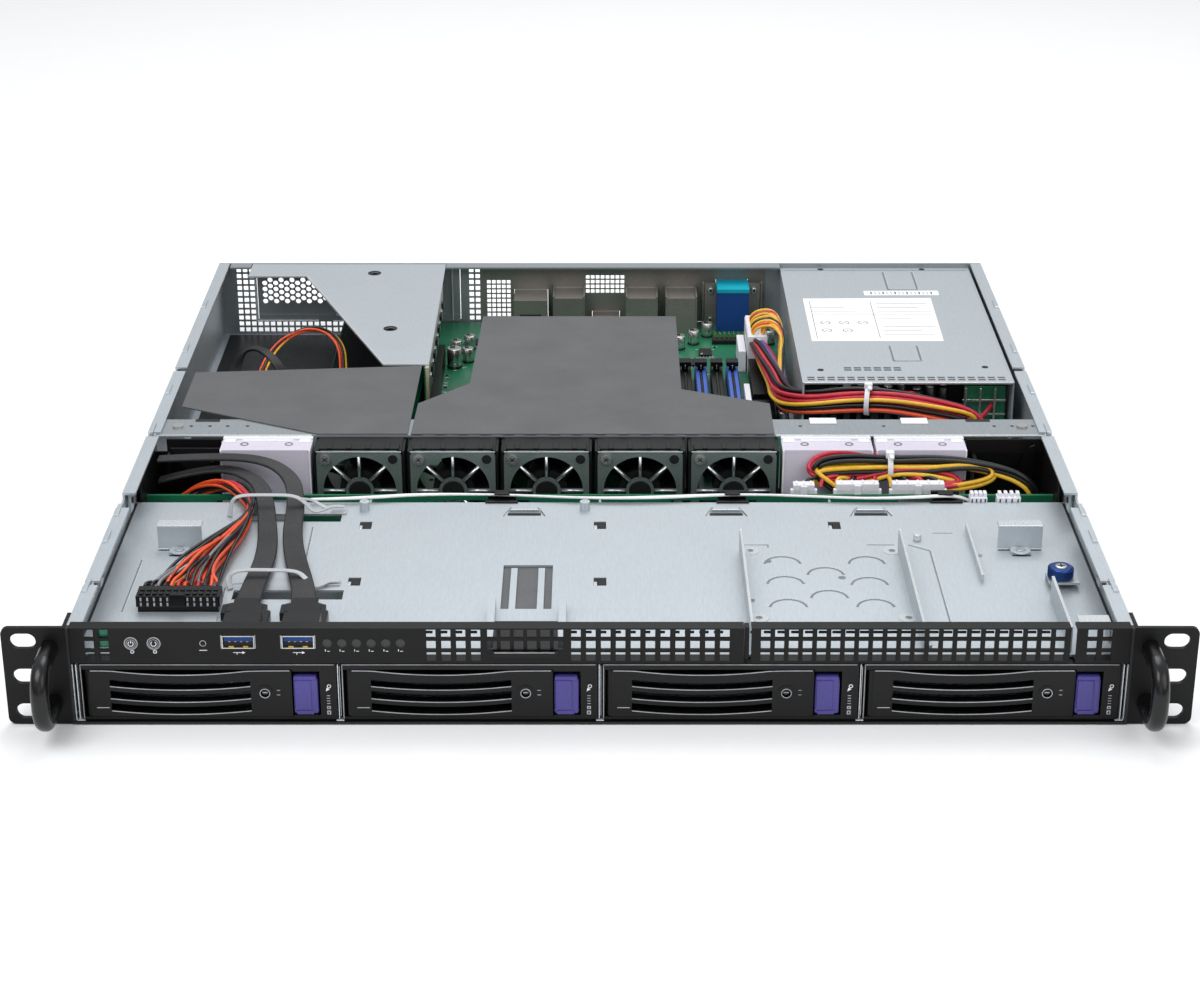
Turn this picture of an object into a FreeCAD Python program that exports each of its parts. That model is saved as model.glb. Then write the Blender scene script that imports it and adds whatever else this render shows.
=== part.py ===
"""One-unit rack server with its lid off, built as separate named pieces.

Axes: X to the right as seen from the front, Y from the front to the rear, Z up.
The origin is on the underside, in the middle, in the plane of the rack ears' front faces.
"""
import FreeCAD, Part
import Sketcher
import math
import os
import re

SIZES = {
    # rack panel, ears and handles
    "panel_width": 482.6, "panel_height": 43.7, "ear_thickness": 2.0, "ear_flange_sheet": 1.6,
    "ear_flange_depth": 14.0, "slot_spacing": 465.1, "slot_first_height": 5.95,
    "slot_pitch": 15.875, "slot_length": 10.5, "slot_width": 6.8,
    "ear_corner": 3.0,
    "handle_offset": 222.0, "handle_width": 7.0, "handle_bar": 8.0, "handle_reach": 28.0,
    "handle_low": 10.0, "handle_high": 34.5, "handle_bend": 10.0, "handle_round": 3.2,
    # sheet-metal chassis
    "body_width": 430.0, "body_height": 43.5, "body_depth": 458.0, "sheet": 1.0,
    "floor_lead": 0.5, "bay_setback": 2.0, "lip_width": 6.0, "lip_notch_depth": 3.0,
    "notch_front_place": 40.0, "notch_front_length": 4.0,
    "notch_deck_place": 119.0, "notch_deck_length": 16.0,
    "notch_wall_place": 202.0, "notch_wall_length": 5.0,
    "notch_rear_place": 288.0, "notch_rear_length": 5.0,
    # rear panel
    "rear_lip": 7.0, "rear_hole": 2.6, "rear_pitch": 3.56,
    "rear_side_rows": 9, "rear_side_columns": 3, "rear_low_rows": 2, "rear_low_columns": 32,
    "rear_hole_low": 2.6, "rear_hole_side": 205.6, "rear_mid_columns": 2,
    "expansion_left": 194.5, "expansion_right": 79.0, "expansion_low": 10.2,
    "expansion_high": 41.0, "cover_gap": 0.4, "cover_hole": 2.9, "cover_pitch_x": 6.2,
    "cover_pitch_z": 3.6, "cover_columns": 6, "cover_rows": 4, "cover_hole_left": 190.0,
    "cover_hole_low": 21.0,
    # input-output plate and the ports behind it
    "io_left": 66.0, "io_right": 92.0, "io_low": 8.5, "io_high": 41.0, "io_sheet": 0.5,
    "io_margin": 1.5, "io_columns": 5, "io_rows": 8, "io_hole_left": 64.0,
    "io_hole": 2.1, "io_pitch": 2.8, "io_mid_left": 8.0, "io_mid_low": 26.2,
    "io_mid_columns": 8, "io_mid_rows": 4,
    "port_play": 0.3, "port_reach": 0.6,
    "tower_width": 18.6, "tower_height": 19.0, "tower_depth": 21.0, "tower_centre": -39.0,
    "jack_width": 16.4, "jack_height": 13.4, "jack_depth": 21.0, "jack_1_centre": -17.5,
    "jack_2_centre": 23.5, "jack_3_centre": 45.6, "jack_base": 16.0,
    "jack_hole_width": 11.7, "jack_hole_height": 8.4, "jack_hole_depth": 13.0,
    "video_width": 15.2, "video_height": 6.0, "video_depth": 12.0, "video_centre": 3.4,
    "stack_width": 17.7, "stack_depth": 19.0, "stack_centre": 74.6, "flange_width": 31.0,
    "flange_thickness": 2.4, "vga_height": 12.6, "serial_height": 12.4,
    # drive deck
    "deck_top": 28.5, "deck_length": 158.5, "deck_sheet": 1.0, "deck_front_step": 0.6,
    "deck_step_length": 44.0, "deck_slot_rear_left": 158.0, "deck_slot_rear_right": 117.5,
    "deck_slot_rear_front": 137.0, "deck_slot_rear_back": 145.5,
    "deck_slot_front_left": 156.5, "deck_slot_front_right": 109.5,
    "deck_slot_front_front": 57.0, "deck_slot_front_back": 66.0,
    "tab_hole_width": 5.5, "tab_hole_length": 8.0, "tab_hole_pitch": 105.8,
    "tab_hole_rear": 133.0, "tab_hole_front": 74.5,
    "window_left": 42.0, "window_right": 20.5, "window_front": 48.0, "window_back": 91.0,
    "finger_width": 2.8, "finger_inset": 3.4,
    "lance_width": 15.0, "lance_length": 3.4, "lance_height": 1.6, "lance_place": 148.5,
    "lance_1_centre": -34.5, "lance_2_centre": 57.5, "lance_3_centre": 123.5,
    "stud_radius": 2.3, "stud_height": 4.2, "stud_1_x": -107.6, "stud_2_x": -6.9,
    "stud_place": 150.0,
    # fittings on the deck
    "fence_sheet": 1.0, "fence_height": 11.0, "fence_left": 61.5, "fence_right": 131.5,
    "fence_length": 104.0, "low_fence_height": 4.0, "low_fence_x": 164.0,
    "low_fence_front": 73.0, "low_fence_back": 127.0, "screw_fence_x": 192.0,
    "screw_fence_front": 9.0, "screw_fence_back": 68.0,
    "hook_width": 19.5, "hook_height": 11.5, "hook_shelf": 6.0, "hook_x": 185.5,
    "hook_place": 107.0, "hook_foot_width": 9.0, "hook_foot_length": 5.0, "hook_hole": 1.2,
    "screw_shelf_width": 13.0, "screw_shelf_length": 11.0, "screw_shelf_height": 3.5,
    "screw_shelf_x": 197.5, "screw_shelf_place": 71.5, "screw_hole": 2.2,
    "knob_radius": 5.5, "knob_height": 5.0, "knob_shank": 1.9, "knob_shank_length": 2.2,
    "knob_stand": 0.3, "knob_grip_count": 24, "knob_grip_radius": 0.35,
    "header_width": 34.0, "header_length": 12.0, "header_height": 5.0, "header_x": -177.0,
    "header_place": 44.5,
    # front bezel and the blank in the slim bay
    "bezel_bottom": 27.7, "bezel_sheet": 1.2, "bezel_flange": 6.0, "bezel_split": 58.0,
    "bezel_right_start": 192.0, "vent_hole": 3.8, "vent_pitch_x": 6.0, "vent_pitch_z": 5.15,
    "vent_low": 28.9, "vent_rows": 3, "vent_end_x": 205.9, "vent_end_columns": 2,
    "vent_1_x": -70.0, "vent_1_columns": 4, "vent_2_x": -11.6, "vent_2_columns": 11,
    "tag_vent_x": -45.4, "tag_vent_rows": 2, "tag_vent_columns": 6, "tag_vent_pitch": 5.35,
    "blank_left": 61.0, "blank_right": 189.6, "blank_pitch": 5.65, "blank_columns": 22,
    # buttons, sockets and lights on the bezel
    "power_x": -189.0, "identify_x": -179.8, "reset_x": -160.0, "button_z": 36.8,
    "button_radius": 2.1, "button_play": 0.25,
    "button_length": 5.2, "button_flange": 0.8, "button_proud": 0.5, "reset_radius": 0.8,
    "usb_1_x": -145.8, "usb_2_x": -121.7, "usb_width": 13.1, "usb_height": 5.7,
    "usb_depth": 16.0, "usb_base": 34.5, "usb_shell": 0.4, "usb_tongue": 1.9,
    "light_first_x": -109.9, "light_pitch": 5.9, "light_count": 6, "light_radius": 1.5,
    "light_z": 36.9, "light_depth": 6.0, "front_board_thickness": 1.6,
    "front_board_left": 197.0, "front_board_right": 77.0, "front_board_low": 29.4,
    "front_board_depth": 22.0,
    # pull-out information tag and its guide
    "tag_width": 26.0, "tag_centre": -30.4, "tag_thickness": 1.2, "tag_base": 31.6,
    "tag_length": 28.0, "tag_lip_height": 2.2, "tag_lip_depth": 1.6, "tag_play": 0.3,
    "guide_wall": 1.0, "guide_length": 40.0, "guide_start": 8.0,
    # drive bays and trays
    "tray_width": 104.0, "tray_gap": 0.5, "partition_sheet": 1.0, "partition_length": 162.0,
    "tray_bottom": 1.5, "tray_top": 27.1, "tray_face": 0.8, "tray_block": 14.0,
    "tray_rail": 1.1, "tray_rail_top": 20.0, "tray_length": 160.0,
    "recess_left": 51.1, "recess_right": 34.2, "recess_low": 2.8, "recess_high": 24.4,
    "recess_depth": 5.6, "window_start": 40.0, "window_end": 17.0,
    "tray_window_low": 4.4, "tray_window_high": 20.6,
    "button_well_right": 45.2, "button_well_low": 3.6, "button_well_high": 23.6,
    "button_well_depth": 10.4,
    "lever_play": 0.35, "lever_face": 0.4, "lever_thickness": 4.4, "pivot_inset": 2.9,
    "pivot_depth": 3.2, "barrel_radius": 2.4, "pivot_pin": 0.9, "pivot_pin_length": 2.2,
    "pivot_fit": 0.05, "lever_dip": 2.0, "rib_dip": 1.7, "rib_high": 17.0,
    "rib_pitch": 5.6, "rib_height": 2.1, "lever_slit": 3.0,
    "lock_radius": 2.8, "lock_proud": 0.3, "lock_x": 22.8, "lock_z": 13.9,
    "lock_hole": 1.7, "lock_hole_depth": 3.0,
    "catch_play": 0.35, "catch_proud": 0.6, "catch_depth": 7.2, "catch_bevel": 1.5,
    # backplane behind the trays
    "backplane_gap": 7.0, "backplane_thickness": 1.6, "backplane_low": 1.0,
    "backplane_high": 26.5, "plug_width": 34.0, "plug_height": 6.0, "plug_depth": 6.0,
    "plug_low": 4.0, "plug_side": 14.0, "vent_cut_width": 40.0, "vent_cut_low": 13.0,
    "vent_cut_high": 24.0,
    # fans, their guards and the wall that holds them
    "fan_size": 40.0, "fan_depth": 26.4, "fan_front": 189.6, "fan_pitch": 44.1,
    "fan_first_x": -113.4, "fan_count": 5, "fan_seat": 0.3, "fan_bore": 18.4,
    "fan_rim": 1.5, "fan_flange": 3.2, "fan_corner": 3.0, "fan_screw": 1.9,
    "fan_screw_pitch": 32.0, "fan_cup": 7.0, "fan_cup_depth": 3.0, "fan_strut": 2.4,
    "fan_axle_hole": 1.5, "fan_hub": 9.6, "fan_tip": 16.6, "fan_blade": 1.2,
    "fan_blade_count": 7, "fan_blade_rise": 8.0,
    "fan_rotor_depth": 17.0, "fan_rotor_front": 1.4, "fan_axle_fit": 0.05,
    "guard_sheet": 0.9, "guard_opening": 17.4, "guard_ring_out": 6.6, "guard_ring_in": 4.8,
    "guard_spoke": 1.5, "guard_spokes": 8,
    "beam_front": 206.0, "beam_back": 226.0, "beam_top": 42.3, "beam_drop": 5.0,
    "seat_left": 180.0, "seat_right": 174.5, "seat_front": 186.0,
    "seat_back": 217.5,
    "filler_width": 42.6, "filler_height": 40.0, "filler_depth": 15.0, "filler_wall": 1.4,
    "filler_1_x": -157.5, "filler_2_x": 107.2, "filler_3_x": 151.3, "filler_front": 190.0,
    "baffle_sheet": 1.6, "baffle_height": 34.0, "baffle_inner": 182.0, "baffle_outer": 212.5,
    "baffle_right_inner": 176.5, "baffle_front": 190.5, "baffle_back": 204.0,
    # air shrouds
    "shroud_sheet": 0.6, "shroud_top": 42.9, "shroud_skirt": 14.0,
    "shroud_left_front": 90.0, "shroud_right_front": 83.0, "shroud_front": 206.6,
    "shroud_shoulder": 245.5, "shroud_left_shoulder": 89.0, "shroud_neck_left": 64.9,
    "shroud_neck_front": 272.5, "shroud_back": 371.0, "shroud_back_left": 62.4,
    "shroud_back_right": 40.4, "shroud_right_neck": 264.5, "shroud_split": 1.4,
    "side_shroud_left": 204.0, "side_shroud_left_front": 241.5,
    "side_shroud_left_back": 287.5, "side_shroud_back": 297.0, "side_shroud_step": 134.5,
    # motherboard and what is soldered to it
    "board_width": 244.0, "board_left": 146.0, "board_depth": 236.0, "board_thickness": 1.6,
    "board_height": 7.5, "board_rear_gap": 2.0, "standoff_radius": 2.5,
    "standoff_inset": 10.0, "memory_x": 45.4, "memory_pitch": 8.4, "memory_count": 4,
    "memory_width": 6.4, "memory_body_height": 7.6, "memory_length": 132.0,
    "memory_back": 366.0, "memory_groove": 1.6, "memory_groove_depth": 4.0,
    "memory_post_length": 7.0, "memory_cheek": 1.2,
    "latch_play": 0.3, "latch_height": 12.4, "latch_length": 4.0, "latch_pivot_up": 3.0,
    "latch_pin": 0.9, "latch_fit": 0.05, "latch_lip": 2.4,
    "cooler_width": 88.0, "cooler_depth": 88.0, "cooler_x": -12.0, "cooler_place": 262.0,
    "cooler_base": 4.0, "cooler_height": 24.0, "cooler_lift": 3.0, "fin_sheet": 0.7,
    "fin_pitch": 3.6, "fin_count": 24, "chip_size": 44.0,
    "socket24_x": 84.6, "socket24_width": 10.0, "socket24_length": 52.0,
    "socket24_front": 318.0, "socket24_height": 10.0, "plug24_height": 12.0,
    "plug24_length": 34.0, "socket8_x": 84.6, "socket8_front": 290.0,
    "socket8_length": 20.0, "choke_size": 9.0, "choke_height": 7.0, "choke_count": 6,
    "choke_pitch": 11.0, "choke_x": -62.0,
    "slot_front": 300.0, "slot_socket_length": 89.0, "slot_socket_width": 8.8,
    "slot_socket_height": 11.0,
    # riser card and its cage
    "riser_x": -88.6, "riser_thickness": 1.6, "riser_front": 296.0, "riser_back": 424.0,
    "riser_low": 11.4, "riser_high": 42.0,
    "riser_socket_width": 11.0, "riser_socket_height": 8.8,
    "riser_socket_place": 330.0, "riser_socket_low": 20.6,
    "cage_top": 43.2, "cage_left": 196.0, "cage_right": 87.0, "cage_front": 298.0,
    "cage_front_left": 110.0, "cage_waist": 435.5, "cage_waist_left": 163.0,
    "cage_drop": 9.0, "cage_hole": 2.8, "cage_hole_1_x": -126.0, "cage_hole_1_y": 441.0,
    "cage_hole_2_x": -110.5, "cage_hole_2_y": 351.0,
    # power supply
    "psu_left": 101.6, "psu_width": 106.4, "psu_front": 278.5,
    "psu_sheet": 0.8, "psu_slot_width": 3.7, "psu_slot_length": 2.0, "psu_slot_pitch": 5.05,
    "psu_slot_count": 20, "psu_slot_start": 104.4, "psu_slot_place": 281.5,
    "psu_row_start": 124.0, "psu_row_count": 6, "psu_row_place": 295.0,
    "psu_board_height": 5.0, "psu_board_thickness": 1.6,
    "inlet_x": 130.0, "inlet_width": 27.0, "inlet_height": 20.0, "inlet_depth": 22.0,
    "inlet_low": 9.0, "inlet_wall": 1.6, "inlet_cavity": 16.0, "inlet_pin_width": 2.0,
    "inlet_pin_height": 4.0, "inlet_pin_length": 10.0, "inlet_pin_spread": 7.0,
    "psu_fan_x": 180.0, "psu_fan_size": 38.4, "psu_fan_depth": 20.0, "psu_fan_bore": 17.4,
    "psu_fan_cup": 7.0, "psu_fan_hub": 9.2, "psu_fan_tip": 15.6,
    "psu_fan_rotor_depth": 12.0, "psu_fan_hole": 2.6, "psu_fan_hole_pitch": 3.6,
    "psu_fan_hole_columns": 9, "psu_fan_hole_rows": 9, "coil_radius": 9.0,
    # wiring
    "trunk_radius": 4.5, "loop_radius": 5.0, "drive_power_1_x": 95.0,
    "drive_power_1_width": 10.0, "drive_power_2_x": 120.0, "drive_power_2_width": 20.0,
    "drive_power_3_x": 148.5, "drive_power_3_width": 24.0, "drive_power_height": 9.0,
    "drive_power_depth": 4.6, "panel_radius": 3.2, "ribbon_width": 6.5,
    "ribbon_thickness": 1.6, "edge_lead_radius": 1.4, "riser_lead_radius": 2.0,
    "data_plug_width": 19.0, "data_plug_front": 37.0, "data_plug_length": 14.5,
    "data_plug_height": 2.8, "strap_front_left": -156.0, "strap_front_right": -119.0,
    "strap_front_place": 72.0, "strap_front_top": 34.4, "strap_rear_left": -164.5,
    "strap_rear_right": -131.5, "strap_rear_place": 145.0, "strap_rear_top": 37.4,
    "strap_width": 4.0, "strap_sheet": 1.2,
    # screws
    "screw_head": 2.6, "screw_head_height": 1.2,
}

WORD = re.compile(r"[a-z][a-z_0-9]*")
document = FreeCAD.newDocument("RackServer")
sheet_object = document.addObject("Spreadsheet::Sheet", "Sizes")
for row, (alias, value) in enumerate(SIZES.items(), 1):
    sheet_object.set(f"A{row}", alias)
    sheet_object.set(f"B{row}", str(value))
    sheet_object.setAlias(f"B{row}", alias)
document.recompute()

EXPORTED = []


def link(text):
    """Turn the sizes named in a formula into references to the sheet."""
    return WORD.sub(lambda m: f"Sizes.{m.group()}" if m.group() in SIZES else m.group(), text)


def number(text):
    """The present value of a formula."""
    return float(PROBE.evalExpression(link(text)))


def bind(target, **formulas):
    """Bind properties to formulas; a double underscore stands for a dot."""
    for name, text in formulas.items():
        target.setExpression(name.replace("__", "."), link(str(text)))
    return target


def place(target, x="0", y="0", z="0"):
    """Bind an object's position."""
    return bind(target, Placement__Base__x=x, Placement__Base__y=y, Placement__Base__z=z)


def part(kind, label):
    """A new Part object."""
    made = document.addObject(f"Part::{kind}", label)
    made.Label = label
    return made


PROBE = part("Feature", "probe")


def block(label, x, y, z):
    """A box between the two formulas given for each axis."""
    made = part("Box", label)
    bind(made, Length=f"({x[1]}) - ({x[0]})", Width=f"({y[1]}) - ({y[0]})",
         Height=f"({z[1]}) - ({z[0]})")
    return place(made, x[0], y[0], z[0])


TURNS = {
    "z": FreeCAD.Rotation(),
    "y": FreeCAD.Rotation(FreeCAD.Vector(1, 0, 0), -90),
    "x": FreeCAD.Rotation(FreeCAD.Vector(0, 1, 0), 90),
}


def rod(label, axis, radius, length, x, y, z):
    """A cylinder along an axis, starting at a point."""
    made = part("Cylinder", label)
    made.Placement = FreeCAD.Placement(FreeCAD.Vector(), TURNS[axis])
    bind(made, Radius=radius, Height=length)
    return place(made, x, y, z)


def fuse(label, *pieces):
    """One solid from touching or overlapping pieces."""
    made = part("MultiFuse", label)
    made.Shapes = list(pieces)
    return made


def group(label, *pieces):
    """Separate solids under one name."""
    made = part("Compound", label)
    made.Links = list(pieces)
    return made


def cut(label, base, *tools):
    """A piece with other pieces cut out of it."""
    made = part("Cut", label)
    made.Base = base
    made.Tool = tools[0] if len(tools) == 1 else group(f"{label}_tools", *tools)
    return made


def copy_at(label, source, x="0", y="0", z="0"):
    """A placed copy of a piece that is modelled at the origin."""
    return place(group(label, source), x, y, z)


def mirrored(label, source):
    """The same piece on the other side of the middle plane."""
    made = part("Mirroring", label)
    made.Source = source
    made.Normal = FreeCAD.Vector(1, 0, 0)
    return made


def export(piece, label=None):
    """Mark a piece as a sub-part of its own."""
    piece.Label = label or piece.Label
    EXPORTED.append(piece)
    return piece


def body(label):
    """A new PartDesign body."""
    made = document.addObject("PartDesign::Body", label)
    made.Label = label
    return made


def datum(owner, role):
    """An origin plane or axis of a body."""
    return next(item for item in owner.Origin.OriginFeatures if item.Role == role)


def sketch(owner, plane, level="0"):
    """A sketch on an origin plane of its body, moved along the plane's normal."""
    made = owner.newObject("Sketcher::SketchObject", f"{owner.Name}_sketch")
    made.AttachmentSupport = [(datum(owner, plane), "")]
    made.MapMode = "FlatFace"
    sign = "-1 * " if plane == "XZ_Plane" else ""
    return bind(made, AttachmentOffset__Base__z=f"{sign}({level})")


def pin_point(target, index, vertex, across, up):
    """Hold one point of a sketch at two formulas."""
    for kind, text in (("DistanceX", across), ("DistanceY", up)):
        rule = target.addConstraint(
            Sketcher.Constraint(kind, -1, 1, index, vertex, number(text)))
        target.setExpression(f"Constraints[{rule}]", link(text))


def bow_radius(first, last, bow):
    """The radius of an arc over a chord."""
    return (last - first).Length ** 2 / (8 * abs(bow)) + abs(bow) / 2


def bowed_side(first, last, bow):
    """An arc between two points that bulges to the left of travel, drawn anticlockwise."""
    run = last - first
    left = FreeCAD.Vector(-run.y, run.x, 0).normalize()
    radius = bow_radius(first, last, bow)
    centre = (first + last) / 2 + left * (bow - math.copysign(radius, bow))
    start, end = (last, first) if bow > 0 else (first, last)
    angles = [math.atan2(spot.y - centre.y, spot.x - centre.x) for spot in (start, end)]
    if angles[1] < angles[0]:
        angles[1] += 2 * math.pi
    ring = Part.Circle(centre, FreeCAD.Vector(0, 0, 1), radius)
    return Part.ArcOfCircle(ring, *angles)


def outline(target, points):
    """A closed outline. A third entry bows the side that follows by that much to its left.

    A half circle has a fourth entry, the formula for its centre across the sketch.
    """
    places = [FreeCAD.Vector(number(p[0]), number(p[1]), 0) for p in points]
    ends = []
    for index, point in enumerate(points):
        first, last = places[index], places[(index + 1) % len(points)]
        if len(point) == 2:
            side = target.addGeometry(Part.LineSegment(first, last), False)
            ends.append((side, 1, 2))
            continue
        bow = number(point[2])
        side = target.addGeometry(bowed_side(first, last, bow), False)
        ends.append((side, 2, 1) if bow > 0 else (side, 1, 2))
        if len(point) == 4:
            rule = target.addConstraint(
                Sketcher.Constraint("DistanceX", -1, 1, side, 3, number(point[3])))
            target.setExpression(f"Constraints[{rule}]", link(point[3]))
            continue
        rule = target.addConstraint(
            Sketcher.Constraint("Radius", side, bow_radius(first, last, bow)))
        across = points[(index + 1) % len(points)]
        span = f"(({across[0]}) - ({point[0]})) ^ 2 + (({across[1]}) - ({point[1]})) ^ 2"
        target.setExpression(
            f"Constraints[{rule}]",
            link(f"({span}) / (8 * abs({point[2]})) + abs({point[2]}) / 2"))
    for index, (side, start, _) in enumerate(ends):
        before, _, finish = ends[index - 1]
        target.addConstraint(Sketcher.Constraint("Coincident", before, finish, side, start))
        pin_point(target, side, start, points[index][0], points[index][1])
    return target


def rectangle(target, across, up):
    """A rectangle between two formulas each way."""
    return outline(target, [(across[0], up[0]), (across[1], up[0]),
                            (across[1], up[1]), (across[0], up[1])])


def circle(target, across, up, radius):
    """A circle at two formulas."""
    centre = FreeCAD.Vector(number(across), number(up), 0)
    ring = target.addGeometry(
        Part.Circle(centre, FreeCAD.Vector(0, 0, 1), number(radius)), False)
    pin_point(target, ring, 3, across, up)
    rule = target.addConstraint(Sketcher.Constraint("Radius", ring, number(radius)))
    target.setExpression(f"Constraints[{rule}]", link(radius))
    return target


def obround(target, across, up, length, width):
    """A slot with round ends, its length across the sketch."""
    half = f"(({length}) - ({width})) / 2"
    start, end = f"({across}) - {half}", f"({across}) + {half}"
    low, high = f"({up}) - ({width}) / 2", f"({up}) + ({width}) / 2"
    bow = f"-1 * ({width}) / 2"
    return outline(target, [(start, low), (end, low, bow, end), (end, high),
                            (start, high, bow, start)])


def pad(owner, profile, depth):
    """Material from a sketch, towards +X, +Y or +Z."""
    made = owner.newObject("PartDesign::Pad", f"{owner.Name}_pad")
    made.Profile = profile
    plane = profile.AttachmentSupport[0][0].Role
    made.Reversed = plane == "XZ_Plane"
    return bind(made, Length=depth)


def pocket(owner, profile, depth):
    """A cut from a sketch, towards +X, +Y or +Z."""
    made = owner.newObject("PartDesign::Pocket", f"{owner.Name}_pocket")
    made.Profile = profile
    plane = profile.AttachmentSupport[0][0].Role
    made.Reversed = plane != "XZ_Plane"
    return bind(made, Length=depth)


def repeat(owner, feature, axis, step, count, axis_2=None, step_2="1", count_2="1"):
    """Copies of a feature in a row, or in rows and columns."""
    made = owner.newObject("PartDesign::LinearPattern", f"{owner.Name}_rows")
    made.Originals = [feature]
    made.Refine = False
    made.Direction = (datum(owner, axis), [""])
    made.Mode = "Spacing"
    bind(made, Offset=step, Occurrences=count)
    if axis_2:
        made.Direction2 = (datum(owner, axis_2), [""])
        made.Mode2 = "Extent"
        bind(made, Length2=f"({step_2}) * ({count_2} - 1)", Occurrences2=count_2)
    owner.Tip = made
    return made


def around(owner, feature, axis, count):
    """Copies of a feature all the way round an axis of the body."""
    made = owner.newObject("PartDesign::PolarPattern", f"{owner.Name}_ring")
    made.Originals = [feature]
    made.Axis = (datum(owner, axis), [""])
    made.Angle = 360
    bind(made, Occurrences=count)
    owner.Tip = made
    return made


def square_grid(owner, level, depth, left, low, hole, pitch_x, pitch_z, columns, rows):
    """Square holes in rows and columns through an upright plate."""
    profile = rectangle(sketch(owner, "XZ_Plane", level),
                        (left, f"({left}) + {hole}"), (low, f"({low}) + {hole}"))
    return repeat(owner, pocket(owner, profile, depth), "X_Axis", pitch_x, columns,
                  "Z_Axis", pitch_z, rows)


# ---------------------------------------------------------------- sheet-metal chassis
HALF_BODY = "body_width / 2"
INNER_WALL = "(body_width / 2 - sheet)"
DECK_UNDER = "(deck_top - deck_sheet)"
REAR_INNER = "(body_depth - sheet)"
PSU_HEIGHT = "(psu_fan_size + 2 * psu_sheet)"


def make_chassis():
    """The folded floor and side walls, their top lips notched."""
    tray = body("chassis_tray")
    lip = f"({HALF_BODY} - lip_width)"
    profile = outline(sketch(tray, "XZ_Plane", "-floor_lead"), [
        (f"-{HALF_BODY}", "0"), (HALF_BODY, "0"), (HALF_BODY, "body_height"),
        (lip, "body_height"), (lip, "body_height - sheet"),
        (INNER_WALL, "body_height - sheet"), (INNER_WALL, "sheet"),
        (f"-{INNER_WALL}", "sheet"), (f"-{INNER_WALL}", "body_height - sheet"),
        (f"-{lip}", "body_height - sheet"), (f"-{lip}", "body_height"),
        (f"-{HALF_BODY}", "body_height")])
    pad(tray, profile, f"{REAR_INNER} + floor_lead")
    mouth = sketch(tray, "XY_Plane", "body_height - 2 * sheet")
    rectangle(mouth, (f"-1 * {INNER_WALL}", INNER_WALL), ("-2 * floor_lead", "bezel_flange"))
    pocket(tray, mouth, "3 * sheet")
    for name in ("front", "deck", "wall", "rear"):
        start, length = f"notch_{name}_place", f"notch_{name}_length"
        notch = sketch(tray, "YZ_Plane", f"-1 * {HALF_BODY} - sheet")
        rectangle(notch, (start, f"{start} + {length}"),
                  ("body_height - lip_notch_depth", "body_height + sheet"))
        pocket(tray, notch, "body_width + 2 * sheet")
    return export(tray)


def make_rear_panel():
    """The rear wall, perforated round its three large openings."""
    panel = body("rear_panel")
    wall = sketch(panel, "XZ_Plane", REAR_INNER)
    rectangle(wall, (f"-1 * {HALF_BODY}", HALF_BODY), ("0", "body_height"))
    rectangle(wall, ("-expansion_left", "-expansion_right"), ("expansion_low", "expansion_high"))
    rectangle(wall, ("-io_left", "io_right"), ("io_low", "io_high"))
    rectangle(wall, ("psu_left", "psu_left + psu_width"), ("sheet", f"sheet + {PSU_HEIGHT}"))
    pad(panel, wall, "sheet")
    lip = sketch(panel, "YZ_Plane", f"-1 * {INNER_WALL} + lip_width")
    rectangle(lip, (f"{REAR_INNER} - rear_lip", REAR_INNER),
              ("body_height - sheet", "body_height"))
    pad(panel, lip, "body_width - 2 * sheet - 2 * lip_width")
    bay = sketch(panel, "XY_Plane", "body_height - 2 * sheet")
    rectangle(bay, ("-cage_left - cover_gap", "-cage_right + cover_gap"),
              (f"{REAR_INNER} - rear_lip - sheet", REAR_INNER))
    rectangle(bay, ("psu_left - cover_gap", "psu_left + psu_width + cover_gap"),
              (f"{REAR_INNER} - rear_lip - sheet", REAR_INNER))
    pocket(panel, bay, "3 * sheet")
    grids = [("-rear_hole_side", "rear_hole_low + 2 * rear_pitch", "rear_side_columns",
              "rear_side_rows"),
             ("-rear_hole_side", "rear_hole_low", "rear_low_columns", "rear_low_rows"),
             ("-io_left - 2 * rear_pitch - sheet", "rear_hole_low + 2 * rear_pitch",
              "rear_mid_columns", "rear_side_rows")]
    for left, low, columns, rows in grids:
        square_grid(panel, f"{REAR_INNER} - sheet", "3 * sheet", left, low, "rear_hole",
                    "rear_pitch", "rear_pitch", columns, rows)
    return export(panel)


def make_expansion_cover():
    """The blank over the expansion opening, with round air holes in a staggered field."""
    cover = body("expansion_cover")
    plate = sketch(cover, "XZ_Plane", REAR_INNER)
    rectangle(plate, ("-expansion_left + cover_gap", "-expansion_right - cover_gap"),
              ("expansion_low + cover_gap", "expansion_high - cover_gap"))
    pad(cover, plate, "sheet")
    foot = sketch(cover, "XZ_Plane", f"{REAR_INNER} - sheet")
    rectangle(foot, ("-expansion_left + sheet", "-expansion_right - sheet"),
              ("expansion_low - sheet", "expansion_low + 3 * sheet"))
    pad(cover, foot, "sheet")
    for shift in ("0", "0.5"):
        hole = circle(sketch(cover, "XZ_Plane", f"{REAR_INNER} - sheet"),
                      f"-cover_hole_left + {shift} * cover_pitch_x",
                      f"cover_hole_low + {shift} * cover_pitch_z", "cover_hole / 2")
        repeat(cover, pocket(cover, hole, "3 * sheet"), "X_Axis", "cover_pitch_x",
               "cover_columns", "Z_Axis", "cover_pitch_z", "cover_rows")
    return export(cover)


def port_box(label, centre, width, low, height, depth):
    """The outer box of a socket that reaches through the rear plate."""
    half = f"({width}) / 2"
    return block(label, (f"{centre} - {half}", f"{centre} + {half}"),
                 (f"body_depth + port_reach - {depth}", "body_depth + port_reach"),
                 (low, f"({low}) + {height}"))


BOARD_TOP = "(board_height + board_thickness)"
JACKS = ("jack_1_centre", "jack_2_centre", "jack_3_centre")


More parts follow.
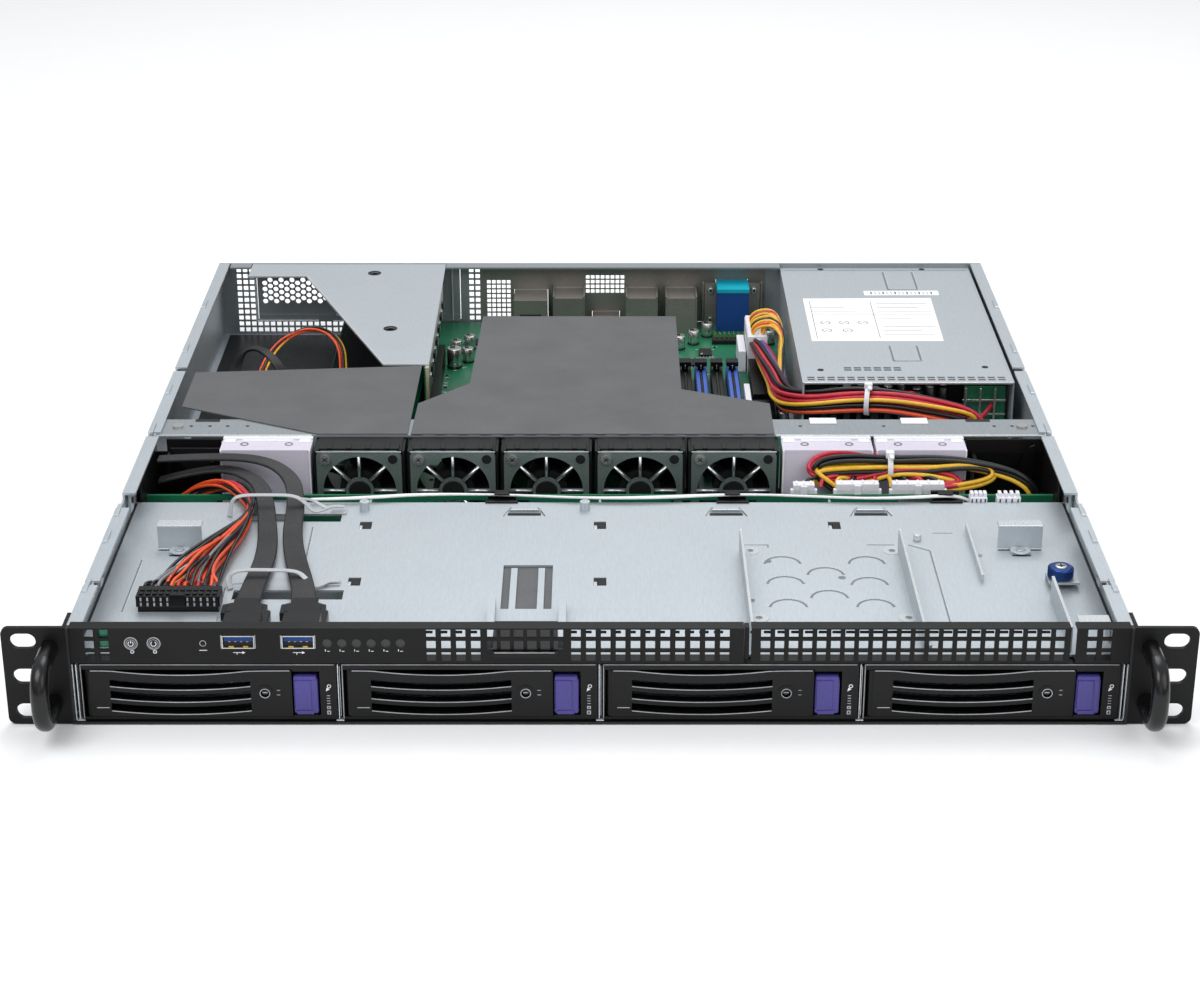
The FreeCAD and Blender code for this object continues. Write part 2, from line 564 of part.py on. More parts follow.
def port_list():
    """Name, centre, width, lower edge and height of every socket at the rear."""
    listed = [("tower", "tower_centre", "tower_width", BOARD_TOP, "tower_height"),
              ("video", "video_centre", "video_width", BOARD_TOP, "video_height"),
              ("vga", "stack_centre", "stack_width", BOARD_TOP, "vga_height"),
              ("serial", "stack_centre", "stack_width", f"{BOARD_TOP} + vga_height",
               "serial_height")]
    for index, centre in enumerate(JACKS, 1):
        listed.append((f"jack_{index}", centre, "jack_width", BOARD_TOP,
                       "jack_base - board_height - board_thickness + jack_height"))
    return listed


def make_io_plate():
    """The thin stamped plate round the sockets."""
    plate = body("io_plate")
    face = sketch(plate, "XZ_Plane", f"{REAR_INNER} - io_sheet")
    rectangle(face, ("-io_left - io_margin", "io_right + io_margin"),
              (BOARD_TOP, "io_high + io_margin"))
    pad(plate, face, "io_sheet")
    for name, centre, width, low, height in port_list():
        hole = sketch(plate, "XZ_Plane", f"{REAR_INNER} - 2 * io_sheet")
        half = f"(({width}) / 2 + port_play)"
        rectangle(hole, (f"{centre} - {half}", f"{centre} + {half}"),
                  (f"({low}) - port_play - io_margin", f"({low}) + {height} + port_play"))
        pocket(plate, hole, "3 * io_sheet")
    square_grid(plate, f"{REAR_INNER} - 2 * io_sheet", "3 * io_sheet", "-io_hole_left",
                f"{BOARD_TOP} + 3 * sheet", "io_hole", "io_pitch", "io_pitch",
                "io_columns", "io_rows")
    square_grid(plate, f"{REAR_INNER} - 2 * io_sheet", "3 * io_sheet", "-io_mid_left",
                "io_mid_low", "io_hole", "io_pitch", "io_pitch", "io_mid_columns",
                "io_mid_rows")
    return export(plate)


def make_rear_ports():
    """Network, video, serial and display sockets along the rear edge of the board."""
    solids = []
    depths = {"tower": "tower_depth", "video": "video_depth", "vga": "stack_depth",
              "serial": "stack_depth"}
    hole_low = "jack_base + (jack_height - jack_hole_height) / 2"
    for name, centre, width, low, height in port_list():
        shell = port_box(f"{name}_shell", centre, width, low, height,
                         depths.get(name, "jack_depth"))
        if name.startswith("jack") or name == "tower":
            bottom = hole_low if name != "tower" else f"{BOARD_TOP} + jack_hole_height / 2"
            hollow = block(f"{name}_hollow",
                           (f"{centre} - jack_hole_width / 2",
                            f"{centre} + jack_hole_width / 2"),
                           ("body_depth + port_reach - jack_hole_depth",
                            "body_depth + 2 * port_reach"),
                           (bottom, f"{bottom} + jack_hole_height"))
            shell = cut(f"{name}_socket", shell, hollow)
        solids.append(shell)
    stack_front = "body_depth + port_reach - stack_depth"
    for side in (-1, 1):
        edge = f"stack_centre + {side} * stack_width / 2"
        far = f"stack_centre + {side} * flange_width / 2"
        span = (edge, far) if side > 0 else (far, edge)
        solids.append(block(f"stack_flange_{'left' if side < 0 else 'right'}", span,
                            (f"{stack_front} + 4 * flange_thickness",
                             f"{stack_front} + 5 * flange_thickness"),
                            (BOARD_TOP, f"{BOARD_TOP} + vga_height + serial_height")))
    return export(group("rear_ports", *solids))


# ---------------------------------------------------------------- drive deck
def make_deck():
    """The plate over the drive bays."""
    deck = body("drive_deck")
    plate = sketch(deck, "XY_Plane", DECK_UNDER)
    rectangle(plate, (f"-1 * {INNER_WALL}", INNER_WALL), ("bezel_flange", "deck_length"))
    for name, left, right in (("rear", "deck_slot_rear_left", "deck_slot_rear_right"),
                              ("front", "deck_slot_front_left", "deck_slot_front_right")):
        rectangle(plate, (f"-{left}", f"-{right}"),
                  (f"deck_slot_{name}_front", f"deck_slot_{name}_back"))
    left, right = "-window_left + finger_inset", "-window_right - finger_inset"
    tip = "window_back - finger_width"
    outline(plate, [
        ("-window_left", "window_front"), (left, "window_front"), (left, tip),
        (f"{left} + finger_width", tip), (f"{left} + finger_width", "window_front"),
        (f"{right} - finger_width", "window_front"), (f"{right} - finger_width", tip),
        (right, tip), (right, "window_front"), ("-window_right", "window_front"),
        ("-window_right", "window_back"), ("-window_left", "window_back")])
    pad(deck, plate, "deck_sheet")
    step = sketch(deck, "XY_Plane", "deck_top")
    rectangle(step, (f"-1 * {INNER_WALL} + lip_width", f"header_x + header_width / 2"),
              ("bezel_flange", "deck_step_length"))
    pad(deck, step, "deck_front_step")
    for place_y in ("tab_hole_rear", "tab_hole_front"):
        hole = sketch(deck, "XY_Plane", f"{DECK_UNDER} - deck_sheet")
        rectangle(hole, ("-tab_hole_pitch - tab_hole_width / 2",
                         "-tab_hole_pitch + tab_hole_width / 2"),
                  (f"{place_y} - tab_hole_length / 2", f"{place_y} + tab_hole_length / 2"))
        count = "3" if place_y == "tab_hole_rear" else "2"
        repeat(deck, pocket(deck, hole, "3 * deck_sheet"), "X_Axis", "tab_hole_pitch", count)
    for index in (1, 2, 3):
        centre = f"lance_{index}_centre"
        bridge = sketch(deck, "XZ_Plane", "lance_place - lance_length / 2")
        rise = "deck_top + lance_height"
        outline(bridge, [
            (f"{centre} - lance_width / 2", "deck_top"),
            (f"{centre} + lance_width / 2", "deck_top"),
            (f"{centre} + lance_width / 2 - lance_height", rise),
            (f"{centre} - lance_width / 2 + lance_height", rise)])
        pad(deck, bridge, "lance_length")
    for index in (1, 2):
        stud = circle(sketch(deck, "XY_Plane", "deck_top"), f"stud_{index}_x", "stud_place",
                      "stud_radius")
        pad(deck, stud, "stud_height")
    return export(deck)


def hook(label, side):
    """A lid hook: an upright tab with a folded shelf on top and a riveted foot in front."""
    centre = f"{side} * hook_x"
    left, right = f"{centre} - hook_width / 2", f"{centre} + hook_width / 2"
    tab = block(f"{label}_tab", (left, right), ("hook_place", "hook_place + deck_sheet"),
                ("deck_top", "deck_top + hook_height"))
    shelf = block(f"{label}_shelf", (left, right), ("hook_place", "hook_place + hook_shelf"),
                  ("deck_top + hook_height - deck_sheet", "deck_top + hook_height"))
    base = block(f"{label}_base",
                 (f"{centre} - hook_foot_width / 2", f"{centre} + hook_foot_width / 2"),
                 ("hook_place - hook_foot_length", "hook_place + deck_sheet"),
                 ("deck_top", "deck_top + deck_sheet"))
    hole = rod(f"{label}_hole", "z", "hook_hole", "3 * deck_sheet", centre,
               "hook_place - hook_foot_length / 2", "deck_top - deck_sheet")
    return cut(label, fuse(f"{label}_folds", tab, shelf, base), hole)


def fence(label, x, front, back, height):
    """A low upright wall on the deck, with a folded foot."""
    wall = block(f"{label}_wall", (x, f"{x} + fence_sheet"), (front, back),
                 ("deck_top", f"deck_top + {height}"))
    foot = block(f"{label}_foot", (f"{x} + fence_sheet", f"{x} + 4 * fence_sheet"),
                 (f"({front} + {back}) / 2", back), ("deck_top", "deck_top + fence_sheet"))
    return fuse(label, wall, foot)


SHELF_TOP = "(deck_top + screw_shelf_height)"
KNOB_BASE = f"({SHELF_TOP} + knob_stand)"


def make_deck_fittings():
    """Fences of the slim bay, lid hooks, the thumbscrew's shelf and the tag's guide."""
    solids = [hook("hook_left", -1), hook("hook_right", 1)]
    for label, x, front, back, height in (
            ("fence_a", "fence_left", "bezel_flange + fence_sheet", "fence_length",
             "fence_height"),
            ("fence_b", "fence_right", "bezel_flange + fence_sheet", "fence_length",
             "fence_height"),
            ("fence_c", "low_fence_x", "low_fence_front", "low_fence_back",
             "low_fence_height"),
            ("fence_d", "screw_fence_x - fence_sheet", "screw_fence_front",
             "screw_fence_back - screw_shelf_length", "fence_height")):
        solids.append(fence(label, x, front, back, height))
    left, right = "screw_fence_x", "screw_fence_x + screw_shelf_width"
    front, back = ("screw_shelf_place - screw_shelf_length / 2",
                   "screw_shelf_place + screw_shelf_length / 2")
    top = block("shelf_top", (left, right), (front, back),
                (f"{SHELF_TOP} - fence_sheet", SHELF_TOP))
    leg = block("shelf_leg", (left, right), (f"{back} - fence_sheet", back),
                ("deck_top", SHELF_TOP))
    hole = rod("shelf_hole", "z", "screw_hole", "screw_shelf_height + fence_sheet",
               "screw_shelf_x", "screw_shelf_place", "deck_top + fence_sheet")
    solids.append(cut("screw_shelf", fuse("shelf_folds", top, leg), hole))
    half = "tag_width / 2 + tag_play"
    for side in (-1, 1):
        near = f"tag_centre + {side} * ({half})"
        far = f"tag_centre + {side} * ({half} + 3 * guide_wall)"
        span = (near, far) if side > 0 else (far, near)
        rail = block(f"guide_rail_{side + 2}", span,
                     ("guide_start", "guide_start + guide_length"),
                     ("deck_top", "tag_base + tag_thickness + tag_play + guide_wall"))
        solids.append(rail)
    header = block("header", ("header_x - header_width / 2", "header_x + header_width / 2"),
                   ("header_place", "header_place + header_length"),
                   ("deck_top", "deck_top + header_height"))
    solids.append(header)
    return export(group("deck_fittings", *solids))


def make_thumbscrew():
    """The captive screw of the slim bay: a grooved knob on a shank in its shelf."""
    knob = body("thumbscrew")
    pad(knob, circle(sketch(knob, "XY_Plane"), "0", "0", "knob_radius"), "knob_height")
    groove = circle(sketch(knob, "XY_Plane", "-1"), "knob_radius", "0", "knob_grip_radius")
    around(knob, pocket(knob, groove, "knob_height - 0.4"), "Z_Axis", "knob_grip_count")
    shank = circle(sketch(knob, "XY_Plane", "-knob_shank_length"), "0", "0", "knob_shank")
    pad(knob, shank, "knob_shank_length")
    return export(place(knob, "screw_shelf_x", "screw_shelf_place", KNOB_BASE))


def make_partitions():
    """The upright walls between the drive bays."""
    walls = []
    pitch = "(tray_width + 2 * tray_gap + partition_sheet)"
    for step in range(-2, 3):
        centre = f"{step} * {pitch}"
        walls.append(block(f"partition_{step + 3}",
                           (f"{centre} - partition_sheet / 2", f"{centre} + partition_sheet / 2"),
                           ("bay_setback", "bay_setback + partition_length"),
                           ("sheet", DECK_UNDER)))
    return export(group("bay_partitions", *walls))


# ---------------------------------------------------------------- front bezel
def bezel_frame(owner, left, right, windows):
    """A channel-shaped front plate between two edges, with square windows in it."""
    face = sketch(owner, "XZ_Plane")
    rectangle(face, (left, right), ("bezel_bottom", "body_height"))
    for across, up in windows:
        rectangle(face, across, up)
    pad(owner, face, "bezel_sheet")
    for low, high in (("bezel_bottom", "bezel_bottom + deck_sheet"),
                      ("body_height - bezel_sheet", "body_height")):
        flange = sketch(owner, "XZ_Plane", "bezel_sheet")
        rectangle(flange, (left, right), (low, high))
        pad(owner, flange, "bezel_flange - bezel_sheet")


def vents(owner, left, columns, pitch, rows="vent_rows", low="vent_low"):
    """A block of square vents through the face of the bezel."""
    return square_grid(owner, "-bezel_sheet", "2 * bezel_sheet", left, low, "vent_hole",
                       pitch, "vent_pitch_z", columns, rows)


BUTTONS = ("power", "identify")


def make_bezel():
    """The black strip over the drive trays, in two pieces beside the slim bay."""
    left = body("bezel_left")
    usb = [((f"{centre} - usb_width / 2 - port_play", f"{centre} + usb_width / 2 + port_play"),
            ("usb_base - port_play", "usb_base + usb_height + port_play"))
           for centre in ("usb_1_x", "usb_2_x")]
    tag = ((f"tag_centre - tag_width / 2 - tag_play", f"tag_centre + tag_width / 2 + tag_play"),
           ("tag_base - tag_play", "tag_base + tag_thickness + tag_play"))
    bezel_frame(left, f"-1 * {INNER_WALL}", "bezel_split", usb + [tag])
    vents(left, "-vent_end_x - vent_hole / 2", "vent_end_columns", "vent_pitch_x")
    vents(left, "vent_1_x", "vent_1_columns", "vent_pitch_x")
    vents(left, "vent_2_x", "vent_2_columns", "vent_pitch_x")
    vents(left, "tag_vent_x", "tag_vent_columns", "tag_vent_pitch", "tag_vent_rows",
          "vent_low + vent_pitch_z")
    for name in BUTTONS:
        hole = circle(sketch(left, "XZ_Plane", "-bezel_sheet"), f"{name}_x", "button_z",
                      "button_radius + button_play")
        pocket(left, hole, "3 * bezel_sheet")
    reset = circle(sketch(left, "XZ_Plane", "-bezel_sheet"), "reset_x", "button_z",
                   "reset_radius + button_play")
    pocket(left, reset, "3 * bezel_sheet")
    light = circle(sketch(left, "XZ_Plane", "-bezel_sheet"), "light_first_x", "light_z",
                   "light_radius")
    repeat(left, pocket(left, light, "3 * bezel_sheet"), "X_Axis", "light_pitch",
           "light_count")
    right = body("bezel_right")
    bezel_frame(right, "bezel_right_start", INNER_WALL, [])
    vents(right, "vent_end_x - 2 * vent_hole - vent_hole / 2", "vent_end_columns",
          "vent_pitch_x")
    return export(group("front_bezel", left, right))


def make_blank():
    """The perforated blank in the mouth of the slim bay."""
    blank = body("slim_bay_blank")
    bezel_frame(blank, "blank_left", "blank_right", [])
    vents(blank, "blank_left + vent_hole", "blank_columns", "blank_pitch")
    return export(blank)


def make_ear():
    """A rack ear: a slotted plate whose flange lies along the side wall."""
    ear = body("ear_right")
    plate = sketch(ear, "XZ_Plane")
    rectangle(plate, (HALF_BODY, "panel_width / 2"), ("0", "panel_height"))
    blank = pad(ear, plate, "ear_thickness")
    document.recompute()
    corners = ear.newObject("PartDesign::Fillet", "ear_corners")
    corners.Base = (blank, [f"Edge{i}" for i, edge in enumerate(blank.Shape.Edges, 1)
                            if edge.BoundBox.YLength > 0.01
                            and edge.BoundBox.XMin > blank.Shape.BoundBox.Center.x])
    bind(corners, Radius="ear_corner")
    flange = sketch(ear, "XY_Plane")
    rectangle(flange, (HALF_BODY, f"{HALF_BODY} + ear_flange_sheet"),
              ("ear_thickness", "ear_flange_depth"))
    pad(ear, flange, "panel_height")
    slot = obround(sketch(ear, "XZ_Plane", "-ear_thickness"), "slot_spacing / 2",
                   "slot_first_height", "slot_length", "slot_width")
    repeat(ear, pocket(ear, slot, "3 * ear_thickness"), "Z_Axis", "slot_pitch", "3")
    return export(group("rack_ears", ear, mirrored("ear_left", ear)))


def make_handles():
    """Two bow handles in front of the ears."""
    handle = body("handle_right")
    profile = sketch(handle, "YZ_Plane", "handle_offset - handle_width / 2")
    bar, front = "handle_bar / 2", "-handle_reach"
    outer, inner = "(handle_bend + handle_bar / 2)", "(handle_bend - handle_bar / 2)"
    back = f"({front} + handle_bar)"
    swell, hollow = f"{outer} * (1 - sqrt(2) / 2)", f"-1 * {inner} * (1 - sqrt(2) / 2)"
    outline(profile, [
        ("0", f"handle_low - {bar}"), (f"{front} + {outer}", f"handle_low - {bar}", swell),
        (front, f"handle_low - {bar} + {outer}"),
        (front, f"handle_high + {bar} - {outer}", swell),
        (f"{front} + {outer}", f"handle_high + {bar}"), ("0", f"handle_high + {bar}"),
        ("0", f"handle_high - {bar}"), (f"{back} + {inner}", f"handle_high - {bar}", hollow),
        (back, f"handle_high - {bar} - {inner}"),
        (back, f"handle_low + {bar} + {inner}", hollow),
        (f"{back} + {inner}", f"handle_low + {bar}"), ("0", f"handle_low + {bar}")])
    bow = pad(handle, profile, "handle_width")
    document.recompute()
    rounds = handle.newObject("PartDesign::Fillet", "handle_rounds")
    rounds.Base = (bow, [f"Edge{i}" for i, edge in enumerate(bow.Shape.Edges, 1)
                         if edge.BoundBox.XLength < 0.01 and edge.BoundBox.YMin < -0.01])
    bind(rounds, Radius="handle_round")
    return export(group("rack_handles", handle, mirrored("handle_left", handle)))


def make_button(label, name, radius):
    """A push button: a cap with a flange behind the bezel."""
    cap = rod(f"{name}_cap", "y", radius, "button_length",
              f"{name}_x", "-button_proud", "button_z")
    flange = rod(f"{name}_flange", "y", f"{radius} + 3 * button_play", "button_flange",
                 f"{name}_x", "bezel_sheet + port_play", "button_z")
    return export(fuse(label, cap, flange))


def make_front_board():
    """The small board behind the bezel, with its two sockets and six lights."""
    low, high = "front_board_low", "front_board_low + front_board_thickness"
    solids = [block("front_card", ("-front_board_left", "-front_board_right"),
                    ("bezel_flange + port_play", "bezel_flange + front_board_depth"),
                    (low, high))]
    for index in (1, 2):
        centre = f"usb_{index}_x"
        shell = block(f"usb_{index}_shell",
                      (f"{centre} - usb_width / 2", f"{centre} + usb_width / 2"),
                      ("-port_reach / 2", "usb_depth"), ("usb_base", "usb_base + usb_height"))
        hollow = block(f"usb_{index}_hollow",
                       (f"{centre} - usb_width / 2 + usb_shell",
                        f"{centre} + usb_width / 2 - usb_shell"),
                       ("-port_reach", "usb_depth - usb_shell"),
                       ("usb_base + usb_shell", "usb_base + usb_height - usb_shell"))
        tongue = block(f"usb_{index}_tongue",
                       (f"{centre} - usb_width / 2 + 2 * usb_shell",
                        f"{centre} + usb_width / 2 - 2 * usb_shell"),
                       ("bezel_sheet", "usb_depth - usb_shell / 2"),
                       ("usb_base + usb_height - 3 * usb_shell - usb_tongue",
                        "usb_base + usb_height - 3 * usb_shell"))
        stand = block(f"usb_{index}_stand",
                      (f"{centre} - usb_width / 2 + usb_shell",
                       f"{centre} + usb_width / 2 - usb_shell"),
                      ("bezel_flange + 2 * port_play", "usb_depth - usb_shell"),
                      (high, "usb_base + usb_shell / 2"))
        solids.append(fuse(f"usb_{index}", cut(f"usb_{index}_tube", shell, hollow), tongue,
                           stand))
    for index in range(int(SIZES["light_count"])):
        x = f"light_first_x + {index} * light_pitch"
        pipe = rod(f"light_{index}_pipe", "y", "light_radius", "light_depth + 1", x, "0",
                   "light_z")
        leg = block(f"light_{index}_leg",
                    (f"{x} - light_radius / 2", f"{x} + light_radius / 2"),
                    ("bezel_flange + port_play", "light_depth + 1"), (high, "light_z"))
        solids.append(fuse(f"light_{index}", pipe, leg))
    return export(group("front_io_board", *solids))


def make_tag():
    """The pull-out information tag under the grille."""
    left, right = "tag_centre - tag_width / 2", "tag_centre + tag_width / 2"
    blade = block("tag_blade", (left, right), ("-tag_play", "tag_length"),
                  ("tag_base", "tag_base + tag_thickness"))
    lip = block("tag_lip", (left, right), ("-tag_play - tag_lip_depth", "-tag_play"),
                ("tag_base - tag_play", "tag_base - tag_play + tag_lip_height"))
    return export(fuse("info_tag", blade, lip))


# ---------------------------------------------------------------- drive trays
BAY_PITCH = "(tray_width + 2 * tray_gap + partition_sheet)"
RECESS_BACK = "(tray_face + recess_depth)"
PIVOT_X = "(pivot_inset - recess_left)"


def make_tray_shape():
    """A drive tray about its own middle: front block, lever recess, button well, side rails."""
    tray = body("tray_shape")
    half = "tray_width / 2"
    front = sketch(tray, "XZ_Plane", "tray_face")
    rectangle(front, (f"-{half}", half), ("tray_bottom", "tray_top"))
    pad(tray, front, "tray_block")
    recess = sketch(tray, "XZ_Plane", "tray_face - sheet")
    rectangle(recess, ("-recess_left", "recess_right"), ("recess_low", "recess_high"))
    pocket(tray, recess, "recess_depth + sheet")
    well = sketch(tray, "XZ_Plane", "tray_face - sheet")
    rectangle(well, ("recess_right - sheet", "button_well_right"),
              ("button_well_low", "button_well_high"))
    pocket(tray, well, "button_well_depth + sheet")
    air = sketch(tray, "XZ_Plane", "tray_face")
    rectangle(air, ("-window_start", "window_end"), ("tray_window_low", "tray_window_high"))
    pocket(tray, air, "tray_block + sheet")
    for side in (-1, 1):
        rail = sketch(tray, "XZ_Plane", "tray_face + tray_block")
        edge, inner = f"{side} * {half}", f"{side} * ({half} - tray_rail)"
        across = (edge, inner) if side < 0 else (inner, edge)
        rectangle(rail, across, ("tray_bottom", "tray_rail_top"))
        pad(tray, rail, "tray_length - tray_block")
    pins = [rod("tray_pin_low", "z", "pivot_pin", "pivot_pin_length", PIVOT_X, "pivot_depth",
                "recess_low"),
            rod("tray_pin_high", "z", "pivot_pin", "pivot_pin_length", PIVOT_X,
                "pivot_depth", "recess_high - pivot_pin_length")]
    return fuse("tray_with_pins", tray, *pins)


def rib_window(owner, low, height):
    """One wavy air slot through the lever."""
    profile = outline(sketch(owner, "XZ_Plane", "-lever_thickness"), [
        ("-window_start", low, "-rib_dip"), ("window_end", low),
        ("window_end", f"({low}) + {height}", "rib_dip"),
        ("-window_start", f"({low}) + {height}")])
    return pocket(owner, profile, "3 * lever_thickness")


def make_lever_shape():
    """The swinging front of a tray, with three wavy air slots and a lock in it."""
    lever = body("lever_shape")
    low, high = "recess_low + lever_play", "recess_high - lever_play"
    right = "recess_right - lever_play"
    face = outline(sketch(lever, "XZ_Plane", "lever_face"), [
        (PIVOT_X, low), (right, low), (right, high), ("window_end", high, "lever_dip"),
        ("-window_start", high), (PIVOT_X, high)])
    pad(lever, face, "lever_thickness")
    rib_window(lever, "rib_high - 2 * rib_pitch", "rib_pitch - rib_height")
    rib_window(lever, "rib_high - rib_pitch", "rib_pitch - rib_height")
    rib_window(lever, "rib_high", "lever_slit")
    keyway = circle(sketch(lever, "XZ_Plane", "lever_face - sheet"), "lock_x", "lock_z",
                    "lock_hole")
    ring = circle(sketch(lever, "XZ_Plane", "lever_face - lock_proud"), "lock_x", "lock_z",
                  "lock_radius")
    pad(lever, ring, "lock_proud + sheet")
    pocket(lever, keyway, "sheet + lock_hole_depth")
    barrel = rod("lever_barrel", "z", "barrel_radius",
                 "recess_high - recess_low - 2 * lever_play", PIVOT_X, "pivot_depth", low)
    bores = [rod("lever_bore_low", "z", "pivot_pin + pivot_fit",
                 "pivot_pin_length + lever_play", PIVOT_X, "pivot_depth", "recess_low"),
             rod("lever_bore_high", "z", "pivot_pin + pivot_fit",
                 "pivot_pin_length + lever_play", PIVOT_X, "pivot_depth",
                 "recess_high - pivot_pin_length - lever_play")]
    return cut("lever_with_bores", fuse("lever_and_barrel", lever, barrel), *bores)


def make_catch_shape():
    """The release button of a tray, bevelled on its right."""
    catch = body("catch_shape")
    left, right = "recess_right + catch_play", "button_well_right - catch_play"
    front = "tray_face - catch_proud"
    profile = outline(sketch(catch, "XY_Plane", "button_well_low + catch_play"), [
        (left, front), (f"{right} - catch_bevel", front),
        (right, f"{front} + catch_bevel"), (right, f"{front} + catch_depth"),
        (left, f"{front} + catch_depth")])
    pad(catch, profile, "button_well_high - button_well_low - 2 * catch_play")
    return catch


def make_trays():
    """Four trays, each with its lever and its release button."""
    tray, lever, catch = make_tray_shape(), make_lever_shape(), make_catch_shape()
    for index in range(4):
        x = f"({index} - 1.5) * {BAY_PITCH}"
        export(copy_at(f"drive_tray_{index + 1}", tray, x))
        export(copy_at(f"tray_lever_{index + 1}", lever, x))
        export(copy_at(f"tray_button_{index + 1}", catch, x))


def make_backplane():
    """The upright board behind the trays, with a plug for each drive."""
    front = "bay_setback + partition_length + backplane_gap"
    board = body("backplane_board")
    face = sketch(board, "XZ_Plane", front)
    rectangle(face, (f"-2 * {BAY_PITCH}", f"2 * {BAY_PITCH}"),
              ("backplane_low", "backplane_high"))
    for step in range(4):
        centre = f"({step} - 1.5) * {BAY_PITCH}"
        rectangle(face, (f"{centre} - vent_cut_width / 2", f"{centre} + vent_cut_width / 2"),
                  ("vent_cut_low", "vent_cut_high"))
    pad(board, face, "backplane_thickness")
    plugs = [block(f"drive_plug_{step + 1}",
                   (f"({step} - 1.5) * {BAY_PITCH} - plug_side - plug_width / 2",
                    f"({step} - 1.5) * {BAY_PITCH} - plug_side + plug_width / 2"),
                   (f"{front} - plug_depth", front), ("plug_low", "plug_low + plug_height"))
             for step in range(4)]
    return export(fuse("drive_backplane", board, *plugs))


# ---------------------------------------------------------------- fans
def fan_frame(label, prefix):
    """A square fan frame about its axis, front face at the origin."""
    frame = body(label)
    size, depth, bore = f"{prefix}size", f"{prefix}depth", f"{prefix}bore"
    square = rectangle(sketch(frame, "XZ_Plane"), (f"-{size} / 2", f"{size} / 2"),
                       (f"-{size} / 2", f"{size} / 2"))
    pad(frame, square, depth)
    waist = sketch(frame, "XZ_Plane", "fan_flange")
    corner = f"({size} / 2 - 2 * fan_corner)"
    for up in ((f"{bore} + fan_rim", size), (f"-{size}", f"-1 * ({bore} + fan_rim)")):
        rectangle(waist, (f"-1 * {corner}", corner), up)
    pocket(frame, waist, f"{depth} - 2 * fan_flange")
    opening = circle(sketch(frame, "XZ_Plane", "-sheet"), "0", "0", bore)
    pocket(frame, opening, f"{depth} + 2 * sheet")
    cup = circle(sketch(frame, "XZ_Plane", f"{depth} - fan_cup_depth"), "0", "0",
                 f"{prefix}cup")
    pad(frame, cup, "fan_cup_depth")
    strut = rectangle(sketch(frame, "XZ_Plane", f"{depth} - fan_cup_depth"),
                      (f"{prefix}cup - sheet", f"{bore} + fan_rim / 2"),
                      ("-fan_strut / 2", "fan_strut / 2"))
    around(frame, pad(frame, strut, "fan_cup_depth"), "Y_Axis", "4")
    axle = circle(sketch(frame, "XZ_Plane", f"{depth} - fan_cup_depth - sheet"), "0", "0",
                  "fan_axle_hole")
    pocket(frame, axle, "fan_cup_depth + 2 * sheet")
    return frame


def fan_rotor(label, prefix):
    """A hub with pitched blades and an axle, about its axis."""
    rotor = body(label)
    start = "fan_rotor_front"
    hub, tip, depth = f"{prefix}hub", f"{prefix}tip", f"{prefix}rotor_depth"
    pad(rotor, circle(sketch(rotor, "XZ_Plane", start), "0", "0", hub), depth)
    middle = f"{start} + {depth} / 2"
    back, rise = f"{depth} / 2 - fan_blade", "fan_blade_rise / 2"
    blade = outline(sketch(rotor, "YZ_Plane", f"{hub} - sheet"), [
        (f"{middle} - {back}", f"-1 * {rise}"),
        (f"{middle} - {back} + 2 * fan_blade", f"-1 * {rise}"),
        (f"{middle} + {back}", rise), (f"{middle} + {back} - 2 * fan_blade", rise)])
    around(rotor, pad(rotor, blade, f"{tip} - {hub} + sheet"), "Y_Axis", "fan_blade_count")
    axle = circle(sketch(rotor, "XZ_Plane", f"{start} + {depth}"), "0", "0",
                  "fan_axle_hole - fan_axle_fit")
    pad(rotor, axle, f"{prefix}depth - {start} - {depth}")
    return rotor


FAN_Z = "(sheet + fan_seat + fan_size / 2)"
PSU_FAN_Z = f"(sheet + {PSU_HEIGHT} / 2)"
PSU_FAN_FRONT = "(body_depth - psu_sheet - psu_fan_depth)"


def fan_x(index):
    """The place across the chassis of a fan."""
    return f"fan_first_x + {index} * fan_pitch"


def make_guard_shape():
    """A stamped finger guard: a square ring, a hub ring and bowed spokes."""
    guard = body("guard_shape")
    half = "fan_size / 2"
    plate = sketch(guard, "XZ_Plane", "-guard_sheet")
    cornered = "(fan_size / 2 - fan_corner)"
    bow = "-1 * fan_corner * (1 - sqrt(2) / 2)"
    outline(plate, [
        (f"-1 * {cornered}", f"-{half}"), (cornered, f"-{half}", bow),
        (half, f"-1 * {cornered}"), (half, cornered, bow),
        (cornered, half), (f"-1 * {cornered}", half, bow),
        (f"-{half}", cornered), (f"-{half}", f"-1 * {cornered}", bow)])
    circle(plate, "0", "0", "guard_opening")
    circle(plate, "fan_screw_pitch / 2", "fan_screw_pitch / 2", "fan_screw")
    circle(plate, "-fan_screw_pitch / 2", "fan_screw_pitch / 2", "fan_screw")
    pad(guard, plate, "guard_sheet")
    spoke = rectangle(sketch(guard, "XZ_Plane", "-guard_sheet"),
                      ("-guard_spoke / 2", "guard_spoke / 2"),
                      ("guard_ring_in + sheet / 2", "guard_opening + sheet / 2"))
    around(guard, pad(guard, spoke, "guard_sheet"), "Y_Axis", "guard_spokes")
    ring = sketch(guard, "XZ_Plane", "-guard_sheet")
    circle(ring, "0", "0", "guard_ring_out")
    circle(ring, "0", "0", "guard_ring_in")
    pad(guard, ring, "guard_sheet")
    return guard


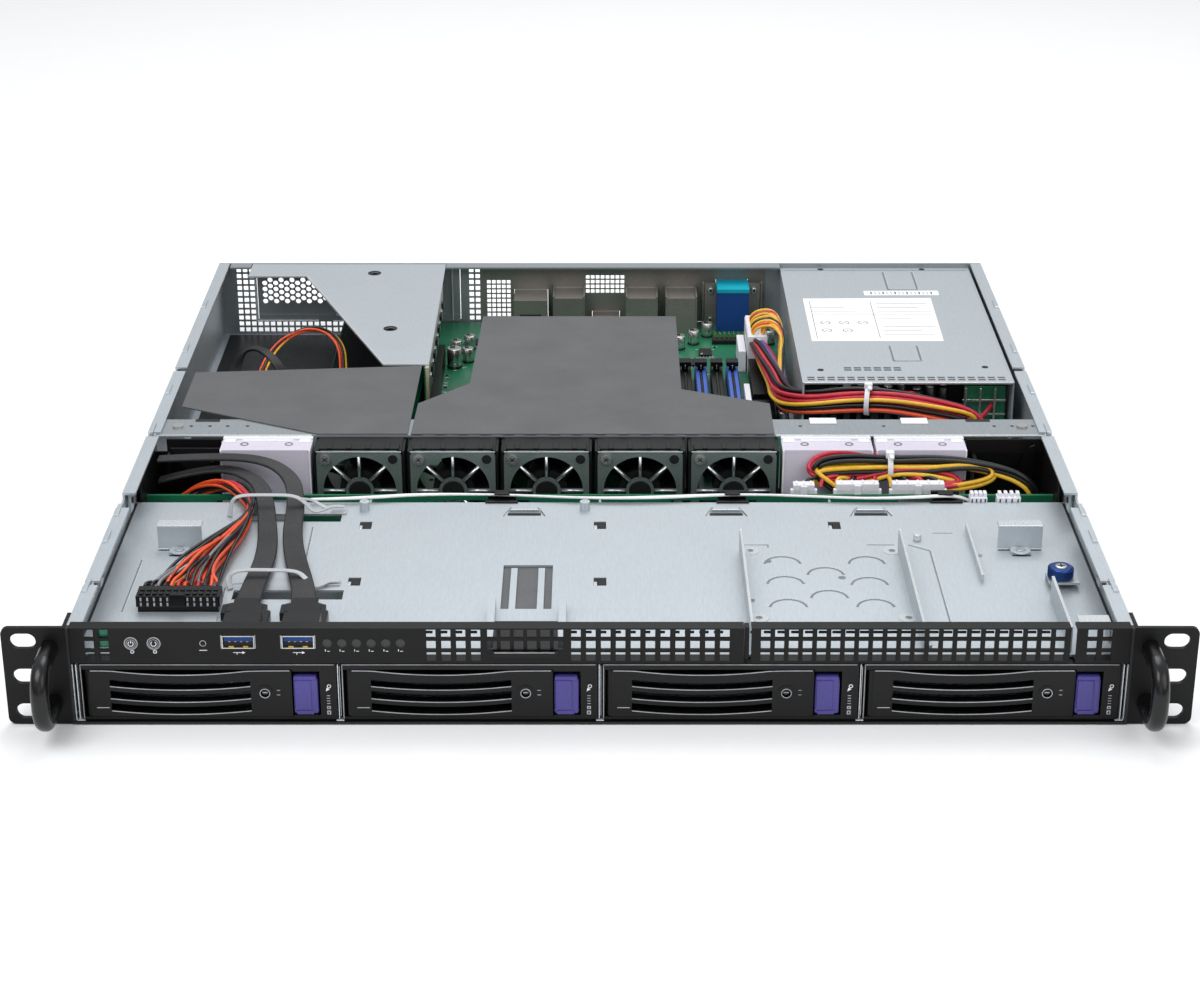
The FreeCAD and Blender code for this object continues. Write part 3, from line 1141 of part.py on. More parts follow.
def make_fans():
    """Five fans in a row, their guards, and the fan inside the power supply."""
    frame, guard = fan_frame("frame_shape", "fan_"), make_guard_shape()
    rotor = fan_rotor("rotor_shape", "fan_")
    count = int(SIZES["fan_count"])
    export(group("fan_frames", *[
        copy_at(f"fan_frame_{i + 1}", frame, fan_x(i), "fan_front", FAN_Z)
        for i in range(count)]))
    export(group("fan_guards", *[
        copy_at(f"fan_guard_{i + 1}", guard, fan_x(i), "fan_front", FAN_Z)
        for i in range(count)]))
    for i in range(count):
        export(copy_at(f"fan_rotor_{i + 1}", rotor, fan_x(i), "fan_front", FAN_Z))
    export(place(fan_frame("psu_fan_frame", "psu_fan_"), "psu_fan_x", PSU_FAN_FRONT,
                 PSU_FAN_Z))
    export(place(fan_rotor("psu_fan_rotor", "psu_fan_"), "psu_fan_x", PSU_FAN_FRONT,
                 PSU_FAN_Z))


def make_fan_wall():
    """The cross beam over the fans and the seat strip under them."""
    wide = (f"-1 * {INNER_WALL}", INNER_WALL)
    top = block("beam_top_plate", wide, ("beam_front", "beam_back"),
                ("beam_top - sheet", "beam_top"))
    drop = block("beam_drop_flange", wide, ("beam_back - sheet", "beam_back"),
                 ("beam_top - beam_drop", "beam_top"))
    seat = block("fan_seat_strip", ("-seat_left", "seat_right"), ("seat_front", "seat_back"),
                 ("sheet", "sheet + fan_seat"))
    return export(group("fan_wall", fuse("fan_beam", top, drop), seat))


def make_fillers():
    """Blank boxes in the three empty fan places."""
    solids = []
    for index in (1, 2, 3):
        centre = f"filler_{index}_x"
        half = "filler_width / 2"
        low, high = "sheet + fan_seat", "sheet + fan_seat + filler_height"
        outer = block(f"filler_{index}_outer", (f"{centre} - {half}", f"{centre} + {half}"),
                      ("filler_front", "filler_front + filler_depth"), (low, high))
        inner = block(f"filler_{index}_inner",
                      (f"{centre} - {half} + filler_wall", f"{centre} + {half} - filler_wall"),
                      ("filler_front + filler_wall", "filler_front + filler_depth + sheet"),
                      (f"{low} + filler_wall", f"{high} - filler_wall"))
        solids.append(cut(f"filler_{index}", outer, inner))
    return export(group("fan_fillers", *solids))


def make_baffles():
    """Black plastic guides that close the row of fans against the side walls."""
    solids = []
    for label, side, inner in (("left", -1, "baffle_inner"), ("right", 1, "baffle_right_inner")):
        near, far = f"{side} * {inner}", f"{side} * baffle_outer"
        across = (near, far) if side > 0 else (far, near)
        edge = f"{side} * ({inner} + baffle_sheet)"
        cheek = (near, edge) if side > 0 else (edge, near)
        back = block(f"baffle_{label}_back", across,
                     ("baffle_back - baffle_sheet", "baffle_back"),
                     ("sheet", "sheet + baffle_height"))
        side_wall = block(f"baffle_{label}_cheek", cheek, ("baffle_front", "baffle_back"),
                          ("sheet", "sheet + baffle_height"))
        solids.append(fuse(f"baffle_{label}", back, side_wall))
    return export(group("side_baffles", *solids))


def make_shrouds():
    """Two folded dark sheets that lead the air from the fans."""
    main = body("shroud_main")
    top = sketch(main, "XY_Plane", "shroud_top - shroud_sheet")
    outline(top, [
        ("-shroud_left_front", "shroud_front"), ("shroud_right_front", "shroud_front"),
        ("shroud_right_front", "shroud_shoulder"), ("shroud_back_right", "shroud_right_neck"),
        ("shroud_back_right", "shroud_back"), ("-shroud_back_left", "shroud_back"),
        ("-shroud_neck_left", "shroud_neck_front"),
        ("-shroud_left_shoulder", "shroud_shoulder")])
    pad(main, top, "shroud_sheet")
    for across, along in ((("shroud_back_right - shroud_sheet", "shroud_back_right"),
                           ("shroud_right_neck", "shroud_back")),
                          (("-shroud_back_left", "-shroud_back_left + shroud_sheet"),
                           ("shroud_neck_front", "shroud_back"))):
        skirt = sketch(main, "XY_Plane", "shroud_top - shroud_skirt")
        rectangle(skirt, across, along)
        pad(main, skirt, "shroud_skirt - shroud_sheet / 2")
    side = body("shroud_side")
    leaf = sketch(side, "XY_Plane", "shroud_top - shroud_sheet")
    outline(leaf, [
        ("-side_shroud_left", "side_shroud_left_front"),
        ("-side_shroud_step", "shroud_front"),
        ("-shroud_left_front - shroud_split", "shroud_front"),
        ("-shroud_left_shoulder - shroud_split", "side_shroud_back"),
        ("-side_shroud_left", "side_shroud_left_back")])
    pad(side, leaf, "shroud_sheet")
    return export(group("air_shrouds", main, side))


# ---------------------------------------------------------------- motherboard
BOARD_BACK = f"({REAR_INNER} - board_rear_gap)"


def make_motherboard():
    """The main board with its fixing holes."""
    board = body("motherboard")
    plate = sketch(board, "XY_Plane", "board_height")
    rectangle(plate, ("-board_left", "board_width - board_left"),
              (f"{BOARD_BACK} - board_depth", BOARD_BACK))
    pad(board, plate, "board_thickness")
    return export(board)


def memory_slot(index):
    """A memory socket with a two-cheeked post and a latch pin at its rear end."""
    x = f"(memory_x + {index} * memory_pitch)"
    half = "memory_width / 2"
    front, back = "memory_back - memory_length", "memory_back - memory_post_length"
    low, high = BOARD_TOP, f"{BOARD_TOP} + memory_body_height"
    name = f"memory_{index + 1}"
    bar = block(f"{name}_bar", (f"{x} - {half}", f"{x} + {half}"), (front, back), (low, high))
    groove = block(f"{name}_groove", (f"{x} - memory_groove / 2", f"{x} + memory_groove / 2"),
                   (f"{front} + memory_post_length", f"{back} + sheet"),
                   (f"{high} - memory_groove_depth", f"{high} + sheet"))
    cheeks = []
    for side in (-1, 1):
        outer = f"{x} + {side} * {half}"
        inner = f"{x} + {side} * ({half} - memory_cheek)"
        across = (inner, outer) if side > 0 else (outer, inner)
        cheeks.append(block(f"{name}_cheek_{side + 2}", across, (back, "memory_back"),
                            (low, f"{BOARD_TOP} + memory_body_height")))
    pin = rod(f"{name}_pin", "x", "latch_pin", "memory_width - memory_cheek",
              f"{x} - {half} + memory_cheek / 2", "memory_back - memory_post_length / 2",
              f"{BOARD_TOP} + latch_pivot_up")
    return fuse(f"{name}_socket", cut(f"{name}_grooved", bar, groove), *cheeks, pin)


def make_latches():
    """The white ejector latches of the memory sockets."""
    for index in range(int(SIZES["memory_count"])):
        x = f"(memory_x + {index} * memory_pitch)"
        half = "(memory_width / 2 - memory_cheek - latch_play)"
        y, z = "memory_back - memory_post_length / 2", f"{BOARD_TOP} + latch_pivot_up"
        name = f"latch_{index + 1}"
        barrel = rod(f"{name}_barrel", "x", "latch_length / 2", f"2 * {half}",
                     f"{x} - {half}", y, z)
        finger = block(f"{name}_finger", (f"{x} - {half}", f"{x} + {half}"),
                       (f"{y} - latch_length / 2", f"{y} + latch_length / 2"),
                       (z, f"{BOARD_TOP} + latch_height"))
        wide = "(memory_width / 2)"
        head = block(f"{name}_head", (f"{x} - {wide}", f"{x} + {wide}"),
                     (f"{y} - latch_length / 2 - latch_lip", f"{y} + latch_length / 2"),
                     (f"{BOARD_TOP} + latch_height - latch_lip", f"{BOARD_TOP} + latch_height"))
        bore = rod(f"{name}_bore", "x", "latch_pin + latch_fit", "memory_width",
                   f"{x} - memory_width / 2", y, z)
        export(cut(f"memory_latch_{index + 1}", fuse(f"{name}_solid", barrel, finger, head),
                   bore))


def make_board_sockets():
    """Memory sockets, power sockets, the riser's slot and the larger parts on the board."""
    solids = [memory_slot(index) for index in range(int(SIZES["memory_count"]))]

    def on_board(label, x, width, front, length, height, base=BOARD_TOP):
        return block(label, (f"{x} - {width} / 2", f"{x} + {width} / 2"),
                     (front, f"{front} + {length}"), (base, f"{base} + {height}"))

    solids.append(on_board("power_socket", "socket24_x", "socket24_width", "socket24_front",
                           "socket24_length", "socket24_height"))
    solids.append(on_board("power_plug", "socket24_x", "socket24_width",
                           "socket24_front + socket24_length + sheet", "plug24_length",
                           "socket24_height + plug24_height"))
    solids.append(on_board("fan_power_socket", "socket8_x", "socket24_width",
                           "socket8_front", "socket8_length", "socket24_height"))
    slot = on_board("riser_slot_body", "riser_x", "slot_socket_width", "slot_front",
                    "slot_socket_length", "slot_socket_height")
    mouth = block("riser_slot_mouth",
                  ("riser_x - riser_thickness / 2", "riser_x + riser_thickness / 2"),
                  ("slot_front + sheet", "slot_front + slot_socket_length - sheet"),
                  ("riser_low", f"{BOARD_TOP} + slot_socket_height + sheet"))
    solids.append(cut("riser_slot", slot, mouth))
    for index in range(int(SIZES["choke_count"])):
        solids.append(on_board(f"choke_{index + 1}", f"choke_x + {index} * choke_pitch",
                               "choke_size", "cooler_place + cooler_depth + choke_size",
                               "choke_size", "choke_height"))
    solids.append(on_board("processor", "cooler_x", "chip_size",
                           "cooler_place + (cooler_depth - chip_size) / 2", "chip_size",
                           "cooler_lift"))
    return export(group("board_sockets", *solids))


def make_cooler():
    """The finned processor cooler under the shroud."""
    cooler = body("cpu_cooler")
    left = "cooler_x - cooler_width / 2"
    base = sketch(cooler, "XY_Plane", f"{BOARD_TOP} + cooler_lift")
    rectangle(base, (left, f"{left} + cooler_width"),
              ("cooler_place", "cooler_place + cooler_depth"))
    pad(cooler, base, "cooler_base")
    fin = sketch(cooler, "XY_Plane", f"{BOARD_TOP} + cooler_lift + cooler_base")
    rectangle(fin, (f"{left} + sheet", f"{left} + sheet + fin_sheet"),
              ("cooler_place", "cooler_place + cooler_depth"))
    repeat(cooler, pad(cooler, fin, "cooler_height - cooler_base"), "X_Axis", "fin_pitch",
           "fin_count")
    return export(cooler)


def make_riser():
    """The upright riser card with its sideways expansion socket."""
    card = body("riser_board")
    face = sketch(card, "YZ_Plane", "riser_x - riser_thickness / 2")
    slot_top = f"{BOARD_TOP} + slot_socket_height + port_play"
    outline(face, [
        ("riser_front", slot_top), ("slot_front + 2 * sheet", slot_top),
        ("slot_front + 2 * sheet", "riser_low"),
        ("slot_front + slot_socket_length - 2 * sheet", "riser_low"),
        ("slot_front + slot_socket_length - 2 * sheet", slot_top), ("riser_back", slot_top),
        ("riser_back", "riser_high"), ("riser_front", "riser_high")])
    pad(card, face, "riser_thickness")
    edge = "riser_x - riser_thickness / 2"
    socket = block("riser_socket_bar", (f"{edge} - riser_socket_width", edge),
                   ("riser_socket_place", "riser_socket_place + slot_socket_length"),
                   ("riser_socket_low", "riser_socket_low + riser_socket_height"))
    middle = "riser_socket_low + riser_socket_height / 2"
    mouth = block("riser_socket_mouth",
                  (f"{edge} - riser_socket_width - sheet",
                   f"{edge} - riser_socket_width / 2 + sheet"),
                  ("riser_socket_place + sheet",
                   "riser_socket_place + slot_socket_length - sheet"),
                  (f"{middle} - riser_thickness / 2", f"{middle} + riser_thickness / 2"))
    return export(fuse("riser_card", card, cut("riser_socket", socket, mouth)))


def make_cage():
    """The plate over the expansion bay, with a flange that carries the riser card."""
    cage = body("riser_cage")
    top = sketch(cage, "XY_Plane", "cage_top - psu_sheet")
    outline(top, [
        ("-cage_left", "cage_waist"), ("-cage_waist_left", "cage_waist"),
        ("-cage_front_left", "cage_front"), ("-cage_right", "cage_front"),
        ("-cage_right", REAR_INNER), ("-cage_left", REAR_INNER)])
    circle(top, "cage_hole_1_x", "cage_hole_1_y", "cage_hole")
    circle(top, "cage_hole_2_x", "cage_hole_2_y", "cage_hole")
    pad(cage, top, "psu_sheet")
    flange = sketch(cage, "YZ_Plane", "-cage_right - psu_sheet")
    rectangle(flange, ("cage_front", "riser_back"),
              ("cage_top - cage_drop", "cage_top - psu_sheet / 2"))
    pad(cage, flange, "psu_sheet")
    back = sketch(cage, "XZ_Plane", f"{REAR_INNER} - 2 * sheet")
    rectangle(back, ("-cage_left", "-cage_right"),
              ("expansion_high", "cage_top - psu_sheet / 2"))
    pad(cage, back, "sheet")
    return export(cage)


# ---------------------------------------------------------------- power supply
PSU_RIGHT = "(psu_left + psu_width)"
PSU_INNER_FLOOR = "(sheet + psu_sheet)"
INLET_HIGH = "(inlet_low + inlet_height)"


def make_psu_case():
    """The power supply's sheet case: open at the front, slotted on top."""
    case = body("psu_case")
    ring = sketch(case, "XZ_Plane", "psu_front")
    rectangle(ring, ("psu_left", PSU_RIGHT), ("sheet", f"sheet + {PSU_HEIGHT}"))
    rectangle(ring, ("psu_left + psu_sheet", f"{PSU_RIGHT} - psu_sheet"),
              (PSU_INNER_FLOOR, f"sheet + {PSU_HEIGHT} - psu_sheet"))
    pad(case, ring, "body_depth - psu_front - psu_sheet")
    wall = sketch(case, "XZ_Plane", "body_depth - psu_sheet")
    rectangle(wall, ("psu_left", PSU_RIGHT), ("sheet", f"sheet + {PSU_HEIGHT}"))
    rectangle(wall, ("inlet_x - inlet_width / 2", "inlet_x + inlet_width / 2"),
              ("inlet_low", INLET_HIGH))
    pad(case, wall, "psu_sheet")
    span = "(psu_fan_hole_columns - 1) * psu_fan_hole_pitch / 2"
    hole = circle(sketch(case, "XZ_Plane", "body_depth - 2 * psu_sheet"),
                  f"psu_fan_x - {span}", f"{PSU_FAN_Z} - {span}", "psu_fan_hole / 2")
    repeat(case, pocket(case, hole, "3 * psu_sheet"), "X_Axis", "psu_fan_hole_pitch",
           "psu_fan_hole_columns", "Z_Axis", "psu_fan_hole_pitch", "psu_fan_hole_rows")
    for start, y, count, rows in (("psu_slot_start", "psu_slot_place", "psu_slot_count", "2"),
                                  ("psu_row_start", "psu_row_place", "psu_row_count", "2")):
        slot = sketch(case, "XY_Plane", f"sheet + {PSU_HEIGHT} - 2 * psu_sheet")
        rectangle(slot, (start, f"{start} + psu_slot_width"),
                  (y, f"{y} + psu_slot_length"))
        repeat(case, pocket(case, slot, "4 * psu_sheet"), "X_Axis", "psu_slot_pitch", count,
               "Y_Axis", "psu_slot_length + sheet", rows)
    return export(case)


def make_psu_core():
    """The board inside the power supply, with its coils, sinks and capacitors."""
    low = f"({PSU_INNER_FLOOR} + psu_board_height)"
    top = f"({low} + psu_board_thickness)"
    board = block("psu_board", ("psu_left + 2 * psu_sheet", f"{PSU_RIGHT} - 2 * psu_sheet"),
                  ("psu_front + 4 * psu_sheet", f"{PSU_FAN_FRONT} - 6 * sheet"),
                  (low, top))
    pieces = [board]
    legs = (("psu_left + 4 * psu_sheet", "psu_front + 6 * sheet"),
            (f"{PSU_RIGHT} - 8 * psu_sheet", "psu_front + 6 * sheet"),
            ("psu_left + 4 * psu_sheet", f"{PSU_FAN_FRONT} - 12 * sheet"),
            (f"{PSU_RIGHT} - 8 * psu_sheet", f"{PSU_FAN_FRONT} - 12 * sheet"))
    for index, (x, y) in enumerate(legs):
        pieces.append(block(f"psu_leg_{index + 1}", (x, f"{x} + 4 * psu_sheet"),
                            (y, f"{y} + 4 * sheet"), (PSU_INNER_FLOOR, low)))
    for index in range(3):
        y = f"psu_front + 28 * sheet + {index} * 3 * coil_radius"
        pieces.append(rod(f"psu_coil_{index + 1}", "z", "coil_radius", "2.4 * coil_radius",
                          "psu_left + 2 * coil_radius", y, top))
        pieces.append(block(f"psu_sink_{index + 1}",
                            (f"{PSU_RIGHT} - {index + 1} * 2.4 * coil_radius",
                             f"{PSU_RIGHT} - {index + 1} * 2.4 * coil_radius + 4 * sheet"),
                            ("psu_front + 18 * sheet", f"{PSU_FAN_FRONT} - 30 * sheet"),
                            (top, f"{top} + 2.2 * coil_radius")))
    return export(fuse("psu_core", *pieces))


def make_inlet():
    """The three-pin mains inlet."""
    left, right = "inlet_x - inlet_width / 2", "inlet_x + inlet_width / 2"
    front, back = "body_depth - inlet_depth", "body_depth + port_reach"
    shell = block("inlet_shell", (left, right), (front, back), ("inlet_low", INLET_HIGH))
    floor = f"{back} - inlet_cavity"
    hollow = block("inlet_hollow", (f"{left} + inlet_wall", f"{right} - inlet_wall"),
                   (floor, f"{back} + sheet"),
                   ("inlet_low + inlet_wall", f"{INLET_HIGH} - inlet_wall"))
    middle = f"(inlet_low + {INLET_HIGH}) / 2"
    pins = []
    for index, (across, up) in enumerate((("-inlet_pin_spread", "-1"), ("0", "1"),
                                          ("inlet_pin_spread", "-1"))):
        x = f"inlet_x + {across}"
        z = f"{middle} + {up} * inlet_pin_height / 2"
        pins.append(block(f"inlet_pin_{index + 1}",
                          (f"{x} - inlet_pin_width / 2", f"{x} + inlet_pin_width / 2"),
                          (f"{floor} - sheet", f"{floor} + inlet_pin_length"),
                          (f"{z} - inlet_pin_height / 2", f"{z} + inlet_pin_height / 2")))
    return export(fuse("psu_inlet", cut("inlet_socket", shell, hollow), *pins))


# ---------------------------------------------------------------- wiring
def cable_path(points):
    """Straight runs joined by tangent arcs that are as large as the runs allow."""
    spots = [FreeCAD.Vector(*point) for point in points]
    edges, start, tightest = [], spots[0], None
    for before, corner, after in zip(spots, spots[1:], spots[2:]):
        back, ahead = before - corner, after - corner
        turn = math.pi - back.getAngle(ahead)
        reach = 0.45 * min(back.Length, ahead.Length)
        radius = reach / math.tan(turn / 2)
        tightest = radius if tightest is None else min(tightest, radius)
        back.normalize()
        ahead.normalize()
        enter, leave = corner + back * reach, corner + ahead * reach
        centre = corner + (back + ahead).normalize() * (radius / math.cos(turn / 2))
        middle = centre + (corner - centre).normalize() * radius
        edges.append(Part.LineSegment(start, enter).toShape())
        edges.append(Part.Arc(enter, middle, leave).toShape())
        start = leave
    edges.append(Part.LineSegment(start, spots[-1]).toShape())
    return Part.Wire(edges), tightest


def cable(label, points, radius):
    """A round lead along its route."""
    path, tightest = cable_path(points)
    ring = Part.Circle(FreeCAD.Vector(*points[0]), path.Edges[0].tangentAt(0), number(radius))
    return finish_cable(label, path, Part.Wire(ring.toShape()), tightest,
                        math.pi * number(radius) ** 2)


def ribbon(label, points, width, thickness):
    """A flat lead along its route, lying flat all the way."""
    path, tightest = cable_path(points)
    ahead = path.Edges[0].tangentAt(0)
    across = ahead.cross(FreeCAD.Vector(0, 0, 1)).normalize() * (number(width) / 2)
    up = across.cross(ahead).normalize() * (number(thickness) / 2)
    start = FreeCAD.Vector(*points[0])
    corners = [start + across + up, start - across + up, start - across - up,
               start + across - up]
    section = Part.makePolygon(corners + corners[:1])
    return finish_cable(label, path, section, tightest, number(width) * number(thickness))


def finish_cable(label, path, section, tightest, area):
    """Sweep a section along a route and report the route's length and its tightest arc."""
    sweep = Part.BRepOffsetAPI.MakePipeShell(path)
    if len(section.Edges) > 1:
        sweep.setBiNormalMode(FreeCAD.Vector(0, 0, 1))
    sweep.add(section)
    sweep.build()
    sweep.makeSolid()
    made = part("Feature", label)
    made.Shape = sweep.shape()
    share = abs(made.Shape.Volume) / (area * path.Length)
    print(f"{label}: {path.Length:.0f} mm long, tightest arc {tightest:.1f} mm, "
          f"volume {share:.3f} of section times length")
    return made


def make_power_cables():
    """The tied bundle from the power supply and the looped bundle to the drive plugs."""
    trunk = cable("psu_trunk", [
        (188, 280.5, 24), (186, 265, 26), (166, 256, 29), (140, 256, 30), (112, 260, 28),
        (94.5, 272, 26), (93, 300, 26), (92, 326, 26), (86, 348, 26), (85, 370.5, 26)],
        "trunk_radius")
    loop = cable("drive_loop", [
        (203, 182.5, 8), (201, 182.5, 22), (186, 182.5, 32), (160, 182.5, 34),
        (132, 182.5, 34), (107, 182.5, 32), (95, 182.5, 22), (93, 182.5, 8)], "loop_radius")
    back = "bay_setback + partition_length + backplane_gap + backplane_thickness"
    plugs = []
    for index in (1, 2, 3):
        centre = f"drive_power_{index}_x"
        width = f"drive_power_{index}_width"
        plugs.append(block(f"drive_power_{index}", (f"{centre} - {width} / 2",
                                                    f"{centre} + {width} / 2"),
                           (back, f"{back} + drive_power_depth"),
                           ("backplane_high - drive_power_height / 2",
                            "backplane_high + drive_power_height / 2")))
    return export(group("power_cables", trunk, loop, *plugs))


def make_signal_cables():
    """Front-panel leads, two flat data leads with their plugs, and the thin white lead."""
    panel = cable("panel_bundle", [
        (-177, 57, 32.3), (-174, 82, 32.8), (-166, 108, 32.8), (-159, 134, 32.6),
        (-159, 150, 32.6), (-166, 162, 32.8), (-178, 177, 33), (-196, 182, 18),
        (-207, 183, 8)],
        "panel_radius")
    flat_1 = ribbon("data_ribbon_1", [
        (-148.5, 52, 30.0), (-147, 72, 31.2), (-147.5, 96, 31.4), (-149.5, 122, 31.4),
        (-151.0, 148, 31.4), (-157, 168, 34), (-176, 185.5, 33.5), (-207, 186, 28)],
        "ribbon_width", "ribbon_thickness")
    flat_2 = ribbon("data_ribbon_2", [
        (-124.5, 52, 30.0), (-131, 72, 31.2), (-136, 96, 31.4), (-140, 122, 31.4),
        (-142.0, 150, 31.4), (-147, 170, 34.5), (-162, 183, 37), (-184, 185, 38),
        (-207, 186, 38.5)],
        "ribbon_width", "ribbon_thickness")
    edge = cable("edge_lead", [
        (-133, 156.4, 30.1), (-106, 156.8, 30.1), (-72, 161, 29.8), (-40, 162, 29.8),
        (-8, 157, 30.1), (28, 157, 30.1), (62, 161.5, 29.8), (100, 157.5, 30.1),
        (140, 156.6, 30.1), (158, 158.5, 30.2), (168, 164, 29), (176, 168, 22)],
        "edge_lead_radius")
    riser = cable("riser_leads", [
        (-178, 246, 16), (-176, 272, 20), (-172, 300, 26), (-160, 322, 32),
        (-146, 334, 31), (-138, 342, 22), (-137, 346, 11)], "riser_lead_radius")
    plugs = []
    for index, (centre, near) in enumerate((("-148.5", "1"), ("-122.8", "0.4"))):
        plug = body(f"data_plug_{index + 1}")
        outline(sketch(plug, "XY_Plane", "deck_top"), [
            (f"{centre} - data_plug_width / 2", "data_plug_front"),
            (f"{centre} + data_plug_width / 2", "data_plug_front"),
            (f"{centre} + data_plug_width / 2", "data_plug_front + data_plug_length / 3"),
            (f"{centre} + ribbon_width / 2", "data_plug_front + data_plug_length"),
            (f"{centre} - ribbon_width / 2", "data_plug_front + data_plug_length"),
            (f"{centre} - data_plug_width / 2", "data_plug_front + data_plug_length / 3")])
        pad(plug, plug.Group[-1], "data_plug_height")
        plugs.append(plug)
    return export(group("signal_cables", panel, flat_1, flat_2, edge, riser, *plugs))


def make_wire_holders():
    """Two nylon straps that hold the leads down on the deck."""
    solids = []
    for name in ("front", "rear"):
        left, right = f"strap_{name}_left", f"strap_{name}_right"
        y, top = f"strap_{name}_place", f"strap_{name}_top"
        along = (f"{y} - strap_width / 2", f"{y} + strap_width / 2")
        bar = block(f"strap_{name}_bar", (left, right), along,
                    (f"{top} - strap_sheet", top))
        legs = [block(f"strap_{name}_leg_1", (left, f"{left} + strap_sheet"), along,
                      ("deck_top", top)),
                block(f"strap_{name}_leg_2", (f"{right} - strap_sheet", right), along,
                      ("deck_top", top))]
        solids.append(fuse(f"strap_{name}", bar, *legs))
    return export(group("wire_straps", *solids))


# ---------------------------------------------------------------- fixings
def screw(label, x, y, z, axis="z"):
    """The head of a screw on a surface."""
    return rod(label, axis, "screw_head", "screw_head_height", x, y, z)


def make_screws():
    """Screw heads and the board's standoffs."""
    solids = []
    for index in range(int(SIZES["fan_count"])):
        solids.append(screw(f"guard_screw_{index + 1}",
                            f"{fan_x(index)} - fan_screw_pitch / 2",
                            "fan_front - guard_sheet - screw_head_height",
                            f"{FAN_Z} + fan_screw_pitch / 2", "y"))
    for side in (-1, 1):
        solids.append(screw(f"beam_screw_{side + 2}", f"{side} * ({INNER_WALL} - 2 * lip_width)",
                            "(beam_front + beam_back) / 2", "beam_top"))
        for back in (0, 1):
            x = ("-board_left + standoff_inset" if side < 0
                 else "board_width - board_left - standoff_inset")
            level = (f"{BOARD_BACK} - standoff_inset" if back
                     else f"{BOARD_BACK} - board_depth + standoff_inset")
            solids.append(rod(f"standoff_{side + 2}_{back}", "z", "standoff_radius",
                              "board_height - sheet", x, level, "sheet"))
    return export(group("screws", *solids))


def check_document():
    """Stop if any object failed or any sub-part is empty or invalid."""
    for item in document.Objects:
        if {"Invalid", "Error"} & set(item.State):
            raise RuntimeError(f"{item.Label} failed: {item.State}")
    for item in EXPORTED:
        if item.Shape.isNull() or not item.Shape.isValid() or not item.Shape.Solids:
            raise RuntimeError(f"{item.Label} has no valid solid")


def main():
    """Build every sub-part, check them and write one STEP file each."""
    for make in (make_chassis, make_rear_panel, make_expansion_cover, make_io_plate,
                 make_rear_ports, make_deck, make_deck_fittings, make_thumbscrew,
                 make_partitions, make_bezel, make_blank, make_ear, make_handles,
                 make_front_board, make_tag, make_trays, make_backplane, make_fans,
                 make_fan_wall, make_fillers, make_baffles, make_shrouds, make_motherboard,
                 make_board_sockets, make_latches, make_cooler, make_riser, make_cage,
                 make_psu_case, make_psu_core, make_inlet, make_power_cables,
                 make_signal_cables, make_wire_holders, make_screws):
        make()
    make_button("power_button", "power", "button_radius")
    make_button("identify_button", "identify", "button_radius")
    make_button("reset_button", "reset", "reset_radius")
    document.removeObject(PROBE.Name)
    document.recompute()
    check_document()
    os.makedirs("parts", exist_ok=True)
    for item in EXPORTED:
        item.Shape.exportStep(f"parts/{item.Label}.step")


main()
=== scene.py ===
"""One-unit rack server with its lid off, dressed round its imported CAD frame. Metres."""
import bpy
import bmesh
import math
import random
from mathutils import Matrix, Vector


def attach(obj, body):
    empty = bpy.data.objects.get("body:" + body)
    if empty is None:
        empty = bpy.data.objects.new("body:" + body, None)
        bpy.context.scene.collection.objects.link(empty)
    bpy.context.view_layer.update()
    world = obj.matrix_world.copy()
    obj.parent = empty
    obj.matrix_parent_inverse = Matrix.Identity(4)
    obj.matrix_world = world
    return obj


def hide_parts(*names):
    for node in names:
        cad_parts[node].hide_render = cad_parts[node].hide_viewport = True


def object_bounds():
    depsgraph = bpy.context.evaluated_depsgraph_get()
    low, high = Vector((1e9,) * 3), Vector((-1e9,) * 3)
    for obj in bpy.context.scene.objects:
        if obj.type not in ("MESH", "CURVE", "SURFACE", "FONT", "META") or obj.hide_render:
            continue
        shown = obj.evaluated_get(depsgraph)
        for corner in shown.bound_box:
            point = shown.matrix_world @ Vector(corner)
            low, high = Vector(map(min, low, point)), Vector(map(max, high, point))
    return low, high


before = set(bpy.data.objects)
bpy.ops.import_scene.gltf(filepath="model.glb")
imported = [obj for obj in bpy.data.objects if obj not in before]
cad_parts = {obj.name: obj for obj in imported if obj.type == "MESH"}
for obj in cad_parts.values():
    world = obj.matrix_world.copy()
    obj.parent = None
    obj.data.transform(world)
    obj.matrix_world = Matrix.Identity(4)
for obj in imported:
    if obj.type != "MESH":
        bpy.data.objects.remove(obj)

CAD_LOW, CAD_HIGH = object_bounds()
MM = 0.001
ROOT = "chassis"
UP, FORWARD = (0, 0, 1), (0, -1, 0)
# Stands a flat outline up, so that its face looks forward.
UPRIGHT = Matrix.Rotation(math.radians(90), 4, "X")
random.seed(11)

# ---------------------------------------------------------------- camera, world and lamps
scene = bpy.context.scene
scene.view_settings.view_transform = "Standard"
camera_data = bpy.data.cameras.new("camera")
camera_data.lens = 76.9
camera = bpy.data.objects.new("camera", camera_data)
camera.location = (0.0, -0.9206, 0.5079)
camera.rotation_euler = (math.radians(66.1), 0.0, 0.0)
scene.collection.objects.link(camera)
scene.camera = camera


def srgb(code):
    """A hex colour as linear light."""
    parts = [int(code[i:i + 2], 16) / 255 for i in (1, 3, 5)]
    return tuple(v / 12.92 if v <= 0.04045 else ((v + 0.055) / 1.055) ** 2.4
                 for v in parts) + (1.0,)


def add(tree, kind, inputs=None, **settings):
    """A node with its settings, and its inputs set or linked."""
    node = tree.nodes.new(kind)
    for name, value in settings.items():
        setattr(node, name, value)
    for name, value in (inputs or {}).items():
        if isinstance(value, bpy.types.NodeSocket):
            tree.links.new(value, node.inputs[name])
        else:
            node.inputs[name].default_value = value
    return node


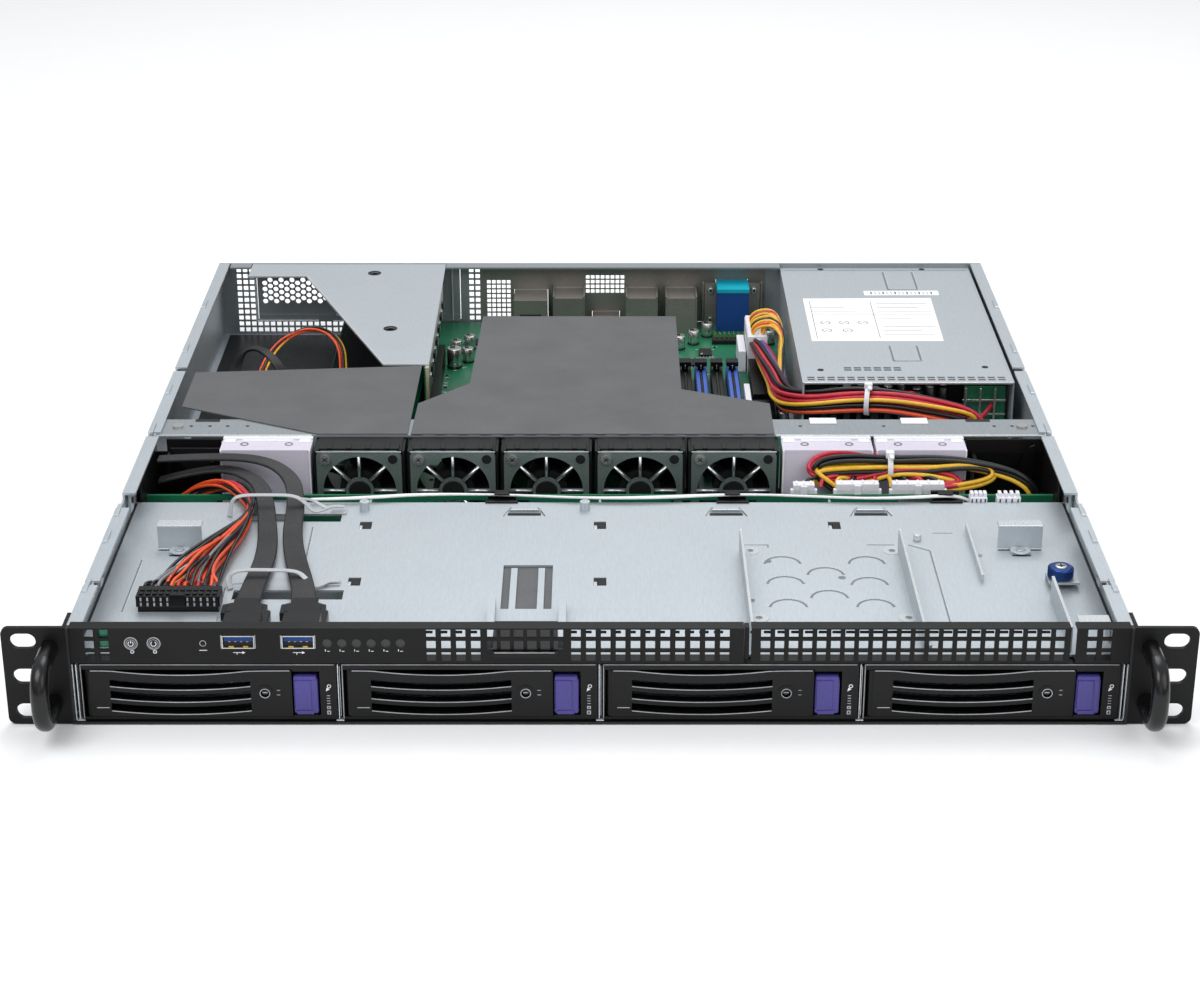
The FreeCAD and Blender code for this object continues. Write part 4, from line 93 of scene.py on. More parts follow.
def make_world():
    """A surround that is white to the eye, and as light is bright above and dim beside."""
    world = bpy.data.worlds.new("studio")
    world.use_nodes = True
    tree = world.node_tree
    tree.nodes.clear()
    path = add(tree, "ShaderNodeLightPath")
    seen = add(tree, "ShaderNodeMath", {0: path.outputs["Is Camera Ray"],
                                        1: path.outputs["Is Transmission Ray"]},
               operation="MAXIMUM")
    facing = add(tree, "ShaderNodeSeparateXYZ",
                 {"Vector": add(tree, "ShaderNodeTexCoord").outputs["Generated"]})
    rise = add(tree, "ShaderNodeMapRange", {"Value": facing.outputs["Z"], "From Min": -0.1,
                                            "From Max": 0.75})
    dome = add(tree, "ShaderNodeMixRGB", {"Fac": rise.outputs[0],
                                          "Color1": (0.13, 0.135, 0.14, 1),
                                          "Color2": (0.86, 0.88, 0.9, 1)})
    glow = add(tree, "ShaderNodeMixRGB", {"Fac": seen.outputs[0],
                                          "Color1": dome.outputs[0],
                                          "Color2": (1, 1, 1, 1)})
    ground = add(tree, "ShaderNodeBackground", {"Color": glow.outputs[0], "Strength": 1.0})
    add(tree, "ShaderNodeOutputWorld", {"Surface": ground.outputs[0]})
    scene.world = world


def make_lamp(name, place, aim, size, power):
    """A soft square lamp."""
    data = bpy.data.lights.new(name, "AREA")
    data.shape = "SQUARE"
    data.size = size
    data.energy = power
    lamp = bpy.data.objects.new(name, data)
    lamp.location = place
    lamp.rotation_euler = (Vector(aim) - Vector(place)).to_track_quat("-Z", "Y").to_euler()
    scene.collection.objects.link(lamp)


make_world()
make_lamp("key", (-0.55, -0.5, 1.15), (0, 0.15, 0), 0.7, 7.0)
make_lamp("fill", (0.9, -0.7, 0.8), (0, 0.15, 0), 0.9, 4.0)
make_lamp("top", (0.1, 0.75, 1.1), (0, 0.25, 0), 0.8, 6.0)
make_lamp("front", (0.0, -1.3, 0.35), (0, 0.0, 0.02), 0.8, 1.0)


# ---------------------------------------------------------------- finishes
def new_finish(name):
    """An empty node material with its shader, output and place in the row frame."""
    made = bpy.data.materials.new(name)
    made.use_nodes = True
    tree = made.node_tree
    tree.nodes.clear()
    shader = add(tree, "ShaderNodeBsdfPrincipled")
    add(tree, "ShaderNodeOutputMaterial", {"Surface": shader.outputs[0]})
    where = add(tree, "ShaderNodeTexCoord").outputs["Object"]
    return made, tree, shader, where


def surface(name, light, dark, grain=1.0, rough=(0.35, 0.5), metallic=0.0, shine=0.5,
            relief=0.0, patch=25.0, stretch=(1, 1, 1)):
    """A finish that drifts between two colours, with a fine grain. Sizes in millimetres."""
    made, tree, shader, where = new_finish(name)
    mapped = add(tree, "ShaderNodeMapping", {"Vector": where, "Scale": stretch})
    fine = add(tree, "ShaderNodeTexNoise", {"Vector": mapped.outputs[0],
                                            "Scale": 1 / (grain * MM), "Detail": 3.0})
    broad = add(tree, "ShaderNodeTexNoise", {"Vector": where, "Scale": 1 / (patch * MM),
                                             "Detail": 2.0})
    both = add(tree, "ShaderNodeMath", {0: fine.outputs[0], 1: broad.outputs[0]},
               operation="ADD")
    spread = {"Value": both.outputs[0], "From Min": 0.7, "From Max": 1.3}
    drift = add(tree, "ShaderNodeMapRange", spread)
    tint = add(tree, "ShaderNodeMixRGB", {"Fac": drift.outputs[0], "Color1": srgb(light),
                                          "Color2": srgb(dark)})
    gloss = add(tree, "ShaderNodeMapRange", {**spread, "To Min": rough[0],
                                             "To Max": rough[1]})
    tree.links.new(tint.outputs[0], shader.inputs["Base Color"])
    tree.links.new(gloss.outputs[0], shader.inputs["Roughness"])
    shader.inputs["Metallic"].default_value = metallic
    shader.inputs["Specular IOR Level"].default_value = shine
    if relief:
        bump = add(tree, "ShaderNodeBump", {"Height": fine.outputs[0], "Strength": 0.35,
                                            "Distance": relief * MM})
        tree.links.new(bump.outputs[0], shader.inputs["Normal"])
    return made


# Rolled sheet: marks drawn out along the rolling direction, and broad patches.
ROLLED = {"patch": 60.0, "stretch": (1, 0.12, 1)}
# Zinc-plated sheet steel: a pale, even grey with faint long rolling marks and a soft shine.
ZINC_LOOK = ("#C0C7CC", "#B3BABF", 0.6, (0.36, 0.46), 0.6)
ZINC = surface("zinc_plated_sheet", *ZINC_LOOK, **ROLLED)
# The same sheet, greyer and less bright: painted shade on the upright rear walls and the fan
# wall.
SHADED_ZINC = surface("zinc_sheet_painted_shade", "#9CA2A6", "#8E9498", 0.6, (0.4, 0.52),
                    0.6, **ROLLED)
# Satin powder coat: near black with a fine pebbled skin.
COAT_COLOUR = "#09090A"
POWDER_BLACK = surface("black_powder_coat", COAT_COLOUR, "#060607", 0.35, (0.4, 0.52),
                       shine=0.26, relief=0.05)
# The same coat on the handles, rubbed smooth by hands.
POWDER_SMOOTH = surface("black_powder_coat_rubbed", "#0A0A0C", "#070708", 0.35, (0.2, 0.28),
                        shine=0.4)
# Moulded ABS in black: a little glossier than the coat, with a very fine spark finish.
ABS_BLACK = surface("moulded_black_abs", "#0B0B0D", "#070708", 0.3, (0.3, 0.42),
                    shine=0.28, relief=0.03)
# Moulded ABS in violet: even colour and a smooth gloss that catches the edges.
ABS_VIOLET = surface("moulded_violet_abs", "#473F8A", "#3D3679", 0.5, (0.25, 0.34))
# Stamped steel guards with a thin grey-green passivation.
PASSIVATED = surface("passivated_guard_steel", "#84908D", "#6E7A77", 0.5, (0.32, 0.45), 0.6)
# Glass-filled PBT of the fans: black and dull.
PBT_BLACK = surface("fan_black_pbt", "#101112", "#0B0B0C", 0.5, (0.45, 0.6),
                    shine=0.3)
# Thin polypropylene sheet of the air ducts: dark warm grey with a leather-like grain.
DUCT_GREY = surface("duct_polypropylene_sheet", "#58585A", "#4E4E50", 0.5, (0.45, 0.6),
                    relief=0.06)
# Natural nylon: milky white, waxy.
NYLON = surface("natural_nylon", "#E9E8EC", "#D8D8DF", 1.0, (0.35, 0.5))
# Tin-plated shells of sockets: bright and slightly cloudy.
TINPLATE = surface("tinplate_shell", "#D6D6D2", "#B9B9B4", 1.2, (0.22, 0.36), 0.95)
# Extruded aluminium fins: bright with lines along the extrusion.
ALUMINIUM = surface("extruded_aluminium", "#D9DBDC", "#C2C5C7", 0.4, (0.28, 0.4), 1.0,
                    stretch=(1, 0.1, 1))
# Blue anodised knob: saturated metal under a clear oxide film.
ANODISED_BLUE = surface("blue_anodised_knob", "#2B4E92", "#203C74", 0.4, (0.25, 0.35), 0.7)
# Solder-masked glass-epoxy board: deep green with a glossy mask.
LAMINATE = surface("solder_masked_laminate", "#1F7350", "#185F43", 0.8, (0.28, 0.4))
# White polypropylene blanks of the empty fan places, faintly lavender.
BLANK_WHITE = surface("blank_white_polypropylene", "#CFC9D6", "#C3BDCB", 1.0, (0.35, 0.5))
# Drawn steel of the socket plate and sockets: warm grey and satin, darker than the zinc as
# painted shade.
SHADED_SOCKET_STEEL = surface("satin_socket_steel_painted_shade", "#9A9690", "#87837E", 0.5, (0.34, 0.46), 0.7,
                    stretch=(0.15, 1, 1))


PAINT_REACH = 3.0


def front_painted(name):
    """Zinc sheet whose edges at the very front carry the black coat of the bezel."""
    made = surface(name, *ZINC_LOOK, **ROLLED)
    tree = made.node_tree
    shader = next(node for node in tree.nodes if node.type == "BSDF_PRINCIPLED")
    place = add(tree, "ShaderNodeSeparateXYZ",
                {"Vector": add(tree, "ShaderNodeTexCoord").outputs["Object"]})
    bare = add(tree, "ShaderNodeMath", {0: place.outputs["Y"], 1: PAINT_REACH * MM},
               operation="GREATER_THAN")
    plated = shader.inputs["Base Color"].links[0].from_socket
    tint = add(tree, "ShaderNodeMixRGB", {"Fac": bare.outputs[0], "Color1": srgb(COAT_COLOUR),
                                          "Color2": plated})
    metal = add(tree, "ShaderNodeMath", {0: bare.outputs[0], 1: ZINC_LOOK[-1]},
                operation="MULTIPLY")
    tree.links.new(tint.outputs[0], shader.inputs["Base Color"])
    tree.links.new(metal.outputs[0], shader.inputs["Metallic"])
    return made


# Zinc-plated sheet with its front edges coated black.
ZINC_PAINTED = front_painted("zinc_sheet_front_painted")

# Which finish each node of the frame carries.
NODE_FINISH = (
    (ZINC, ["drive_deck", "deck_fittings", "riser_cage", "psu_case"]),
    (ZINC_PAINTED, ["chassis_tray", "bay_partitions"]),
    (SHADED_ZINC, ["rear_panel", "expansion_cover", "fan_wall"]),
    (POWDER_BLACK, ["front_bezel", "slim_bay_blank", "rack_ears"]),
    (POWDER_SMOOTH, ["rack_handles"]),
    (SHADED_SOCKET_STEEL, ["io_plate", "rear_ports"]),
    (BLANK_WHITE, ["fan_fillers"]),
    (ABS_BLACK, ["side_baffles", "psu_inlet", "board_sockets", "info_tag",
                 "power_button", "identify_button", "reset_button",
                 "signal_cables", "power_cables"]
     + [f"{kind}_{i}" for kind in ("drive_tray", "tray_lever", "memory_latch")
        for i in range(1, 5)]),
    (ABS_VIOLET, [f"tray_button_{i}" for i in range(1, 5)]),
    (PASSIVATED, ["fan_guards"]),
    (PBT_BLACK, ["fan_frames", "psu_fan_frame", "psu_fan_rotor"]
     + [f"fan_rotor_{i}" for i in range(1, 6)]),
    (DUCT_GREY, ["air_shrouds"]),
    (NYLON, ["wire_straps"]),
    (TINPLATE, ["screws"]),
    (ALUMINIUM, ["cpu_cooler"]),
    (ANODISED_BLUE, ["thumbscrew"]),
    (LAMINATE, ["motherboard", "front_io_board", "drive_backplane", "riser_card",
                "psu_core"]),
)
for finish_made, names in NODE_FINISH:
    for node_name in names:
        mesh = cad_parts[node_name].data
        mesh.materials.clear()
        mesh.materials.append(finish_made)


# ---------------------------------------------------------------- finishes of the dressing
def insulation(name, light, dark):
    """Extruded PVC round a wire: even colour, soft gloss."""
    return surface(name, light, dark, 1.5, (0.3, 0.42), patch=12.0)


WIRE_RED = insulation("pvc_wire_red", "#C8283F", "#A81C33")
WIRE_BLACK = insulation("pvc_wire_black", "#121214", "#0B0B0D")
WIRE_YELLOW = insulation("pvc_wire_yellow", "#E8B930", "#D19F1E")
WIRE_ORANGE = insulation("pvc_wire_orange", "#E2562A", "#C9431B")
WIRE_BLUE = insulation("pvc_wire_blue", "#2A3F9E", "#1F2F7E")
WIRE_VIOLET = insulation("pvc_wire_violet", "#6E4E9E", "#573B84")
WIRE_GREY = insulation("pvc_wire_grey", "#7E8084", "#66686C")
WIRE_WHITE = insulation("pvc_wire_white", "#ECECEC", "#DADADA")
# Woven polyester sleeve round the flat data leads: charcoal with a fine crosswise weave.
SLEEVE = surface("charcoal_woven_sleeve", "#222224", "#161617", 0.5, (0.5, 0.65),
                 relief=0.15, stretch=(0.3, 1, 1))
# The blue memory sockets: glass-filled nylon, duller than ABS.
NYLON_BLUE = surface("glass_filled_blue_nylon", "#3D63C4", "#3156B0", 0.4, (0.4, 0.5))
# Teal and royal blue shells of the two D-shaped sockets.
ABS_TEAL = surface("moulded_teal_abs", "#14A3B8", "#1093A8", 0.4, (0.5, 0.6), shine=0.12)
ABS_ROYAL = surface("moulded_royal_abs", "#1C4585", "#173A73", 0.4, (0.4, 0.5), shine=0.2)
# Grey on moulded black ABS: small grey marks, and painted highlight along rims and rib edges
# that face the light.
ABS_MARKS_AND_HIGHLIGHT = surface("grey_abs_marks_and_painted_highlight", "#B4B5B9", "#909196", 3.0, (0.2, 0.3))
# Gold flash over nickel on contacts.
GOLD = surface("gold_flashed_contact", "#D9B45A", "#BF9840", 0.5, (0.22, 0.32), 1.0)
# Matt coated paper of blank labels.
LABEL = surface("coated_label_paper", "#F3F3F3", "#EBEBEC", 2.0, (0.45, 0.55))
# Grey printing ink on labels, and the white one on the mask of the board: flat and dull.
INK = surface("grey_printing_ink", "#6C6E72", "#5A5C60", 1.0, (0.5, 0.6))
SILK = surface("white_board_ink", "#DDE2DC", "#CCD2CB", 0.8, (0.5, 0.6))
# Sleeve of capacitors: thin glossy black film over an aluminium can.
CAN_FILM = surface("capacitor_black_film", "#131316", "#0D0D10", 0.5, (0.2, 0.3), shine=0.4)
# Moulded epoxy of chips: dull charcoal. The same charcoal is painted shadow under the lances
# and the feet of the lid hooks, and painted shade in holes and recesses.
EPOXY_AND_SHADE = surface("chip_epoxy_and_painted_shade", "#151617", "#0F1011", 0.3, (0.45, 0.6), shine=0.35)
# Moulded ABS in green behind the end vents: even colour, semi-gloss.
ABS_GREEN = surface("moulded_green_abs", "#2E8B6B", "#23755A", 0.4, (0.3, 0.4))


# ---------------------------------------------------------------- making pieces
WELD = 0.004  # corners of a solid nearer than this, in millimetres, are one
SHARP = 35    # degrees above which an edge stays sharp


class Piece:
    """Gathers bevelled parts, in millimetres, into one mesh with several finishes."""

    def __init__(self, name, *finishes):
        self.name, self.finishes, self.mesh = name, finishes, bmesh.new()

    def keep(self, faces, finish, smooth):
        """Note the finish and shading of new faces."""
        for face in faces:
            face.material_index = finish
            face.smooth = smooth

    def block(self, low, high, finish=0, edge=0.15, turn=None):
        """A box with softened edges; turn is a matrix about its middle."""
        low, high = Vector(low), Vector(high)
        middle, half = (low + high) / 2, (high - low) / 2
        made = bmesh.ops.create_cube(self.mesh, size=2.0)["verts"]
        for vertex in made:
            spot = Vector([vertex.co[k] * half[k] for k in range(3)])
            vertex.co = (turn @ spot if turn else spot) + middle
        # A dict keeps the order in which edges and faces are met, the same in every run.
        edges = list(dict.fromkeys(e for v in made for e in v.link_edges))
        faces = list(dict.fromkeys(f for v in made for f in v.link_faces))
        # The bevel's new faces take the finish of the old ones, so it is set first.
        self.keep(faces, finish, False)
        if edge:
            edge = min(edge, 0.9 * min(half))
            bevelled = bmesh.ops.bevel(self.mesh, geom=edges, offset=edge, segments=2,
                                       affect="EDGES", profile=0.5)
            self.keep([f for f in faces if f.is_valid] + bevelled["faces"], finish, False)
        return self

    def blocks(self, rows, finish=0, edge=0.15, shift=(0, 0, 0)):
        """Blocks from rows of their lowest and highest X, Y and Z, all moved by a shift."""
        for row in rows:
            low, high = zip(*((row[2 * k] + shift[k], row[2 * k + 1] + shift[k])
                              for k in range(3)))
            self.block(low, high, finish, edge)
        return self

    def rod(self, start, end, radius, finish=0, sides=20, edge=0.0):
        """A round bar between two points, its rims softened."""
        start, end = Vector(start), Vector(end)
        turn = (end - start).to_track_quat("Z", "Y").to_matrix().to_4x4()
        length = (end - start).length
        rings = [(0, radius), (length, radius)]
        if edge:
            rings = [(0, radius - edge), (edge, radius), (length - edge, radius),
                     (length, radius - edge)]
        return self.lathe(Matrix.Translation(start) @ turn, rings, finish, sides)

    def lathe(self, frame_of, rings, finish=0, sides=20):
        """A turned form: (height, radius) rings, closed at both ends."""
        loops = []
        for height, radius in rings:
            loops.append([self.mesh.verts.new(frame_of @ Vector(
                (radius * math.cos(2 * math.pi * k / sides),
                 radius * math.sin(2 * math.pi * k / sides), height)))
                for k in range(sides)])
        faces = []
        for lower, upper in zip(loops, loops[1:]):
            for k in range(sides):
                nxt = (k + 1) % sides
                faces.append(self.mesh.faces.new((lower[k], lower[nxt], upper[nxt],
                                                  upper[k])))
        self.keep(faces, finish, True)
        caps = [self.mesh.faces.new(loops[0][::-1]), self.mesh.faces.new(loops[-1])]
        self.keep(caps, finish, False)
        return self

    def washer(self, centre, axis, inner, outer, height, finish=0, sides=28, span=None):
        """A flat ring, or a part of one, rising along an axis from its centre."""
        turn = Matrix.Translation(Vector(centre)) @ Vector(axis).to_track_quat(
            "Z", "Y").to_matrix().to_4x4()
        first, last = (math.radians(a) for a in span or (0, 360))
        steps = sides if span is None else sides + 1
        rings = []
        for radius, level in ((inner, 0), (outer, 0), (outer, height), (inner, height)):
            rings.append([self.mesh.verts.new(turn @ Vector(
                (radius * math.cos(first + (last - first) * k / sides),
                 radius * math.sin(first + (last - first) * k / sides), level)))
                for k in range(steps)])
        faces = []
        for k in range(sides):
            nxt = (k + 1) % steps
            for a, b in ((0, 1), (1, 2), (2, 3), (3, 0)):
                faces.append(self.mesh.faces.new((rings[a][k], rings[a][nxt],
                                                  rings[b][nxt], rings[b][k])))
        if span:
            faces.append(self.mesh.faces.new([ring[0] for ring in rings]))
            faces.append(self.mesh.faces.new([ring[-1] for ring in rings][::-1]))
        self.keep(faces, finish, False)
        return self

    def prism(self, outline, low, high, finish=0, turn=None):
        """A flat outline in X and Y raised from one level to another."""
        turn = turn or Matrix.Identity(4)
        bottom = [self.mesh.verts.new(turn @ Vector((x, y, low))) for x, y in outline]
        top = [self.mesh.verts.new(turn @ Vector((x, y, high))) for x, y in outline]
        faces = [self.mesh.faces.new(bottom[::-1]), self.mesh.faces.new(top)]
        for k in range(len(outline)):
            nxt = (k + 1) % len(outline)
            faces.append(self.mesh.faces.new((bottom[k], bottom[nxt], top[nxt], top[k])))
        self.keep(faces, finish, False)
        return self

    def ribbon(self, route, width, thickness, finish=0, end_width=None):
        """A flat strip swept along a smooth line, its width changing evenly."""
        guide = bpy.data.curves.new("ribbon_guide", "CURVE")
        guide.dimensions = "3D"
        guide.resolution_u = 8
        thread(guide, route)
        holder = bpy.data.objects.new("ribbon_guide", guide)
        scene.collection.objects.link(holder)
        bpy.context.view_layer.update()
        spots = [v.co / MM for v in bpy.data.meshes.new_from_object(holder).vertices]
        bpy.data.objects.remove(holder)
        deep = thickness / 2
        loops = []
        for step, here in enumerate(spots):
            share = step / (len(spots) - 1)
            half = (width + ((end_width or width) - width) * share) / 2
            ahead = spots[min(step + 1, len(spots) - 1)] - spots[max(step - 1, 0)]
            side = ahead.cross(Vector(UP)).normalized()
            up = side.cross(ahead).normalized()
            flat, lip = half - deep * 0.6, deep * 0.4
            ring = [(-half, -lip), (-flat, -deep), (flat, -deep), (half, -lip),
                    (half, lip), (flat, deep), (-flat, deep), (-half, lip)]
            loops.append([self.mesh.verts.new(here + side * a + up * b) for a, b in ring])
        faces = [self.mesh.faces.new((lower[k], lower[k - 7], upper[k - 7], upper[k]))
                 for lower, upper in zip(loops, loops[1:]) for k in range(8)]
        faces += [self.mesh.faces.new(loops[0][::-1]), self.mesh.faces.new(loops[-1])]
        self.keep(faces, finish, False)
        return self

    def done(self, body=ROOT, slot="dark_plastic", stands_for=()):
        """Make the object, in metres, riding on its body."""
        bmesh.ops.recalc_face_normals(self.mesh, faces=self.mesh.faces)
        bmesh.ops.scale(self.mesh, vec=(MM, MM, MM), verts=self.mesh.verts)
        data = bpy.data.meshes.new(self.name)
        self.mesh.to_mesh(data)
        self.mesh.free()
        for finish in self.finishes:
            data.materials.append(finish)
        made = bpy.data.objects.new(self.name, data)
        scene.collection.objects.link(made)
        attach(made, body)
        if stands_for:
            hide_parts(*stands_for)


def always(low, high):
    """A rule that holds for every solid."""
    return True


def wide(limit):
    """A rule for solids wider than a limit in X, in millimetres."""
    return lambda low, high: high[0] - low[0] > limit


def between(low_x, high_x):
    """A rule for solids whose middle lies between two places in X."""
    return lambda low, high: low_x < (low[0] + high[0]) / 2 < high_x


def recast(node, rules):
    """Stands for a CAD node: the same solids, each with a finish of its own.

    Each rule is a finish and a test of a solid's lowest and highest corners, in
    millimetres. The first rule that holds is used.
    """
    mesh = bmesh.new()
    mesh.from_mesh(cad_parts[node].data)
    bmesh.ops.remove_doubles(mesh, verts=mesh.verts, dist=WELD * MM)
    seen = set()
    for first in mesh.verts:
        if first in seen:
            continue
        island, queue = {first}, [first]
        while queue:
            for link in queue.pop().link_edges:
                for vertex in link.verts:
                    if vertex not in island:
                        island.add(vertex)
                        queue.append(vertex)
        seen |= island
        low = [min(v.co[k] for v in island) / MM for k in range(3)]
        high = [max(v.co[k] for v in island) / MM for k in range(3)]
        index = next(i for i, (_, test) in enumerate(rules) if test(low, high))
        for face in {f for v in island for f in v.link_faces}:
            face.material_index = index
            face.smooth = True
    data = bpy.data.meshes.new(f"{node}_dressed")
    mesh.to_mesh(data)
    mesh.free()
    for finish, _ in rules:
        data.materials.append(finish)
    made = bpy.data.objects.new(f"{node}_dressed", data)
    scene.collection.objects.link(made)
    split = made.modifiers.new("flats", "EDGE_SPLIT")
    split.split_angle = math.radians(SHARP)
    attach(made, ROOT)
    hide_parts(node)


def thread(data, points, finish=0):
    """A smooth line on a curve, through points in millimetres."""
    line = data.splines.new("NURBS")
    line.points.add(len(points) - 1)
    for knot, point in zip(line.points, points):
        knot.co = (*(Vector(point) * MM), 1.0)
    line.order_u = 3
    line.use_endpoint_u = True
    line.material_index = finish


def wires(name, finishes, runs, radius, stands_for=(), body=ROOT):
    """Smooth round wires through points in millimetres; a run is (finish number, points)."""
    data = bpy.data.curves.new(name, "CURVE")
    data.dimensions = "3D"
    data.bevel_depth = radius * MM
    data.bevel_resolution = 2
    data.resolution_u = 5
    data.use_fill_caps = True
    for finish in finishes:
        data.materials.append(finish)
    for finish, points in runs:
        thread(data, points, finish)
    made = bpy.data.objects.new(name, data)
    scene.collection.objects.link(made)
    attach(made, body)
    if stands_for:
        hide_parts(*stands_for)


GOLDEN_ANGLE = 2.39996


def loom(route, spreads, count, starts, wobble, twist):
    """Points of several wires that run together along a route.

    Each wire keeps its seat in a sunflower pattern, widened by the spread at each point of
    the route. It turns by the twist from point to point and strays by the wobble.
    """
    route = [Vector(point) for point in route]
    runs = []
    for index in range(count):
        seat = math.sqrt((index + 0.5) / count)
        angle = index * GOLDEN_ANGLE
        points = [Vector(starts[index])] if starts else []
        for step, here in enumerate(route):
            ahead = route[min(step + 1, len(route) - 1)] - route[max(step - 1, 0)]
            side = ahead.cross(Vector(UP))
            side = side.normalized() if side.length > 0.01 else Vector((1, 0, 0))
            up = side.cross(ahead).normalized()
            turn = angle + twist * step
            reach = spreads[step] * seat
            across, rise = side * (reach * math.cos(turn)), up * (reach * math.sin(turn))
            stray = Vector([random.uniform(-wobble, wobble) for _ in range(3)])
            points.append(here + across + rise + stray)
        runs.append(points)
    return runs


# ---------------------------------------------------------------- wiring
def plug_shape(piece, low, high, finish, ribs=0):
    """A moulded connector: a body, a latch on its front and raised ribs."""
    piece.block(low, high, finish, 0.4)
    (x0, y0, z0), (x1, y1, z1) = low, high
    middle = (x0 + x1) / 2
    piece.block((middle - 1.6, y0 - 0.7, z0 + 0.3 * (z1 - z0)),
                (middle + 1.6, y0 + 0.3, z1 - 0.6), finish, 0.2)
    for k in range(ribs):
        x = x0 + (k + 0.5) * (x1 - x0) / ribs
        piece.block((x - 0.45, y0 + 0.6, z1 - 0.2), (x + 0.45, y1 - 0.6, z1 + 0.5), finish)


def cable_tie(piece, centre, axis, radius, finish):
    """A nylon tie: a band round a bundle, its head and a cut tail."""
    centre, axis = Vector(centre), Vector(axis).normalized()
    piece.washer(centre - axis * 1.2, axis, radius - 0.1, radius + 0.9, 2.4, finish)
    head = centre + Vector((0, 0, radius + 0.6))
    piece.block(head - Vector((2.0, 1.8, 1.0)), head + Vector((2.0, 1.8, 2.2)), finish, 0.4)
    piece.block(head + Vector((-0.6, -5.5, 0.2)), head + Vector((1.4, -1.2, 1.2)), finish, 0.2)


# The wide header of the front panel, with two rows of pins.
HEADER_X, HEADER_Y = -177.0, 50.5
PINS, PIN_PITCH = 12, 2.8
FIRST_PIN = HEADER_X - 15.4
# The leads lie on the deck, whose rear edge is here.
LEAD_FLOOR, DECK_BACK = 29.6, 158
# Nylon bands over the leads: grey with age, semi-gloss.
BAND = surface("aged_grey_nylon", "#B4B7BA", "#A4A7AA", 1.0, (0.3, 0.42))


def make_panel_leads():
    """Twenty-four thin leads from the wide header, drawn together under the rear strap."""
    finishes = (WIRE_ORANGE, WIRE_BLACK, WIRE_RED, WIRE_GREY, WIRE_YELLOW)
    pattern = [1, 3, 1, 0, 4, 0, 1, 0, 3, 0, 1, 0, 1, 1, 3, 1, 0, 2, 0, 1, 2, 1, 0, 1]
    route = [(-176, 66, 34.0), (-173, 82, 34.5), (-168, 98, 33.9), (-162.5, 116, 33.6),
             (-159, 132, 33.4), (-158.5, 145, 33.2), (-162.5, 158, 33.2),
             (-172, 171, 33.6), (-186, 179, 27), (-198, 182, 17), (-207, 183, 8)]
    spreads = [11.5, 9.5, 7.8, 6.6, 5.6, 4.4, 4.6, 4.8, 4.4, 4.0, 3.6]
    runs = []
    for index in range(2 * PINS):
        column, row = index % PINS, index // PINS
        x = FIRST_PIN + column * PIN_PITCH
        share = (column - 5.5) / 5.5
        points = [(x, HEADER_Y + 4.0, 34.0 + 1.8 * row), (x, HEADER_Y + 8.5, 34.8 + 1.8 * row)]
        for step, (centre, spread) in enumerate(zip(route, spreads)):
            swing = 0.7 * step
            across = spread * (share * math.cos(swing * 0.5) + 0.15 * (row - 0.5))
            rise = 0.42 * spread * math.sin(index * 2.4 + swing) + 0.6 * row
            low = LEAD_FLOOR if centre[1] < DECK_BACK else 0.0
            lag = 0.25 * across if centre[1] > 165 else 0.0
            points.append((centre[0] + across + random.uniform(-0.5, 0.5),
                           centre[1] + random.uniform(-0.6, 0.6) - lag,
                           max(low, centre[2] - 1.2 + rise)))
        runs.append((pattern[index], points))
    wires("panel_leads", finishes, runs, 0.75, stands_for=("signal_cables",))
    header = Piece("panel_lead_plug", ABS_BLACK, ABS_MARKS_AND_HIGHLIGHT)
    header.block((HEADER_X - 17.6, HEADER_Y - 6.6, 31.2),
                 (HEADER_X + 17.6, HEADER_Y + 3.8, 36.4), 0, 0.4)
    for row in range(2):
        for column in range(PINS):
            x = FIRST_PIN + column * PIN_PITCH
            y = HEADER_Y - 4.2 + row * 3.6
            header.block((x - 1.0, y - 1.1, 36.3), (x + 1.0, y + 1.1, 37.0), 0, 0.2)
            header.block((x - 0.4, HEADER_Y - 6.9, 31.9 + 2.3 * row),
                         (x + 0.4, HEADER_Y - 6.5, 33.4 + 2.3 * row), 1, 0.1)
    header.block((HEADER_X - 3.2, HEADER_Y - 7.8, 32.0),
                 (HEADER_X + 3.2, HEADER_Y - 6.4, 37.6), 0, 0.3)
    header.done(slot="black_plastic")


def make_data_leads():
    """Two flat sleeved data leads, wide at their plugs and narrower behind."""
    leads = Piece("data_leads", SLEEVE)
    routes = ([(-148.5, 44, 30.8), (-148.2, 58, 31.2), (-147.0, 72, 31.8), (-146.0, 90, 31.4),
               (-147.0, 110, 31.2), (-149.5, 128, 31.6), (-152.0, 146, 32.4),
               (-157, 166, 35.5), (-172, 181, 36), (-190, 185, 33), (-207, 185.5, 28)],
              [(-124.5, 44, 30.8), (-125.6, 58, 31.2), (-129.0, 74, 31.8), (-133, 92, 31.4),
               (-136.5, 112, 31.2), (-138.0, 130, 31.6), (-138.5, 147, 32.4),
               (-142, 168, 37), (-156, 182, 40), (-180, 185, 40.5), (-207, 186, 38.5)])
    for route in routes:
        leads.ribbon(route, 10.5, 1.6, end_width=6.5)
    leads.done(slot="cable_sheath")
    plugs = Piece("data_plugs", ABS_BLACK)
    for centre in (-148.8, -124.2):
        plugs.prism([(centre - 9.4, 36.6), (centre + 9.4, 36.6), (centre + 9.4, 44.5),
                     (centre + 5.6, 46.5), (centre - 5.6, 46.5), (centre - 9.4, 44.5)],
                    28.6, 32.2, 0)
        plugs.block((centre - 5.4, 45.5, 29.4), (centre + 5.4, 52.0, 32.0), 0, 0.5)
        plugs.block((centre - 7.6, 37.4, 32.0), (centre + 7.6, 43.6, 32.6), 0, 0.3)
    plugs.done(slot="black_plastic")


